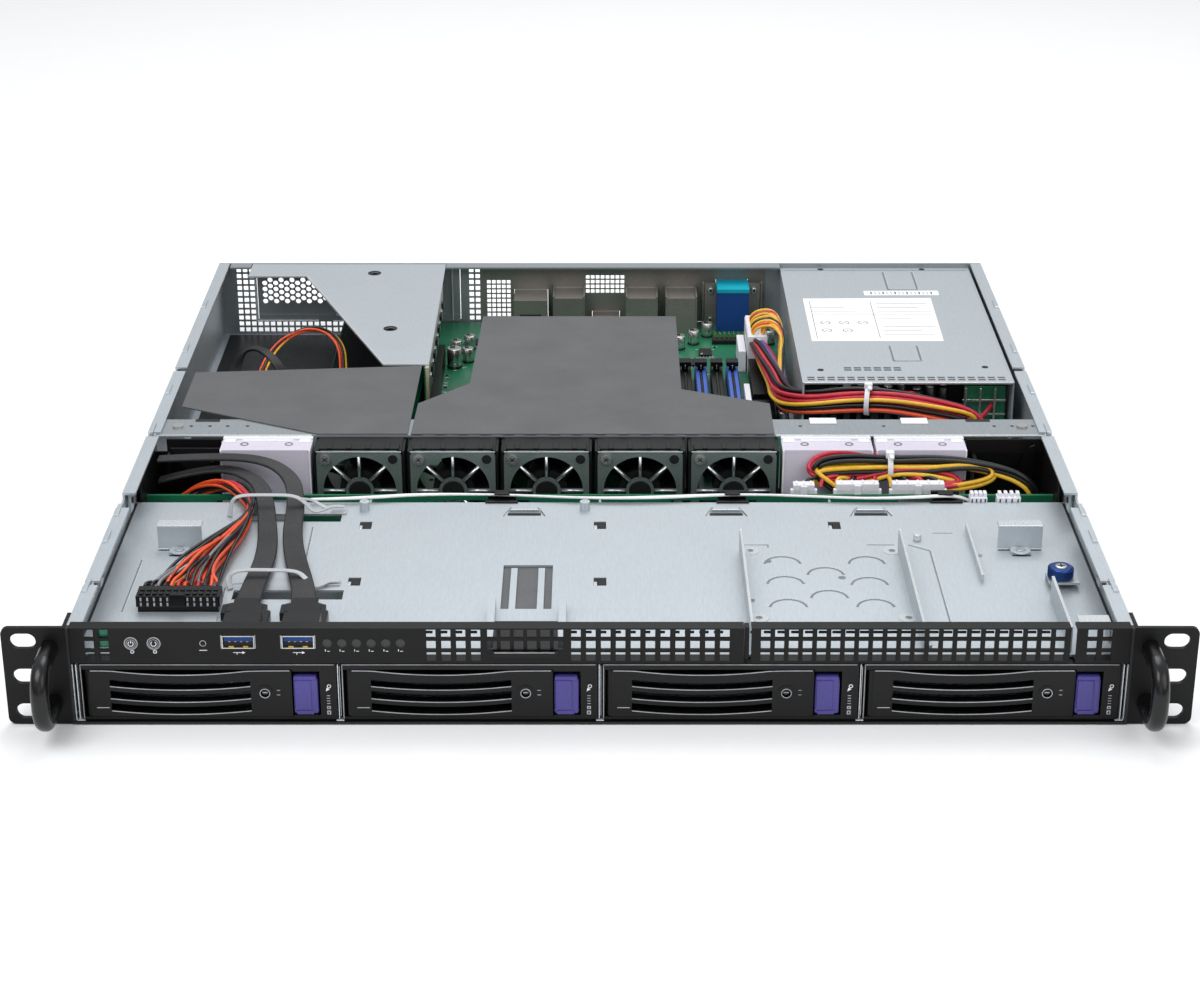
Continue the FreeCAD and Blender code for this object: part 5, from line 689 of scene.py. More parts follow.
def make_straps():
    """Two thin nylon bands over the leads, each with its foot and its folded end."""
    bands = Piece("cable_bands", BAND)
    bands.ribbon([(-168.4, 142.6, 28.8), (-168.0, 143.4, 33.0), (-166.4, 144.4, 37.0),
                  (-162.0, 145.2, 38.0), (-150.0, 145.6, 37.9), (-139.5, 145.4, 37.8),
                  (-134.5, 144.0, 35.6), (-130.0, 141.6, 31.0), (-126.5, 143.4, 31.4),
                  (-121.0, 146.8, 32.2), (-116.5, 147.0, 31.4)], 2.6, 0.8)
    bands.ribbon([(-136.5, 144.6, 36.4), (-132.0, 147.4, 35.2), (-128.0, 146.6, 33.0),
                  (-124.0, 144.4, 31.8)], 2.2, 0.7)
    bands.done(slot="white_plastic", stands_for=("wire_straps",))
    front = Piece("front_cable_band", BAND)
    front.ribbon([(-158.0, 66.5, 28.8), (-159.2, 68.0, 31.0), (-158.6, 70.6, 34.2),
                  (-154.0, 72.2, 35.2), (-142.0, 72.4, 35.0), (-130.5, 72.2, 34.8),
                  (-126.5, 70.4, 32.6), (-123.0, 66.6, 29.6), (-119.5, 68.4, 29.8),
                  (-116.5, 71.6, 30.4), (-112.0, 72.2, 29.8)], 2.6, 0.8)
    front.block((-118.5, 70.0, 28.5), (-111.5, 74.4, 29.3), 0, 0.3)
    front.block((-122.5, 144.6, 28.5), (-115.5, 149.0, 29.3), 0, 0.3)
    front.done(slot="white_plastic")


def make_edge_lead():
    """The thin white pair along the rear edge of the deck, with its clips and a black mate."""
    route = [(-133, 156.4, 30.3), (-120, 156.6, 30.4), (-104, 158.5, 30.2), (-86, 162, 30.0),
             (-62, 163.4, 29.8), (-40, 162.6, 29.8), (-18, 159.4, 30.2), (4, 157.4, 30.4),
             (28, 158.2, 30.3), (50, 161.6, 29.9), (72, 163.2, 29.8), (96, 160.6, 30.1),
             (122, 157.6, 30.3), (144, 158.2, 30.3), (160, 161, 30.0), (170, 165, 27),
             (177, 168, 20)]
    runs = [(0, [(x, y, z + 0.6) for x, y, z in route]),
            (0, [(x, y + 1.3, z + 0.2 + 0.4 * math.sin(x / 21)) for x, y, z in route]),
            (1, [(x, y + 2.6, z - 0.4) for x, y, z in route[2:-2]])]
    wires("edge_leads", (WIRE_WHITE, WIRE_BLACK), runs, 0.62)
    clips = Piece("edge_lead_clips", ABS_BLACK)
    for x in (-45.3, 61.1, 159.5):
        clips.block((x - 7.5, 157.2, 28.5), (x + 7.5, 158.6, 29.4), 0, 0.2)
        clips.block((x - 6.5, 158.3, 26.0), (x + 6.5, 165.6, 28.4), 0, 0.5)
        clips.block((x - 6.5, 164.4, 26.5), (x + 6.5, 166.0, 31.6), 0, 0.4)
        clips.block((x - 3.5, 160.8, 30.9), (x + 3.5, 165.4, 31.7), 0, 0.3)
    clips.done(slot="black_plastic")


def make_riser_leads():
    """Two pairs that reach the riser and the black loop beside them."""
    base = [(-181, 338, 14), (-179, 352, 20), (-173.5, 364, 27), (-165.9, 369, 32),
            (-155.3, 374, 34.4), (-145, 368.5, 34), (-138.5, 361, 30), (-136, 352, 24),
            (-136, 342, 13)]
    seats = [(0.0, 0.0), (1.6, 0.6), (-1.3, 1.2), (0.4, 1.9)]
    runs = [((0, 1, 0, 2)[k], [(x + dx, y + dx * 0.6, z + dz) for x, y, z in base])
            for k, (dx, dz) in enumerate(seats)]
    wires("riser_pairs", (WIRE_ORANGE, WIRE_YELLOW, WIRE_BLACK), runs, 0.65)
    ribbon = Piece("riser_flat_lead", ABS_BLACK)
    ribbon.ribbon([(-194, 320, 13), (-192.5, 330, 21), (-190.5, 336.5, 29),
                   (-187, 339.5, 34.5), (-181.5, 339, 37), (-176, 335.5, 37),
                   (-171, 331, 34.6), (-165, 326, 29), (-160, 320, 20)], 5.6, 1.4)
    ribbon.done(slot="cable_sheath")


LOOM_FINISHES = (WIRE_RED, WIRE_BLACK, WIRE_YELLOW, WIRE_ORANGE, WIRE_BLUE, WIRE_VIOLET)
LOOM_WIRE = 1.1


def make_supply_loom():
    """The tied loom from the power supply to the board."""
    colours = [0, 0, 1, 0, 3, 1, 0, 2, 0, 1, 5, 0, 4, 1, 2, 0, 1, 3]
    mouth = [(198 - 2.4 * (k % 9), 268 - 4 * (k // 9), 19 + 3.0 * (k // 9))
             if k % 3 else (132 + 4.6 * k, 290, 25 + k % 4) for k in range(18)]
    route = [(188, 266, 24), (168, 265, 30.5), (146, 270, 34.0), (126, 275, 33.0),
             (108, 277, 31), (96, 284, 29), (92, 300, 27), (91.5, 322, 26), (88, 346, 26.5),
             (85, 366, 27), (84.6, 372, 26)]
    spreads = [8.0, 7.0, 5.8, 5.8, 6.0, 6.2, 6.0, 5.2, 4.8, 4.4, 4.0]
    lines = loom(route, spreads, 18, mouth, 0.5, 0.22)
    wires("supply_loom", LOOM_FINISHES, list(zip(colours, lines)), LOOM_WIRE,
          stands_for=("power_cables",))


def make_drive_looms():
    """The looped loom to the drive plugs, its loose turn and the leads into the plugs."""
    upper = [(206, 181, 10), (204.5, 181, 24), (196, 184, 31), (180, 187.5, 34.5),
             (160, 189, 36.6), (136, 189, 36.6), (118, 188.5, 38.5), (104, 187.5, 37.5),
             (98.5, 186, 33.5), (101, 184.5, 29.5), (112, 183.6, 27.6), (126, 183.6, 29.6),
             (136, 184.4, 32.4), (150, 184.6, 32.6), (164, 184, 30), (170, 182, 27),
             (160, 180, 27), (148, 178.4, 27)]
    spreads = [3.6, 3.4, 3.2, 3.0, 2.9, 2.7, 3.2, 3.4, 3.4, 3.4, 3.2, 2.9, 2.6, 2.9, 3.2, 3.0,
               3.0, 3.0]
    lines = loom(upper, spreads, 7, None, 0.4, 0.22)
    wires("drive_loom", LOOM_FINISHES, list(zip((0, 1, 0, 1, 2, 0, 1), lines)), LOOM_WIRE)
    bow = [(112, 178.5, 26), (104, 181, 31), (101, 183.5, 33.5), (112, 184.5, 34.5),
           (134, 185, 34.6), (152, 184.6, 34), (170, 185.6, 35.4), (182, 185.6, 34.4),
           (185.5, 184, 31.4), (180, 182, 28.6), (168, 180, 27), (156, 178, 26.5)]
    spreads = [2.4, 2.6, 2.4, 2.2, 2.0, 2.2, 2.0, 1.9, 1.9, 2.0, 2.0, 2.0]
    lines = loom(bow, spreads, 3, None, 0.3, 0.2)
    wires("drive_loop", LOOM_FINISHES, list(zip((2, 2, 1), lines)), LOOM_WIRE)
    drops = []
    for k in range(9):
        x = 96 + (7.2 * k if k < 4 else 7.6 * k + 2)
        start = (x + 12 - 2.6 * k, 184 + 1.5 * math.cos(k * 2), 30 + 1.5 * math.sin(k * 1.7))
        drops.append(((1, 0, 2, 1, 0, 2, 1, 0, 1)[k],
                      [start, (x + 5 - 1.2 * k, 181.5, 31.5), (x, 178.8, 30.5),
                       (x, 177.2, 28)]))
    wires("drive_plug_leads", LOOM_FINISHES, drops, 1.0)


def make_drive_plugs():
    """The white drive plugs, the two small ones before them and the ties of the looms."""
    plugs = Piece("drive_power_plugs", NYLON, WIRE_BLACK)
    for low, high, ribs in (((90, 172.8, 22), (100, 177.6, 31), 3),
                            ((110, 172.8, 22), (130, 177.6, 31.5), 4),
                            ((136, 172.8, 22), (160.5, 177.6, 31.5), 5)):
        plug_shape(plugs, low, high, 0, ribs)
        plugs.block((low[0] - 1.2, 172.8, 24), (high[0] + 1.2, 175.2, 28.5), 0, 0.3)
    for x, width in ((174.5, 8.0), (188.5, 11.0)):
        plugs.block((x - width / 2, 159.0, 24), (x + width / 2, 164.4, 30.6), 0, 0.4)
        for k in range(4):
            pin = x - width / 2 + (k + 0.5) * width / 4
            plugs.block((pin - 0.8, 160.0, 30.4), (pin + 0.8, 163.6, 32.4), 0, 0.2)
            plugs.block((pin - 0.3, 158.8, 26.0), (pin + 0.3, 159.2, 30.0), 1, 0.1)
    plugs.done(slot="white_plastic")
    ties = Piece("loom_ties", NYLON)
    cable_tie(ties, (134, 273, 33.6), (1, -0.2, 0), 6.6, 0)
    cable_tie(ties, (136, 186.8, 34.4), (1, 0, 0), 5.0, 0)
    ties.done(slot="white_plastic")


def make_board_plug():
    """The long white plug on the board and the leads that fan out of it."""
    board_plug = Piece("board_power_plug", NYLON)
    plug_shape(board_plug, (79.2, 371.2, 19.5), (90.0, 404.8, 30.6), 0)
    for k in range(12):
        y = 373.4 + 2.7 * k
        for left, right in ((79.6, 84.2), (85.0, 89.6)):
            board_plug.block((left, y - 1.0, 30.4), (right, y + 1.0, 31.4), 0, 0.25)
    board_plug.done(slot="white_plastic")
    fan = []
    for k in range(16):
        y = 374 + 3.6 * (k % 8)
        x = 82 if k < 8 else 87.4
        fan.append(((2, 3, 2, 1, 2, 2, 0, 2)[k % 8],
                    [(x, y, 31.0), (x + 0.5, y, 35.0),
                     (92 + 0.5 * (k % 5), y - 1 + k % 3, 37.5),
                     (97 + 0.4 * (k % 4), y - 12, 35 - 0.5 * (k % 3)),
                     (95.5 + 0.5 * (k % 4), 352 + k % 5, 30 + 0.5 * (k % 4)),
                     (93 + 0.7 * (k % 4), 330, 26 + 0.8 * (k % 3)),
                     (93, 306, 25 + 0.8 * (k % 3))]))
    wires("board_plug_leads", LOOM_FINISHES, fan, 0.8)


make_panel_leads()
make_data_leads()
make_straps()
make_edge_lead()
make_riser_leads()
make_supply_loom()
make_drive_looms()
make_drive_plugs()
make_board_plug()


# ---------------------------------------------------------------- drive trays
# The pitch of the bays, and where a lever's window begins and ends from the middle of its bay.
BAY_PITCH = 106.0
WINDOW = (-40.0, 17.0)
# The front faces of the levers and of the trays behind them.
LEVER_Y, TRAY_Y = 0.4, 0.8
# Smoked acrylic of light pipes: nearly black, very glossy.
ACRYLIC = surface("smoked_acrylic", "#2A2B2E", "#1D1E20", 0.5, (0.1, 0.16))
# Bright sheet edges, brighter than the face and with fine drag lines: bare zinc at cut edges,
# and painted highlight on edges and lips that face the light.
BARE_EDGE_AND_HIGHLIGHT = surface("bare_sheet_edge_and_painted_highlight", "#E4E8EA", "#C9CED1", 0.4, (0.2, 0.32), 0.6)


def dip(x, level, depth):
    """The height of a bowed edge over the lever's window."""
    share = (x - sum(WINDOW) / 2) / ((WINDOW[1] - WINDOW[0]) / 2)
    return level - depth * max(0.0, 1 - share * share)


def make_tray_details(index):
    """The lines of painted highlight, lock, marks and light pipe that dress one tray and its
    lever.
    """
    middle = (index - 1.5) * BAY_PITCH
    number = index + 1
    lever, button = f"tray_lever_{number}", f"tray_button_{number}"
    at_lever, at_tray = (middle, LEVER_Y, 0), (middle, TRAY_Y, 0)
    steps = [WINDOW[0] + k * (WINDOW[1] - WINDOW[0]) / 12 for k in range(13)]
    # Painted highlight: thin grey lines along the bowed tops of the lever's ribs and along its
    # crest.
    highlight_lines = [(0, [(middle + x, LEVER_Y + 0.05, dip(x, level, 1.7) - 0.12) for x in steps])
             for level in (5.8, 11.4, 17.0)]
    crest = [(-47.6, 24.0)] + [(x, dip(x, 24.0, 2.0)) for x in steps] + [(33.2, 24.0)]
    highlight_lines.append((0, [(middle + x, LEVER_Y + 0.1, z) for x, z in crest]))
    wires(f"lever_edge_highlights_{number}", (ABS_MARKS_AND_HIGHLIGHT,), highlight_lines, 0.2, body=lever)
    dress = Piece(f"lever_dress_{number}", ABS_BLACK, ABS_MARKS_AND_HIGHLIGHT, EPOXY_AND_SHADE)
    x, z = middle + 22.8, 13.9
    dress.washer((x, LEVER_Y + 0.1, z), FORWARD, 2.75, 3.5, 0.35, 0)
    dress.washer((x, LEVER_Y - 0.15, z), FORWARD, 1.85, 2.15, 0.25, 1)
    dress.rod((x, LEVER_Y + 2.4, z), (x, LEVER_Y + 0.5, z), 1.45, 2, edge=0.2)
    dress.blocks([(-1.1, 1.1, 0.3, 0.6, z - 0.25, z + 0.25),
                  (4.8, 6.2, -0.05, 0.2, 15.0, 15.3),
                  (4.8, 6.2, -0.05, 0.2, 12.9, 13.2)], 1, 0.1, (x, LEVER_Y, 0))
    dress.blocks([(-46.0, -40.8, -0.1, 0.2, 7.0, 7.35)], 1, 0.1, at_lever)
    dress.blocks([(33.0, 33.4, -0.05, 0.3, 3.6, 23.6)], 0, 0.1, at_lever)
    dress.done(lever, "dark_plastic")
    trim = Piece(f"tray_dress_{number}", ABS_MARKS_AND_HIGHLIGHT, ABS_BLACK, NYLON, EPOXY_AND_SHADE)
    # Painted highlight: grey lines along the top and left edges of the tray's front.
    trim.blocks([(-51.6, 51.2, -0.12, 0.3, 26.45, 26.8),
                 (-51.7, -51.4, -0.1, 0.3, 2.0, 26.4)], 0, 0.1, at_tray)
    trim.blocks([(46.6, 50.4, -0.1, 0.2, 3.2, 18.6)], 1, 0.3, at_tray)
    mark = middle + 48.5
    for low, high in ((3.9, 5.7), (6.4, 7.8)):
        trim.block((mark - 0.8, TRAY_Y - 0.22, low), (mark + 0.8, TRAY_Y + 0.1, high), 0, 0.1)
        trim.block((mark - 0.8 + 0.5, TRAY_Y - 0.3, low + 0.4),
                   (mark + 0.8 - 0.5, TRAY_Y, high - 0.4), 3, 0.05)
    for low in (8.8, 10.0, 11.2, 12.4):
        trim.block((mark - 0.7, TRAY_Y - 0.22, low), (mark + 0.7, TRAY_Y + 0.1, low + 0.3),
                   0, 0.1)
    trim.prism([(0.0, 0.0), (1.6, 1.0), (0.3, 1.6)], 0, 0.25, 2,
               Matrix.Translation((middle + 47.6, TRAY_Y, 14.6)) @ UPRIGHT)
    trim.washer((middle + 48.9, TRAY_Y + 0.05, 16.9), FORWARD, 0.55, 0.85, 0.25, 2, 14)
    trim.done(f"drive_tray_{number}", "dark_plastic")
    cap = Piece(f"button_cap_{number}", ABS_VIOLET)
    cap.block((middle + 34.4, 0.2, 4.4), (middle + 44.4, 7.4, 20.4), 0, 0.9)
    cap.block((middle + 34.8, -0.5, 6.4), (middle + 41.8, 2.0, 20.0), 0, 0.7,
              Matrix.Rotation(math.radians(2.5), 3, "Z"))
    cap.block((middle + 34.6, 0.0, 19.6), (middle + 43.9, 3.0, 21.6), 0, 0.6)
    cap.block((middle + 35.4, -0.2, 4.2), (middle + 42.6, 1.4, 6.2), 0, 0.5)
    cap.done(button, "purple_plastic", (button,))


def make_bay_edges():
    """Bright folded hems on the walls between and beside the drive bays."""
    hems = Piece("bay_wall_hems", BARE_EDGE_AND_HIGHLIGHT)
    for step in range(-2, 3):
        x = step * BAY_PITCH
        if abs(step) < 2:
            hems.block((x - 0.5, 0.4, 2.2), (x - 0.15, 2.6, 27.0), 0, 0.12)
            hems.block((x + 0.25, 0.9, 3.2), (x + 0.45, 2.6, 26.0), 0, 0.08)
            hems.block((x - 1.6, 0.1, 1.1), (x + 1.6, 2.4, 1.6), 0, 0.2)
            continue
        side = 1 if step > 0 else -1
        for offset in (0.2, 1.7):
            hem = x + side * offset
            hems.block((hem - 0.22, 0.3, 1.6), (hem + 0.22, 2.6, 27.0), 0, 0.12)
        hems.block((x - 1.8, 0.2, 1.1), (x + 1.8, 2.4, 1.6), 0, 0.2)
    hems.done(slot="zinc_steel")


# ---------------------------------------------------------------- upper bezel
# The bezel's face, and where its buttons and sockets are in X.
BEZEL_Y = 0.0
BUTTON_X = {"power": -189.0, "identify": -179.8}
SOCKET_X = (-145.8, -121.7)


def make_bezel_details():
    """Button rings of painted highlight, plain marks, socket tongues and light rings on the
    bezel.
    """
    marks = Piece("bezel_marks", ABS_MARKS_AND_HIGHLIGHT, NYLON, ACRYLIC)
    for x in BUTTON_X.values():
        marks.washer((x, BEZEL_Y + 0.05, 36.8), FORWARD, 2.4, 2.8, 0.3, 0)
        marks.washer((x + 0.3, BEZEL_Y + 0.05, 33.0), FORWARD, 0.5, 0.8, 0.15, 1, 14)
    marks.block((-161.6, BEZEL_Y - 0.1, 33.5), (-158.4, BEZEL_Y + 0.1, 33.8), 1, 0.08)
    marks.washer((-160.0, BEZEL_Y + 0.05, 36.8), FORWARD, 1.1, 1.35, 0.25, 0, 16)
    for x in SOCKET_X:
        marks.block((x - 2.2, BEZEL_Y - 0.1, 32.5), (x + 1.6, BEZEL_Y + 0.1, 32.75), 1, 0.08)
        marks.prism([(0, 0), (1.2, 0.6), (0, 1.2)], 0, 0.15, 1,
                    Matrix.Translation((x + 1.5, BEZEL_Y + 0.05, 32.02)) @ UPRIGHT)
        marks.block((x - 0.8, BEZEL_Y - 0.1, 31.7), (x - 0.5, BEZEL_Y + 0.1, 32.6), 1, 0.08)
        # Painted highlight on the side edges of each socket.
        for rim in (x - 6.85, x + 6.85):
            marks.block((rim - 0.2, BEZEL_Y - 0.15, 34.4), (rim + 0.2, BEZEL_Y + 0.2, 40.4),
                        0, 0.1)
    for k in range(6):
        x = -109.9 + 5.9 * k
        marks.washer((x, BEZEL_Y + 0.05, 36.9), FORWARD, 1.5, 1.85, 0.2, 2, 20)
        marks.block((x - 1.0, BEZEL_Y - 0.1, 33.1), (x - 0.7, BEZEL_Y + 0.1, 34.1), 1, 0.06)
        marks.block((x - 0.2, BEZEL_Y - 0.1, 33.1), (x + 0.9, BEZEL_Y + 0.1, 33.35), 1, 0.06)
    marks.done(slot="dark_plastic")
    hoods = Piece("socket_hoods", ABS_BLACK)
    for x in SOCKET_X:
        hoods.block((x - 7.6, 6.1, 30.5), (x + 7.6, 19.6, 41.3), 0, 0.4)
        hoods.block((x - 8.6, 19.0, 28.6), (x + 8.6, 37.0, 33.6), 0, 0.6)
    hoods.done(slot="black_plastic")
    for name, x in BUTTON_X.items():
        # The button's mark in white, inside a ring of painted highlight.
        icon = Piece(f"{name}_icon", ABS_MARKS_AND_HIGHLIGHT, NYLON)
        icon.washer((x, -0.45, 36.8), FORWARD, 0.9, 1.2, 0.15, 1, 20, (120, 420))
        icon.washer((x, -0.42, 36.8), FORWARD, 1.75, 2.0, 0.12, 0, 24)
        if name == "power":
            icon.block((x - 0.15, -0.6, 36.9), (x + 0.15, -0.4, 38.3), 1, 0.05)
        icon.done(f"{name}_button", "dark_plastic")
    tongues = Piece("socket_tongues", ABS_ROYAL, ABS_BLACK, GOLD)
    for x in SOCKET_X:
        tongues.block((x - 5.85, 0.3, 37.4), (x + 5.85, 13.0, 39.5), 0, 0.2)
        tongues.block((x - 6.0, 0.7, 35.3), (x + 6.0, 1.2, 37.3), 1, 0.1)
        tongues.block((x - 6.0, 14.4, 35.0), (x + 6.0, 15.2, 39.6), 1, 0.1)
        tongues.block((x - 6.05, 0.8, 34.95), (x + 6.05, 14.6, 35.15), 1, 0.05)
        for k in range(4):
            tongues.block((x - 4.1 + 2.4 * k, 0.6, 37.1), (x - 3.1 + 2.4 * k, 1.0, 37.4),
                          2, 0.08)
        for side in (-2.9, 2.9):
            tongues.block((x + side - 1.1, 0.2, 34.8), (x + side + 1.1, 4.0, 35.5), 2, 0.15)
    tongues.done(slot="dark_plastic")
    glow = Piece("end_vent_lens", ABS_GREEN)
    glow.block((-202.4, 1.7, 33.8), (-197.4, 3.6, 43.2), 0, 0.4)
    glow.done(slot="dark_plastic")
    tabs = Piece("vent_hems", POWDER_BLACK)
    for first, pitch, columns in ((-70.0, 6.0, 4), (-11.6, 6.0, 11), (63.5, 5.65, 22)):
        for k in range(columns):
            x = first + pitch * k
            lean = 1.7 * math.tanh((x - 60.0) / 60.0)
            tabs.block((x - 2.9 - lean, 1.5, 40.4), (x + 0.9 - lean, 2.2, 41.5), 0, 0.2)
    tabs.block((58.2, 1.3, 28.8), (60.2, 5.8, 43.3), 0, 0.2)
    tabs.done(slot="black_steel")
    # Painted highlight along the lip of the tag and its ends.
    rim = Piece("tag_lip_rim", ABS_MARKS_AND_HIGHLIGHT, BARE_EDGE_AND_HIGHLIGHT)
    rim.block((-42.6, -1.95, 33.2), (-18.2, -1.6, 33.55), 0, 0.1)
    rim.block((-43.4, -1.9, 32.9), (-41.2, -1.2, 33.5), 1, 0.15)
    rim.block((-19.6, -1.9, 32.9), (-17.4, -1.2, 33.5), 1, 0.15)
    rim.done("info_tag", "dark_plastic")


for tray_number in range(4):
    make_tray_details(tray_number)
make_bay_edges()
make_bezel_details()
recast("front_io_board", [(LAMINATE, wide(60)), (TINPLATE, wide(10)), (ACRYLIC, always)])


# ---------------------------------------------------------------- drive deck
# The deck's top, and how far out the lid hooks on it and the side walls' inner faces are.
DECK = 28.5
HOOK_X, WALL_X = 185.5, 213.4
# Painted shade in the groove of a pressed line: the same zinc, darker.
GROOVE_SHADE_ZINC = surface("zinc_painted_groove_shade", "#7C848A", "#6B7379", 0.6, (0.4, 0.55), 0.4)
# Biaxial polyester film: thin, black and slightly glossy. The same black is painted shade in
# the gaps beside the deck.
BLACK_FILM_AND_SHADE = surface("black_film_and_painted_shade", "#151517", "#111112", 2.0, (0.28, 0.4),
                shine=0.3)
# Grey polycarbonate of the holder under the tag window.
HOLDER = surface("grey_polycarbonate_sheet", "#56585B", "#4B4D50", 0.6, (0.4, 0.52),
                 relief=0.04)


def strip(piece, start, end, width, low, high, finish=0):
    """A flat strip between two points in plan."""
    start, end = Vector((*start, 0)), Vector((*end, 0))
    side = (end - start).normalized().cross(Vector(UP)) * width / 2
    corners = [start - side, end - side, end + side, start + side]
    piece.prism([(c.x, c.y) for c in corners], low, high, finish)


def pressed_line(piece, points, level=DECK, groove=0.8):
    """A pressed line: painted shade in its groove and a painted highlight on the lip beside
    it.
    """
    for start, end in zip(points, points[1:]):
        strip(piece, start, end, groove, level - 0.2, level + 0.03, 0)
        shift = Vector((groove * 0.7, groove * 0.6))
        strip(piece, Vector(start) + shift, Vector(end) + shift, groove * 0.6, level - 0.2,
              level + 0.08, 1)


def make_deck_details():
    """Pressed lines and knock-outs in painted shade and highlight, catches, seats, painted
    shadow under lances and hooks, and strips of painted shade beside the drive deck.
    """
    press = Piece("deck_pressings", GROOVE_SHADE_ZINC, BARE_EDGE_AND_HIGHLIGHT)
    pressed_line(press, [(-200.8, 96.3), (-200.9, 45.1)])
    pressed_line(press, [(136.8, 111.9), (145.8, 105.6), (146.0, 33.0)])
    pressed_line(press, [(62.5, 112.0), (74.5, 112.0), (74.5, 109.0)])
    pressed_line(press, [(118.5, 112.0), (130.5, 112.0)])
    pressed_line(press, [(149.0, 124.5), (158.0, 124.5)])
    # Half-moon pressings: painted shade in each arc, with a painted highlight beside it.
    for x, y in ((79.8, 91.8), (116.6, 91.8), (97.8, 80.6), (79.8, 71.6), (115.9, 70.6),
                 (97.6, 57.8), (79.6, 49.1), (116.4, 49.1)):
        press.washer((x, y, DECK - 0.2), UP, 7.2, 8.3, 0.24, 0, 28, (184, 356))
        press.washer((x, y, DECK - 0.2), UP, 8.3, 8.9, 0.3, 1, 28, (188, 352))
    for x, y in ((73.4, 95.0), (104.6, 78.4)):
        press.rod((x, y, DECK - 0.1), (x, y, DECK + 0.06), 1.7, 0, 16)
    pressed_line(press, [(-129.4, 131.2), (-128.8, 76.0), (-130.4, 71.4)])
    pressed_line(press, [(-160.4, 58.8), (-160.6, 68.0), (-157.8, 72.0), (-152.0, 72.6)])
    for x, y in ((66.3, 105.6), (129.0, 105.6), (66.5, 39.4), (129.2, 39.4)):
        press.washer((x, y, DECK - 0.1), UP, 1.5, 4.2, 0.35, 1, 24)
        press.rod((x, y, DECK - 0.1), (x, y, DECK + 0.12), 1.6, 0, 20)
    press.done(slot="zinc_steel")
    edges = Piece("fence_hems", BARE_EDGE_AND_HIGHLIGHT, ZINC)
    for x in (61.5, 131.5):
        edges.block((x - 0.15, 7.2, 39.2), (x + 1.15, 103.6, 39.7), 0, 0.15)
        edges.block((x - 0.3, 103.6, 29.0), (x + 1.3, 104.4, 39.7), 0, 0.2)
        edges.block((x + 0.9, 12.0, 28.5), (x + 4.2, 22.0, 29.7), 1, 0.2)
        edges.rod((x + 2.6, 17.0, 29.6), (x + 2.6, 17.0, 30.3), 1.6, 0, 18, edge=0.15)
    edges.block((163.85, 73.2, 32.3), (165.15, 126.8, 32.7), 0, 0.15)
    edges.block((190.85, 9.2, 39.2), (192.15, 56.8, 39.7), 0, 0.15)
    for side in (-1, 1):
        x = side * HOOK_X
        edges.block((x - 9.8, 106.8, 39.5), (x + 9.8, 113.1, 40.2), 0, 0.2)
        edges.rod((x, 104.5, 29.4), (x, 104.5, 30.1), 2.0, 1, 20, edge=0.2)
        edges.washer((x, 104.5, 29.3), UP, 2.2, 4.4, 0.35, 0, 24)
        edges.block((x - 9.9, 106.6, 28.5), (x - 4.6, 107.4, 29.2), 0, 0.2)
        edges.block((x + 4.6, 106.6, 28.5), (x + 9.9, 107.4, 29.2), 0, 0.2)
    edges.block((194.5, 7.6, 40.4), (207.6, 17.0, 41.2), 0, 0.25)
    edges.block((206.6, 7.6, 33.0), (207.4, 17.0, 41.0), 1, 0.25)
    for x in (-107.6, -6.9):
        edges.washer((x, 150.0, 32.6), UP, 1.0, 2.2, 0.3, 0, 22)
    edges.rod((141.4, 117.2, 28.5), (141.4, 117.2, 31.6), 1.8, 0, 20, edge=0.3)
    edges.done(slot="zinc_steel")
    lances = Piece("lance_shadows", EPOXY_AND_SHADE, BARE_EDGE_AND_HIGHLIGHT)
    for x in (-34.5, 57.5, 123.5):
        # Painted shadow in the slot under each lance, and painted highlight on its raised lip.
        lances.block((x - 7.6, 143.6, DECK - 0.1), (x + 7.6, 146.2, DECK + 0.1), 0, 0.05)
        lances.block((x - 6.4, 146.4, DECK + 1.3), (x + 6.4, 147.1, DECK + 1.75), 1, 0.12)
        pressed_line(lances, [(x - 9.4, 143.0), (x - 6.6, 151.6), (x + 6.6, 151.6),
                              (x + 9.4, 143.0)], DECK, 0.55)
    # Painted shadow under the feet of the lid hooks.
    for x in (-HOOK_X, HOOK_X):
        lances.blocks([(-9.4, -4.6, 106.0, 107.0, -0.1, 0.12),
                       (4.6, 9.4, 106.0, 107.0, -0.1, 0.12),
                       (-4.2, 4.2, 100.2, 101.4, -0.1, 0.12)], 0, 0.05, (x, 0, DECK))
    lances.done(slot="zinc_steel")
    clips = Piece("deck_catches", ABS_BLACK, BARE_EDGE_AND_HIGHLIGHT)
    for x, y in ((-105.8, 133.0), (0.0, 133.0), (105.8, 133.0), (-105.8, 74.5), (0.0, 74.5)):
        clips.block((x - 2.7, y - 3.9, 27.6), (x + 2.7, y + 3.9, 28.1), 0, 0.1)
        clips.block((x - 0.9, y - 3.2, 28.0), (x + 2.5, y + 3.4, 28.45), 0, 0.2)
        clips.block((x - 2.65, y - 3.9, 28.0), (x - 1.3, y - 0.6, 28.75), 1, 0.15)
    clips.done(slot="black_plastic")
    holder = Piece("tag_holder", HOLDER, EPOXY_AND_SHADE)
    holder.block((-43.6, 46.4, 26.5), (-18.9, 92.6, 27.4), 0, 0.2)
    holder.block((-38.7, 87.6, 27.5), (-35.7, 89.0, 28.3), 1, 0.1)
    holder.block((-26.6, 87.6, 27.5), (-24.0, 89.0, 28.3), 1, 0)
    holder.done(slot="dark_plastic")
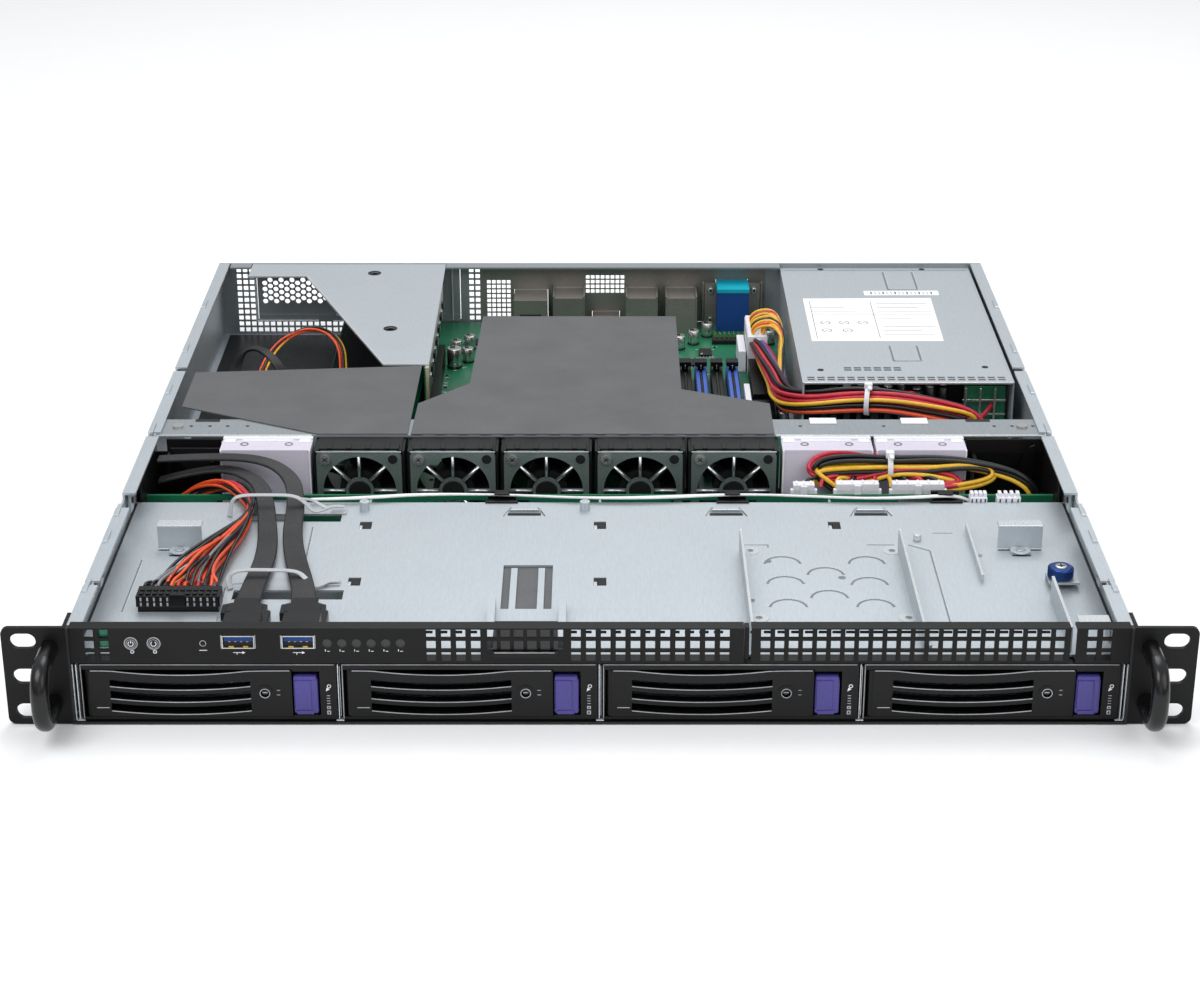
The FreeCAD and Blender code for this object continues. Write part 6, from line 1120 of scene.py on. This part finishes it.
    # Painted shade: black strips where the gap between the deck and each side wall falls in
    # shadow.
    gap_strips = Piece("deck_gap_shade", BLACK_FILM_AND_SHADE)
    for x in (-213.2, 213.2):
        gap_strips.block((x - 0.6, 20.0, DECK), (x + 0.6, 157.0, DECK + 0.25), 0, 0.1)
    gap_strips.done(slot="black_plastic")
    hooks = Piece("wall_hooks", ZINC, BARE_EDGE_AND_HIGHLIGHT, EPOXY_AND_SHADE)
    for side in (-1, 1):
        for y in (39.5, 88.0, 115.7, 210.9, 262.0, 320.0, 388.0):
            x = side * WALL_X
            hooks.block((x - 1.0, y - 6.0, 43.0), (x + 1.0, y + 6.0, 44.4), 0, 0.3)
            hooks.block((x - 1.1, y - 6.4, 42.8), (x + 1.1, y - 5.8, 44.6), 1, 0.15)
            leg, slit = x - side * 1.6, x - side * 2.0
            hooks.block((leg - 0.35, y - 5.0, 36.5), (leg + 0.35, y + 5.0, 42.8), 1, 0.15)
            hooks.block((slit - 0.2, y + 6.4, 38.0), (slit + 0.2, y + 11.5, 42.0), 2, 0.1)
        for y in (62.2, 139.7):
            pad = side * 212.2
            hooks.block((pad - 0.5, y - 3.0, 33.0), (pad + 0.5, y + 3.0, 43.6), 0, 0.2)
            hooks.rod((side * 211.8, y, 38.0), (side * 211.2, y, 38.0), 1.4, 2, 16)
    hooks.done(slot="zinc_steel")


def make_thumbscrew_details():
    """A knurled knob in place of the plain one, with a dark cross of painted shade on top for
    its driver recess.
    """
    x, y = 197.5, 71.5
    knob = Piece("knurled_thumbscrew", ANODISED_BLUE, TINPLATE, EPOXY_AND_SHADE)
    centre = Matrix.Translation((x, y, 32.3))
    knob.lathe(centre, [(0.0, 4.6), (0.5, 5.1), (4.3, 5.1), (5.0, 4.4)], 0, 48)
    for k in range(36):
        turn = math.radians(10 * k)
        spot = Vector((x + 5.15 * math.cos(turn), y + 5.15 * math.sin(turn), 34.7))
        knob.block(spot - Vector((0.35, 0.28, 1.9)), spot + Vector((0.35, 0.28, 1.9)), 0, 0.12,
                   Matrix.Rotation(turn, 3, "Z"))
    knob.lathe(centre, [(4.9, 2.7), (5.3, 2.5), (5.35, 1.7)], 1, 32)
    # Painted shade: a dark cross stands for the driver recess.
    knob.block((x - 1.6, y - 0.4, 37.5), (x + 1.6, y + 0.4, 37.72), 2, 0.08)
    knob.block((x - 0.4, y - 1.6, 37.5), (x + 0.4, y + 1.6, 37.72), 2, 0.08)
    knob.rod((x, y, 30.1), (x, y, 32.4), 1.9, 1, 24, edge=0.2)
    knob.done("thumbscrew", "blue_metal", ("thumbscrew",))
    seat = Piece("thumbscrew_washer", TINPLATE)
    seat.washer((x, y, 32.0), UP, 2.15, 4.2, 0.25, 0)
    seat.done(slot="plated_steel")


make_deck_details()
make_thumbscrew_details()


# ---------------------------------------------------------------- fans and middle wall
# The five fans, their pitch and axis height, and the empty places beside them.
FAN_X = [-113.4 + 44.1 * k for k in range(5)]
FAN_Z = 21.3
FILLER_X = (-157.5, 107.2, 151.3)


def make_fan_details():
    """Screws, hub caps and corner posts of the five fans."""
    fans = Piece("fan_dress", PASSIVATED, EPOXY_AND_SHADE, TINPLATE, ALUMINIUM)
    for x in FAN_X:
        fans.rod((x, 188.6, FAN_Z), (x, 187.9, FAN_Z), 5.2, 1, 30, edge=0.3)
        fans.washer((x, 188.7, FAN_Z), FORWARD, 4.9, 6.7, 0.35, 0, 40)
        fans.washer((x, 188.7, FAN_Z), FORWARD, 17.2, 18.2, 0.3, 0, 48)
        fans.rod((x + 16.0, 188.6, 37.3), (x + 16.0, 188.2, 37.3), 2.3, 1, 20, edge=0.1)
        fans.washer((x + 16.0, 188.7, 37.3), FORWARD, 2.3, 3.0, 0.3, 0, 24)
        fans.washer((x - 16.0, 187.6, 37.3), FORWARD, 1.3, 2.4, 0.25, 2, 22)
        hub = Vector((x, 188.5, FAN_Z))
        for spoke in range(8):
            turn = math.radians(45 * spoke)
            reach = Vector((math.cos(turn), 0, math.sin(turn)))
            fans.rod(hub + reach * 7.0, hub + reach * 17.4, 0.75, 3, 10)
        fans.block((x - 20.0, 188.4, 40.7), (x + 20.0, 188.8, 41.2), 3, 0.1)
        for angle in (45, -45):
            fans.block((x - 17.4, 187.3, 37.1), (x - 14.6, 187.5, 37.5), 1, 0.06,
                       Matrix.Rotation(math.radians(angle), 3, "Y"))
    fans.done(slot="dark_plastic")
    posts = Piece("fan_posts", PBT_BLACK)
    for x in FAN_X:
        for post in (x - 20.6, x + 20.6):
            posts.block((post - 0.8, 190.5, 1.5), (post + 0.8, 214.0, 40.8), 0, 0.4)
        posts.block((x - 19.0, 190.2, 41.2), (x + 19.0, 196.0, 42.2), 0, 0.4)
        for k in range(4):
            posts.block((x - 15.0 + 9.0 * k, 189.9, 41.6), (x - 12.4 + 9.0 * k, 196.4, 42.5),
                        0, 0.3)
    posts.done(slot="black_plastic")


def make_wall_details():
    """The beam's hem, holes and clips, the fillers' mouldings and the black flaps."""
    hem = Piece("beam_hem", BARE_EDGE_AND_HIGHLIGHT, EPOXY_AND_SHADE, GROOVE_SHADE_ZINC)
    hem.block((-213.6, 205.7, 41.4), (-137.0, 206.4, 42.5), 0, 0.2)
    hem.block((83.5, 205.7, 41.4), (213.6, 206.4, 42.5), 0, 0.2)
    # Painted shade: dark discs stand for the holes in the beam.
    for x in (-196.0, -187.0, -178.5, -169.0, 189.0, 197.5, 207.5, 96.0, 136.0):
        hem.rod((x, 217.5, 42.2), (x, 217.5, 42.36), 0.9, 1, 14)
    for x in (-189.0, 182.0):
        hem.block((x - 6.0, 222.8, 41.6), (x + 6.0, 226.4, 42.4), 1, 0.3)
    hem.done(slot="zinc_steel")
    clips = Piece("beam_clips", NYLON)
    for x in (107.3, 151.2):
        clips.block((x - 6.5, 219.6, 42.2), (x + 6.5, 226.4, 43.1), 0, 0.3)
        clips.block((x - 5.5, 225.6, 39.5), (x + 5.5, 226.9, 42.9), 0, 0.3)
    for x in FILLER_X:
        clips.blocks([(-21.3, 21.3, 202.8, 205.4, 41.2, 42.2)], 0, 0.3, (x, 0, 0))
        clips.blocks([(-20.6, -15.0, 199.6, 203.0, 41.2, 41.7),
                      (15.0, 20.6, 199.6, 203.0, 41.2, 41.7),
                      (-12.0, 12.0, 201.2, 203.0, 41.2, 41.6)], 0, 0.2, (x, 0, 0))
        clips.blocks([(-21.3, -20.4, 189.4, 190.3, 2.0, 41.4),
                      (20.4, 21.3, 189.4, 190.3, 2.0, 41.4)], 0, 0.3, (x, 0, 0))
    clips.done(slot="white_plastic")
    pips = Piece("filler_mouldings", BLANK_WHITE, WIRE_GREY)
    for x in FILLER_X:
        for dx in (-10.5, 10.5):
            pips.washer((x + dx, 197.4, 41.2), UP, 1.3, 2.0, 0.3, 1, 24)
        for dx in (-17.4, 17.4):
            pips.washer((x + dx, 190.1, 12.0), FORWARD, 1.1, 1.9, 0.35, 0, 20)
    pips.done(slot="white_plastic")
    flaps = Piece("baffle_flaps", BLACK_FILM_AND_SHADE, ABS_BLACK)
    flaps.prism([(-203.0, 39.8), (-170.0, 39.8), (-188.0, 15.5)], 0, 0.5, 0,
                Matrix.Translation((0, 196.5, 0)) @ UPRIGHT)
    flaps.block((-204.0, 189.0, 2.0), (-202.8, 196.0, 38.0), 1, 0.5)
    flaps.blocks([(-211.8, -210.8, 159.5, 205.0, 1.5, 41.0),
                  (210.8, 211.8, 159.5, 205.0, 1.5, 41.0),
                  (-206.0, -180.0, 204.4, 205.2, 2.0, 41.0),
                  (174.0, 211.0, 204.4, 205.2, 2.0, 41.0)], 0, 0.2)
    flaps.prism([(198.0, 2.0), (206.0, 2.0), (206.0, 40.0), (203.5, 39.0), (200.5, 34.0),
                 (198.6, 26.0)], 0, 0.8, 1,
                Matrix.Translation((0, 200.0, 0)) @ UPRIGHT)
    flaps.done(slot="black_plastic")
    ducts = Piece("shroud_folds", DUCT_GREY)
    for k in range(16):
        ducts.block((-89.6 + 10.9 * k, 206.0, 42.5), (-84.6 + 10.9 * k, 206.7, 43.15), 0, 0.2)
    ducts.done(slot="dark_plastic")


make_fan_details()
make_wall_details()


# ---------------------------------------------------------------- board, riser and ports
# The top of the motherboard, and the pin pitch of the header at its rear.
BOARD = 9.1
BOARD_PIN = 2.6
# Bare edge of a glass-epoxy board: the tan weave shows.
WEAVE = surface("bare_laminate_edge", "#C2B79C", "#A89D82", 0.4, (0.45, 0.6))


def capacitor(piece, x, y, radius, height):
    """A polymer can on the board: sleeve, bright lid and a marked edge."""
    piece.rod((x, y, BOARD), (x, y, BOARD + 0.8), radius + 0.2, 0, 16)
    piece.rod((x, y, BOARD + 0.7), (x, y, BOARD + height), radius, 1, 20, edge=0.3)
    piece.block((x - radius * 0.6, y - radius * 0.2, BOARD + height - 0.05),
                (x + radius * 0.1, y + radius * 0.7, BOARD + height + 0.06), 0, 0.05)


def make_board_details():
    """Chips, cans, chokes, headers and white outlines on the motherboard."""
    parts = Piece("board_parts", EPOXY_AND_SHADE, TINPLATE, SILK, NYLON, GOLD, LAMINATE)
    for x, y, w, d, h in ((-120, 240, 14, 14, 1.6), (-98, 252, 9, 12, 1.4),
                          (-76, 296, 12, 12, 1.5), (-74, 330, 9, 9, 1.3),
                          (-20, 392, 22, 22, 2.0), (22, 398, 12, 12, 1.5),
                          (52, 388, 9, 9, 1.4), (58, 404, 7, 10, 1.4), (-50, 404, 12, 12, 1.6),
                          (-110, 420, 16, 16, 1.6), (-70, 420, 9, 9, 1.4),
                          (88, 430, 8, 12, 1.4), (84, 278, 8, 8, 1.4), (78, 250, 10, 8, 1.4)):
        parts.block((x - w / 2, y - d / 2, BOARD), (x + w / 2, y + d / 2, BOARD + h), 0, 0.2)
        parts.washer((x - w / 2 + 1.4, y - d / 2 + 1.4, BOARD + h - 0.02), UP, 0.3, 0.6,
                     0.08, 2, 12)
        for k in range(int(w / 1.6)):
            leg = x - w / 2 + 0.8 + 1.6 * k
            for edge in (-1, 1):
                far = y + edge * (d / 2 + 0.5)
                parts.block((leg - 0.3, far - 0.6, BOARD), (leg + 0.3, far + 0.6, BOARD + 0.5),
                            1, 0.08)
        for line in (y - d / 2 - 1.6, y + d / 2 + 1.6):
            strip(parts, (x - w / 2 - 1.6, line), (x + w / 2 + 1.6, line), 0.25, BOARD,
                  BOARD + 0.05, 2)
    for k in range(90):
        x, y = random.uniform(-144, 96), random.uniform(222, 452)
        if -100 < x < 42 and y < 372:
            x = 40.6 if k % 2 else -82.5
        turn = Matrix.Rotation(math.radians(90 * (k % 2)), 3, "Z")
        parts.block((x - 0.9, y - 0.5, BOARD), (x + 0.9, y + 0.5, BOARD + 0.5),
                    1 if k % 3 else 0, 0.1, turn)
        strip(parts, (x - 1.5, y + 1.2), (x + 1.5, y + 1.2), 0.2, BOARD, BOARD + 0.04, 2)
    for k in range(14):
        x, y = 64 + BOARD_PIN * (k % 7), 420 + BOARD_PIN * (k // 7)
        parts.block((x - 0.35, y - 0.35, BOARD), (x + 0.35, y + 0.35, BOARD + 6), 4, 0.1)
    parts.block((62.4, 418.4, BOARD), (81.2, 424.2, BOARD + 2.6), 0, 0.3)
    parts.blocks([(75.5, 78.6, 310.0, 336.0, 0, 9.0),
                  (74.8, 78.8, 376.0, 402.0, 0, 12.0),
                  (36.5, 39.5, 374.0, 384.0, 0, 7.0)], 3, 0.4, (0, 0, BOARD))
    parts.done(slot="dark_plastic")
    cans = Piece("board_cans", CAN_FILM, TINPLATE)
    for x, y, radius, height in ((-79, 312, 3.1, 8), (-79, 320, 3.1, 8), (-79, 384, 4.0, 11),
                                 (-72, 392, 3.1, 8), (-79, 404, 3.1, 8), (-72, 412, 3.1, 8),
                                 (36, 404, 3.1, 8), (44, 412, 3.1, 8), (52, 420, 3.1, 8),
                                 (94, 300, 3.1, 8), (94, 310, 3.1, 8), (94, 420, 3.1, 8),
                                 (60, 432, 3.1, 8), (38, 424, 3.1, 8), (-136, 230, 3.1, 8),
                                 (-128, 262, 3.1, 8), (82, 230, 3.1, 8), (73, 226, 3.1, 8)):
        capacitor(cans, x, y, radius, height)
    cans.done(slot="dark_plastic")
    memory = Piece("memory_grooves", EPOXY_AND_SHADE, TINPLATE, ABS_BLACK)
    for k in range(4):
        x = 45.4 + 8.4 * k
        memory.block((x - 0.55, 240.0, 15.8), (x + 0.55, 356.0, 16.95), 0, 0.1)
        memory.block((x - 1.0, 296.0, 16.6), (x + 1.0, 299.0, 17.4), 2, 0.1)
        for rail in (x - 2.9, x + 2.9):
            memory.block((rail - 0.2, 236.0, 16.4), (rail + 0.2, 356.0, 17.3),
                         0 if k % 2 else 2, 0.1)
        memory.block((x - 0.3, 357.0, 18.0), (x + 0.3, 357.8, 20.2), 1, 0.1)
    memory.done(slot="black_plastic")


def make_riser_details():
    """The tan edges and parts of the riser, and the frame of the blank cover."""
    card = Piece("riser_dress", WEAVE, EPOXY_AND_SHADE, TINPLATE, BLACK_FILM_AND_SHADE)
    card.block((-88.75, 296.0, 41.9), (-86.85, 424.0, 42.4), 0, 0.15)
    card.block((-88.7, 295.7, 11.6), (-86.9, 296.1, 42.2), 0, 0.1)
    for k in range(12):
        y = 302.0 + 9.6 * k
        card.block((-87.0, y, 30.0 + k % 3), (-86.0, y + 4.0, 36.0 + k % 2),
                   1 if k % 2 else 2)
    card.done(slot="green_board")
    # Black sheets that darken the floor behind the cage and the board beside it.
    film = Piece("floor_dark_sheets", BLACK_FILM_AND_SHADE)
    film.block((-211.0, 298.0, 1.0), (-147.2, 455.0, 1.35), 0, 0.1)
    film.block((-145.6, 300.0, BOARD), (-101.5, 454.0, BOARD + 0.3), 0, 0.1)
    film.done(slot="black_plastic")
    trim = Piece("cover_frame", BARE_EDGE_AND_HIGHLIGHT, EPOXY_AND_SHADE)
    trim.block((-195.4, 455.4, 10.0), (-194.4, 456.6, 41.0), 0, 0.2)
    trim.block((-195.4, 455.2, 9.2), (-160.0, 456.2, 10.2), 0, 0.2)
    trim.block((-152.0, 455.4, 9.2), (-132.0, 456.2, 10.0), 0, 0.2)
    for k in range(5):
        trim.block((-150.0 + 9.0 * k, 455.3, 12.6), (-145.5 + 9.0 * k, 456.2, 13.5), 0, 0.2)
    trim.block((-84.0, 455.4, 10.0), (-83.2, 456.4, 40.6), 0, 0.2)
    trim.done(slot="zinc_steel")
    cage = Piece("cage_hems", BARE_EDGE_AND_HIGHLIGHT, EPOXY_AND_SHADE)
    strip(cage, (-163.0, 435.5), (-110.0, 298.4), 0.9, 42.4, 43.45, 0)
    cage.washer((-126.0, 441.0, 43.0), UP, 2.8, 3.7, 0.35, 1, 28)
    cage.washer((-110.5, 351.0, 43.0), UP, 2.8, 3.7, 0.35, 1, 28)
    cage.done(slot="zinc_steel")


def make_port_details():
    """Screws, ridges and frames of the rear sockets."""
    ports = Piece("port_dress", SHADED_SOCKET_STEEL, TINPLATE, ABS_TEAL, EPOXY_AND_SHADE)
    for x in (62.4, 86.8):
        for z in (13.0, 30.4):
            ports.rod((x, 449.3, z), (x, 447.6, z), 1.7, 1, 16, edge=0.3)
            ports.rod((x, 447.7, z), (x, 447.3, z), 0.7, 3, 12)
    ports.block((65.6, 439.1, 31.8), (83.7, 456.2, 34.4), 2, 0.4)
    for x in (58.2, 91.0):
        ports.block((x - 0.5, 448.6, 9.4), (x + 0.5, 452.4, 35.0), 0, 0.3)
    for low, high in ((-26.4, -8.6), (14.6, 32.4), (36.7, 54.5)):
        ports.block((low, 437.2, 9.2), (low + 0.9, 456.4, 31.0), 0, 0.3)
        ports.block((high - 0.9, 437.2, 9.2), (high, 456.4, 31.0), 0, 0.3)
    ports.block((-45.0, 436.8, 12.0), (-33.0, 437.8, 20.0), 3, 0.3)
    for k in range(4):
        ports.block((-3.4 + 3.8 * k, 446.0, 14.0), (-0.8 + 3.8 * k, 446.8, 15.6), 1, 0.2)
    ports.done(slot="plated_steel")


# ---------------------------------------------------------------- power supply
PSU_TOP = 41.0
# How far the ink of the label stands up.
INK_TOP = PSU_TOP + 0.16


def make_supply_details():
    """The blank ruled label, pressed tabs, mouth parts and grille of the supply."""
    label = Piece("supply_label", LABEL, INK)
    label.prism([(110.8, 338.2), (179.7, 338.2), (180.7, 405.4), (110.8, 404.4)],
                PSU_TOP, PSU_TOP + 0.12, 0)
    label.prism([(145.0, 410.0), (186.0, 410.5), (186.0, 417.5), (145.0, 417.0)],
                PSU_TOP, PSU_TOP + 0.12, 0)
    for y, start, end in ((396, 150, 177), (390, 150, 172), (384, 150, 178), (378, 114, 178),
                          (360, 150, 178), (354, 150, 170), (348, 150, 176), (372, 150, 166),
                          (402, 114, 140), (390, 114, 132), (384, 114, 138)):
        strip(label, (start, y), (end, y), 0.5, PSU_TOP, INK_TOP, 1)
    for x in (147.0, 114.0):
        strip(label, (x, 342.0), (x, 400.0), 0.35, PSU_TOP, INK_TOP, 1)
    for x, y in ((120, 366), (130, 366), (140, 366), (120, 354), (131, 354)):
        label.washer((x, y, PSU_TOP), UP, 2.2, 2.7, 0.16, 1, 20)
        strip(label, (x - 1.4, y - 1.0), (x + 1.4, y + 1.0), 0.4, PSU_TOP, INK_TOP, 1)
    for k in range(16):
        x = 149.0 + 2.2 * k
        strip(label, (x, 411.6), (x, 415.6), 0.4 if k % 3 else 0.9, PSU_TOP, INK_TOP, 1)
    label.done(slot="white_plastic")
    tabs = Piece("supply_pressings", GROOVE_SHADE_ZINC, BARE_EDGE_AND_HIGHLIGHT, EPOXY_AND_SHADE)
    for left, right, front, back in ((158.9, 175.2, 419.5, 449.0),
                                     (150.6, 164.7, 308.8, 331.0)):
        pressed_line(tabs, [(left, back), (left, front), (right, front), (right, back)],
                     PSU_TOP, 1.1)
    for x, y in ((124.3, 454.0), (181.4, 454.0), (196.0, 300.0), (112.0, 296.0)):
        tabs.rod((x, y, PSU_TOP - 0.1), (x, y, PSU_TOP + 0.08), 1.7, 2, 20)
    tabs.block((102.0, 278.0, 40.2), (207.6, 278.6, 41.2), 1, 0.15)
    tabs.block((101.8, 278.2, 1.2), (102.6, 279.0, 40.8), 1, 0.15)
    pressed_line(tabs, [(104.0, 452.0), (206.0, 452.0)], PSU_TOP)
    tabs.done(slot="zinc_steel")
    inner = Piece("supply_innards", CAN_FILM, TINPLATE, EPOXY_AND_SHADE, WIRE_RED, WIRE_YELLOW, LAMINATE)
    for k in range(9):
        x, y = 118.0 + 7.0 * k, 286.0 + 3.0 * (k % 3)
        inner.rod((x, y, 8.0), (x, y, 34.0 + (k % 2)), 3.0, 0, 20, edge=0.5)
        inner.rod((x, y, 34.8), (x, y, 35.4), 2.2, 1, 18)
    for k in range(3):
        inner.block((184.0 + 7.4 * k, 283.0, 12.0), (185.0 + 7.4 * k, 284.0, 36.0), 1, 0.2)
        inner.block((183.0, 283.2, 14.0 + 7.5 * k), (205.0, 284.0, 15.0 + 7.5 * k), 1, 0.2)
    inner.block((103.4, 300.0, 3.0), (206.2, 301.0, 39.6), 2, 0.3)
    inner.rod((150.0, 290.0, 30.0), (158.0, 281.0, 33.0), 2.2, 3, 18, edge=0.4)
    inner.block((184.0, 286.0, 10.0), (205.0, 287.0, 36.0), 5, 0.2)
    inner.done(slot="dark_plastic")


make_board_details()
make_riser_details()
make_port_details()
make_supply_details()
recast("board_sockets", [(NYLON_BLUE, between(52, 56)), (NYLON_BLUE, between(69, 72)),
                         (NYLON, lambda low, high: high[2] > 30), (ABS_BLACK, always)])
recast("rear_ports", [(ABS_ROYAL, between(70, 80)), (SHADED_SOCKET_STEEL, always)])
recast("deck_fittings", [(ABS_BLACK, lambda low, high: low[0] < -159 and low[1] < 60),
                         (ZINC, always)])
recast("riser_card", [(LAMINATE, lambda low, high: high[2] > 30), (EPOXY_AND_SHADE, always)])


def make_rear_faces():
    """Shells, pins and slots seen from behind on the sockets of the rear plate."""
    faces = Piece("rear_face_shells", TINPLATE, ABS_ROYAL, EPOXY_AND_SHADE, GOLD)
    middle = 74.65
    for z, finish in ((15.4, 1), (27.9, 2)):
        for size, near, colour in ((1.0, 0.0, 0), (0.84, 0.35, finish)):
            outline = [(-7.6 * size, 3.9 * size), (7.6 * size, 3.9 * size),
                       (6.4 * size, -3.9 * size), (-6.4 * size, -3.9 * size)]
            faces.prism(outline, -0.5 - near, 0.4, colour,
                        Matrix.Translation((middle, 458.7, z)) @ UPRIGHT)
        for row, pins in enumerate((5, 4)):
            for k in range(pins):
                x = middle + 2.3 * (k - (pins - 1) / 2)
                faces.rod((x, 459.4, z + 1.2 - 2.4 * row), (x, 459.75, z + 1.2 - 2.4 * row),
                          0.45, 3, 10)
        for x in (middle - 11.0, middle + 11.0):
            faces.rod((x, 457.0, z), (x, 459.6, z), 1.9, 0, 6, edge=0.3)
    faces.block((-2.6, 458.5, 10.4), (9.4, 458.9, 13.8), 2, 0.15)
    faces.block((-1.6, 458.7, 11.8), (8.4, 459.0, 12.3), 0, 0.1)
    for x in (-17.5, 23.5, 45.6, -39.0):
        faces.block((x - 4.6, 452.0, 25.4), (x - 2.4, 458.8, 27.2), 0, 0.2)
        faces.block((x + 2.4, 452.0, 25.4), (x + 4.6, 458.8, 27.2), 0, 0.2)
    faces.done(slot="plated_steel")


make_rear_faces()

# ---------------------------------------------------------------- floor
floor_mesh = bpy.data.meshes.new("floor")
floor_mesh.from_pydata([(-4, -4, 0), (4, -4, 0), (4, 4, 0), (-4, 4, 0)], [], [(0, 1, 2, 3)])
floor = bpy.data.objects.new("floor", floor_mesh)
FLOOR_GAP = 0.4  # millimetres under the lowest point, so that no two faces share a plane
floor.location = (0, 0, CAD_LOW.z - FLOOR_GAP * MM)
scene.collection.objects.link(floor)
# Matt white paper: no pattern, so the object stands out.
PAPER = surface("studio_paper", "#F4F4F4", "#F2F2F2", 5.0, (0.8, 0.9))
floor_mesh.materials.append(PAPER)
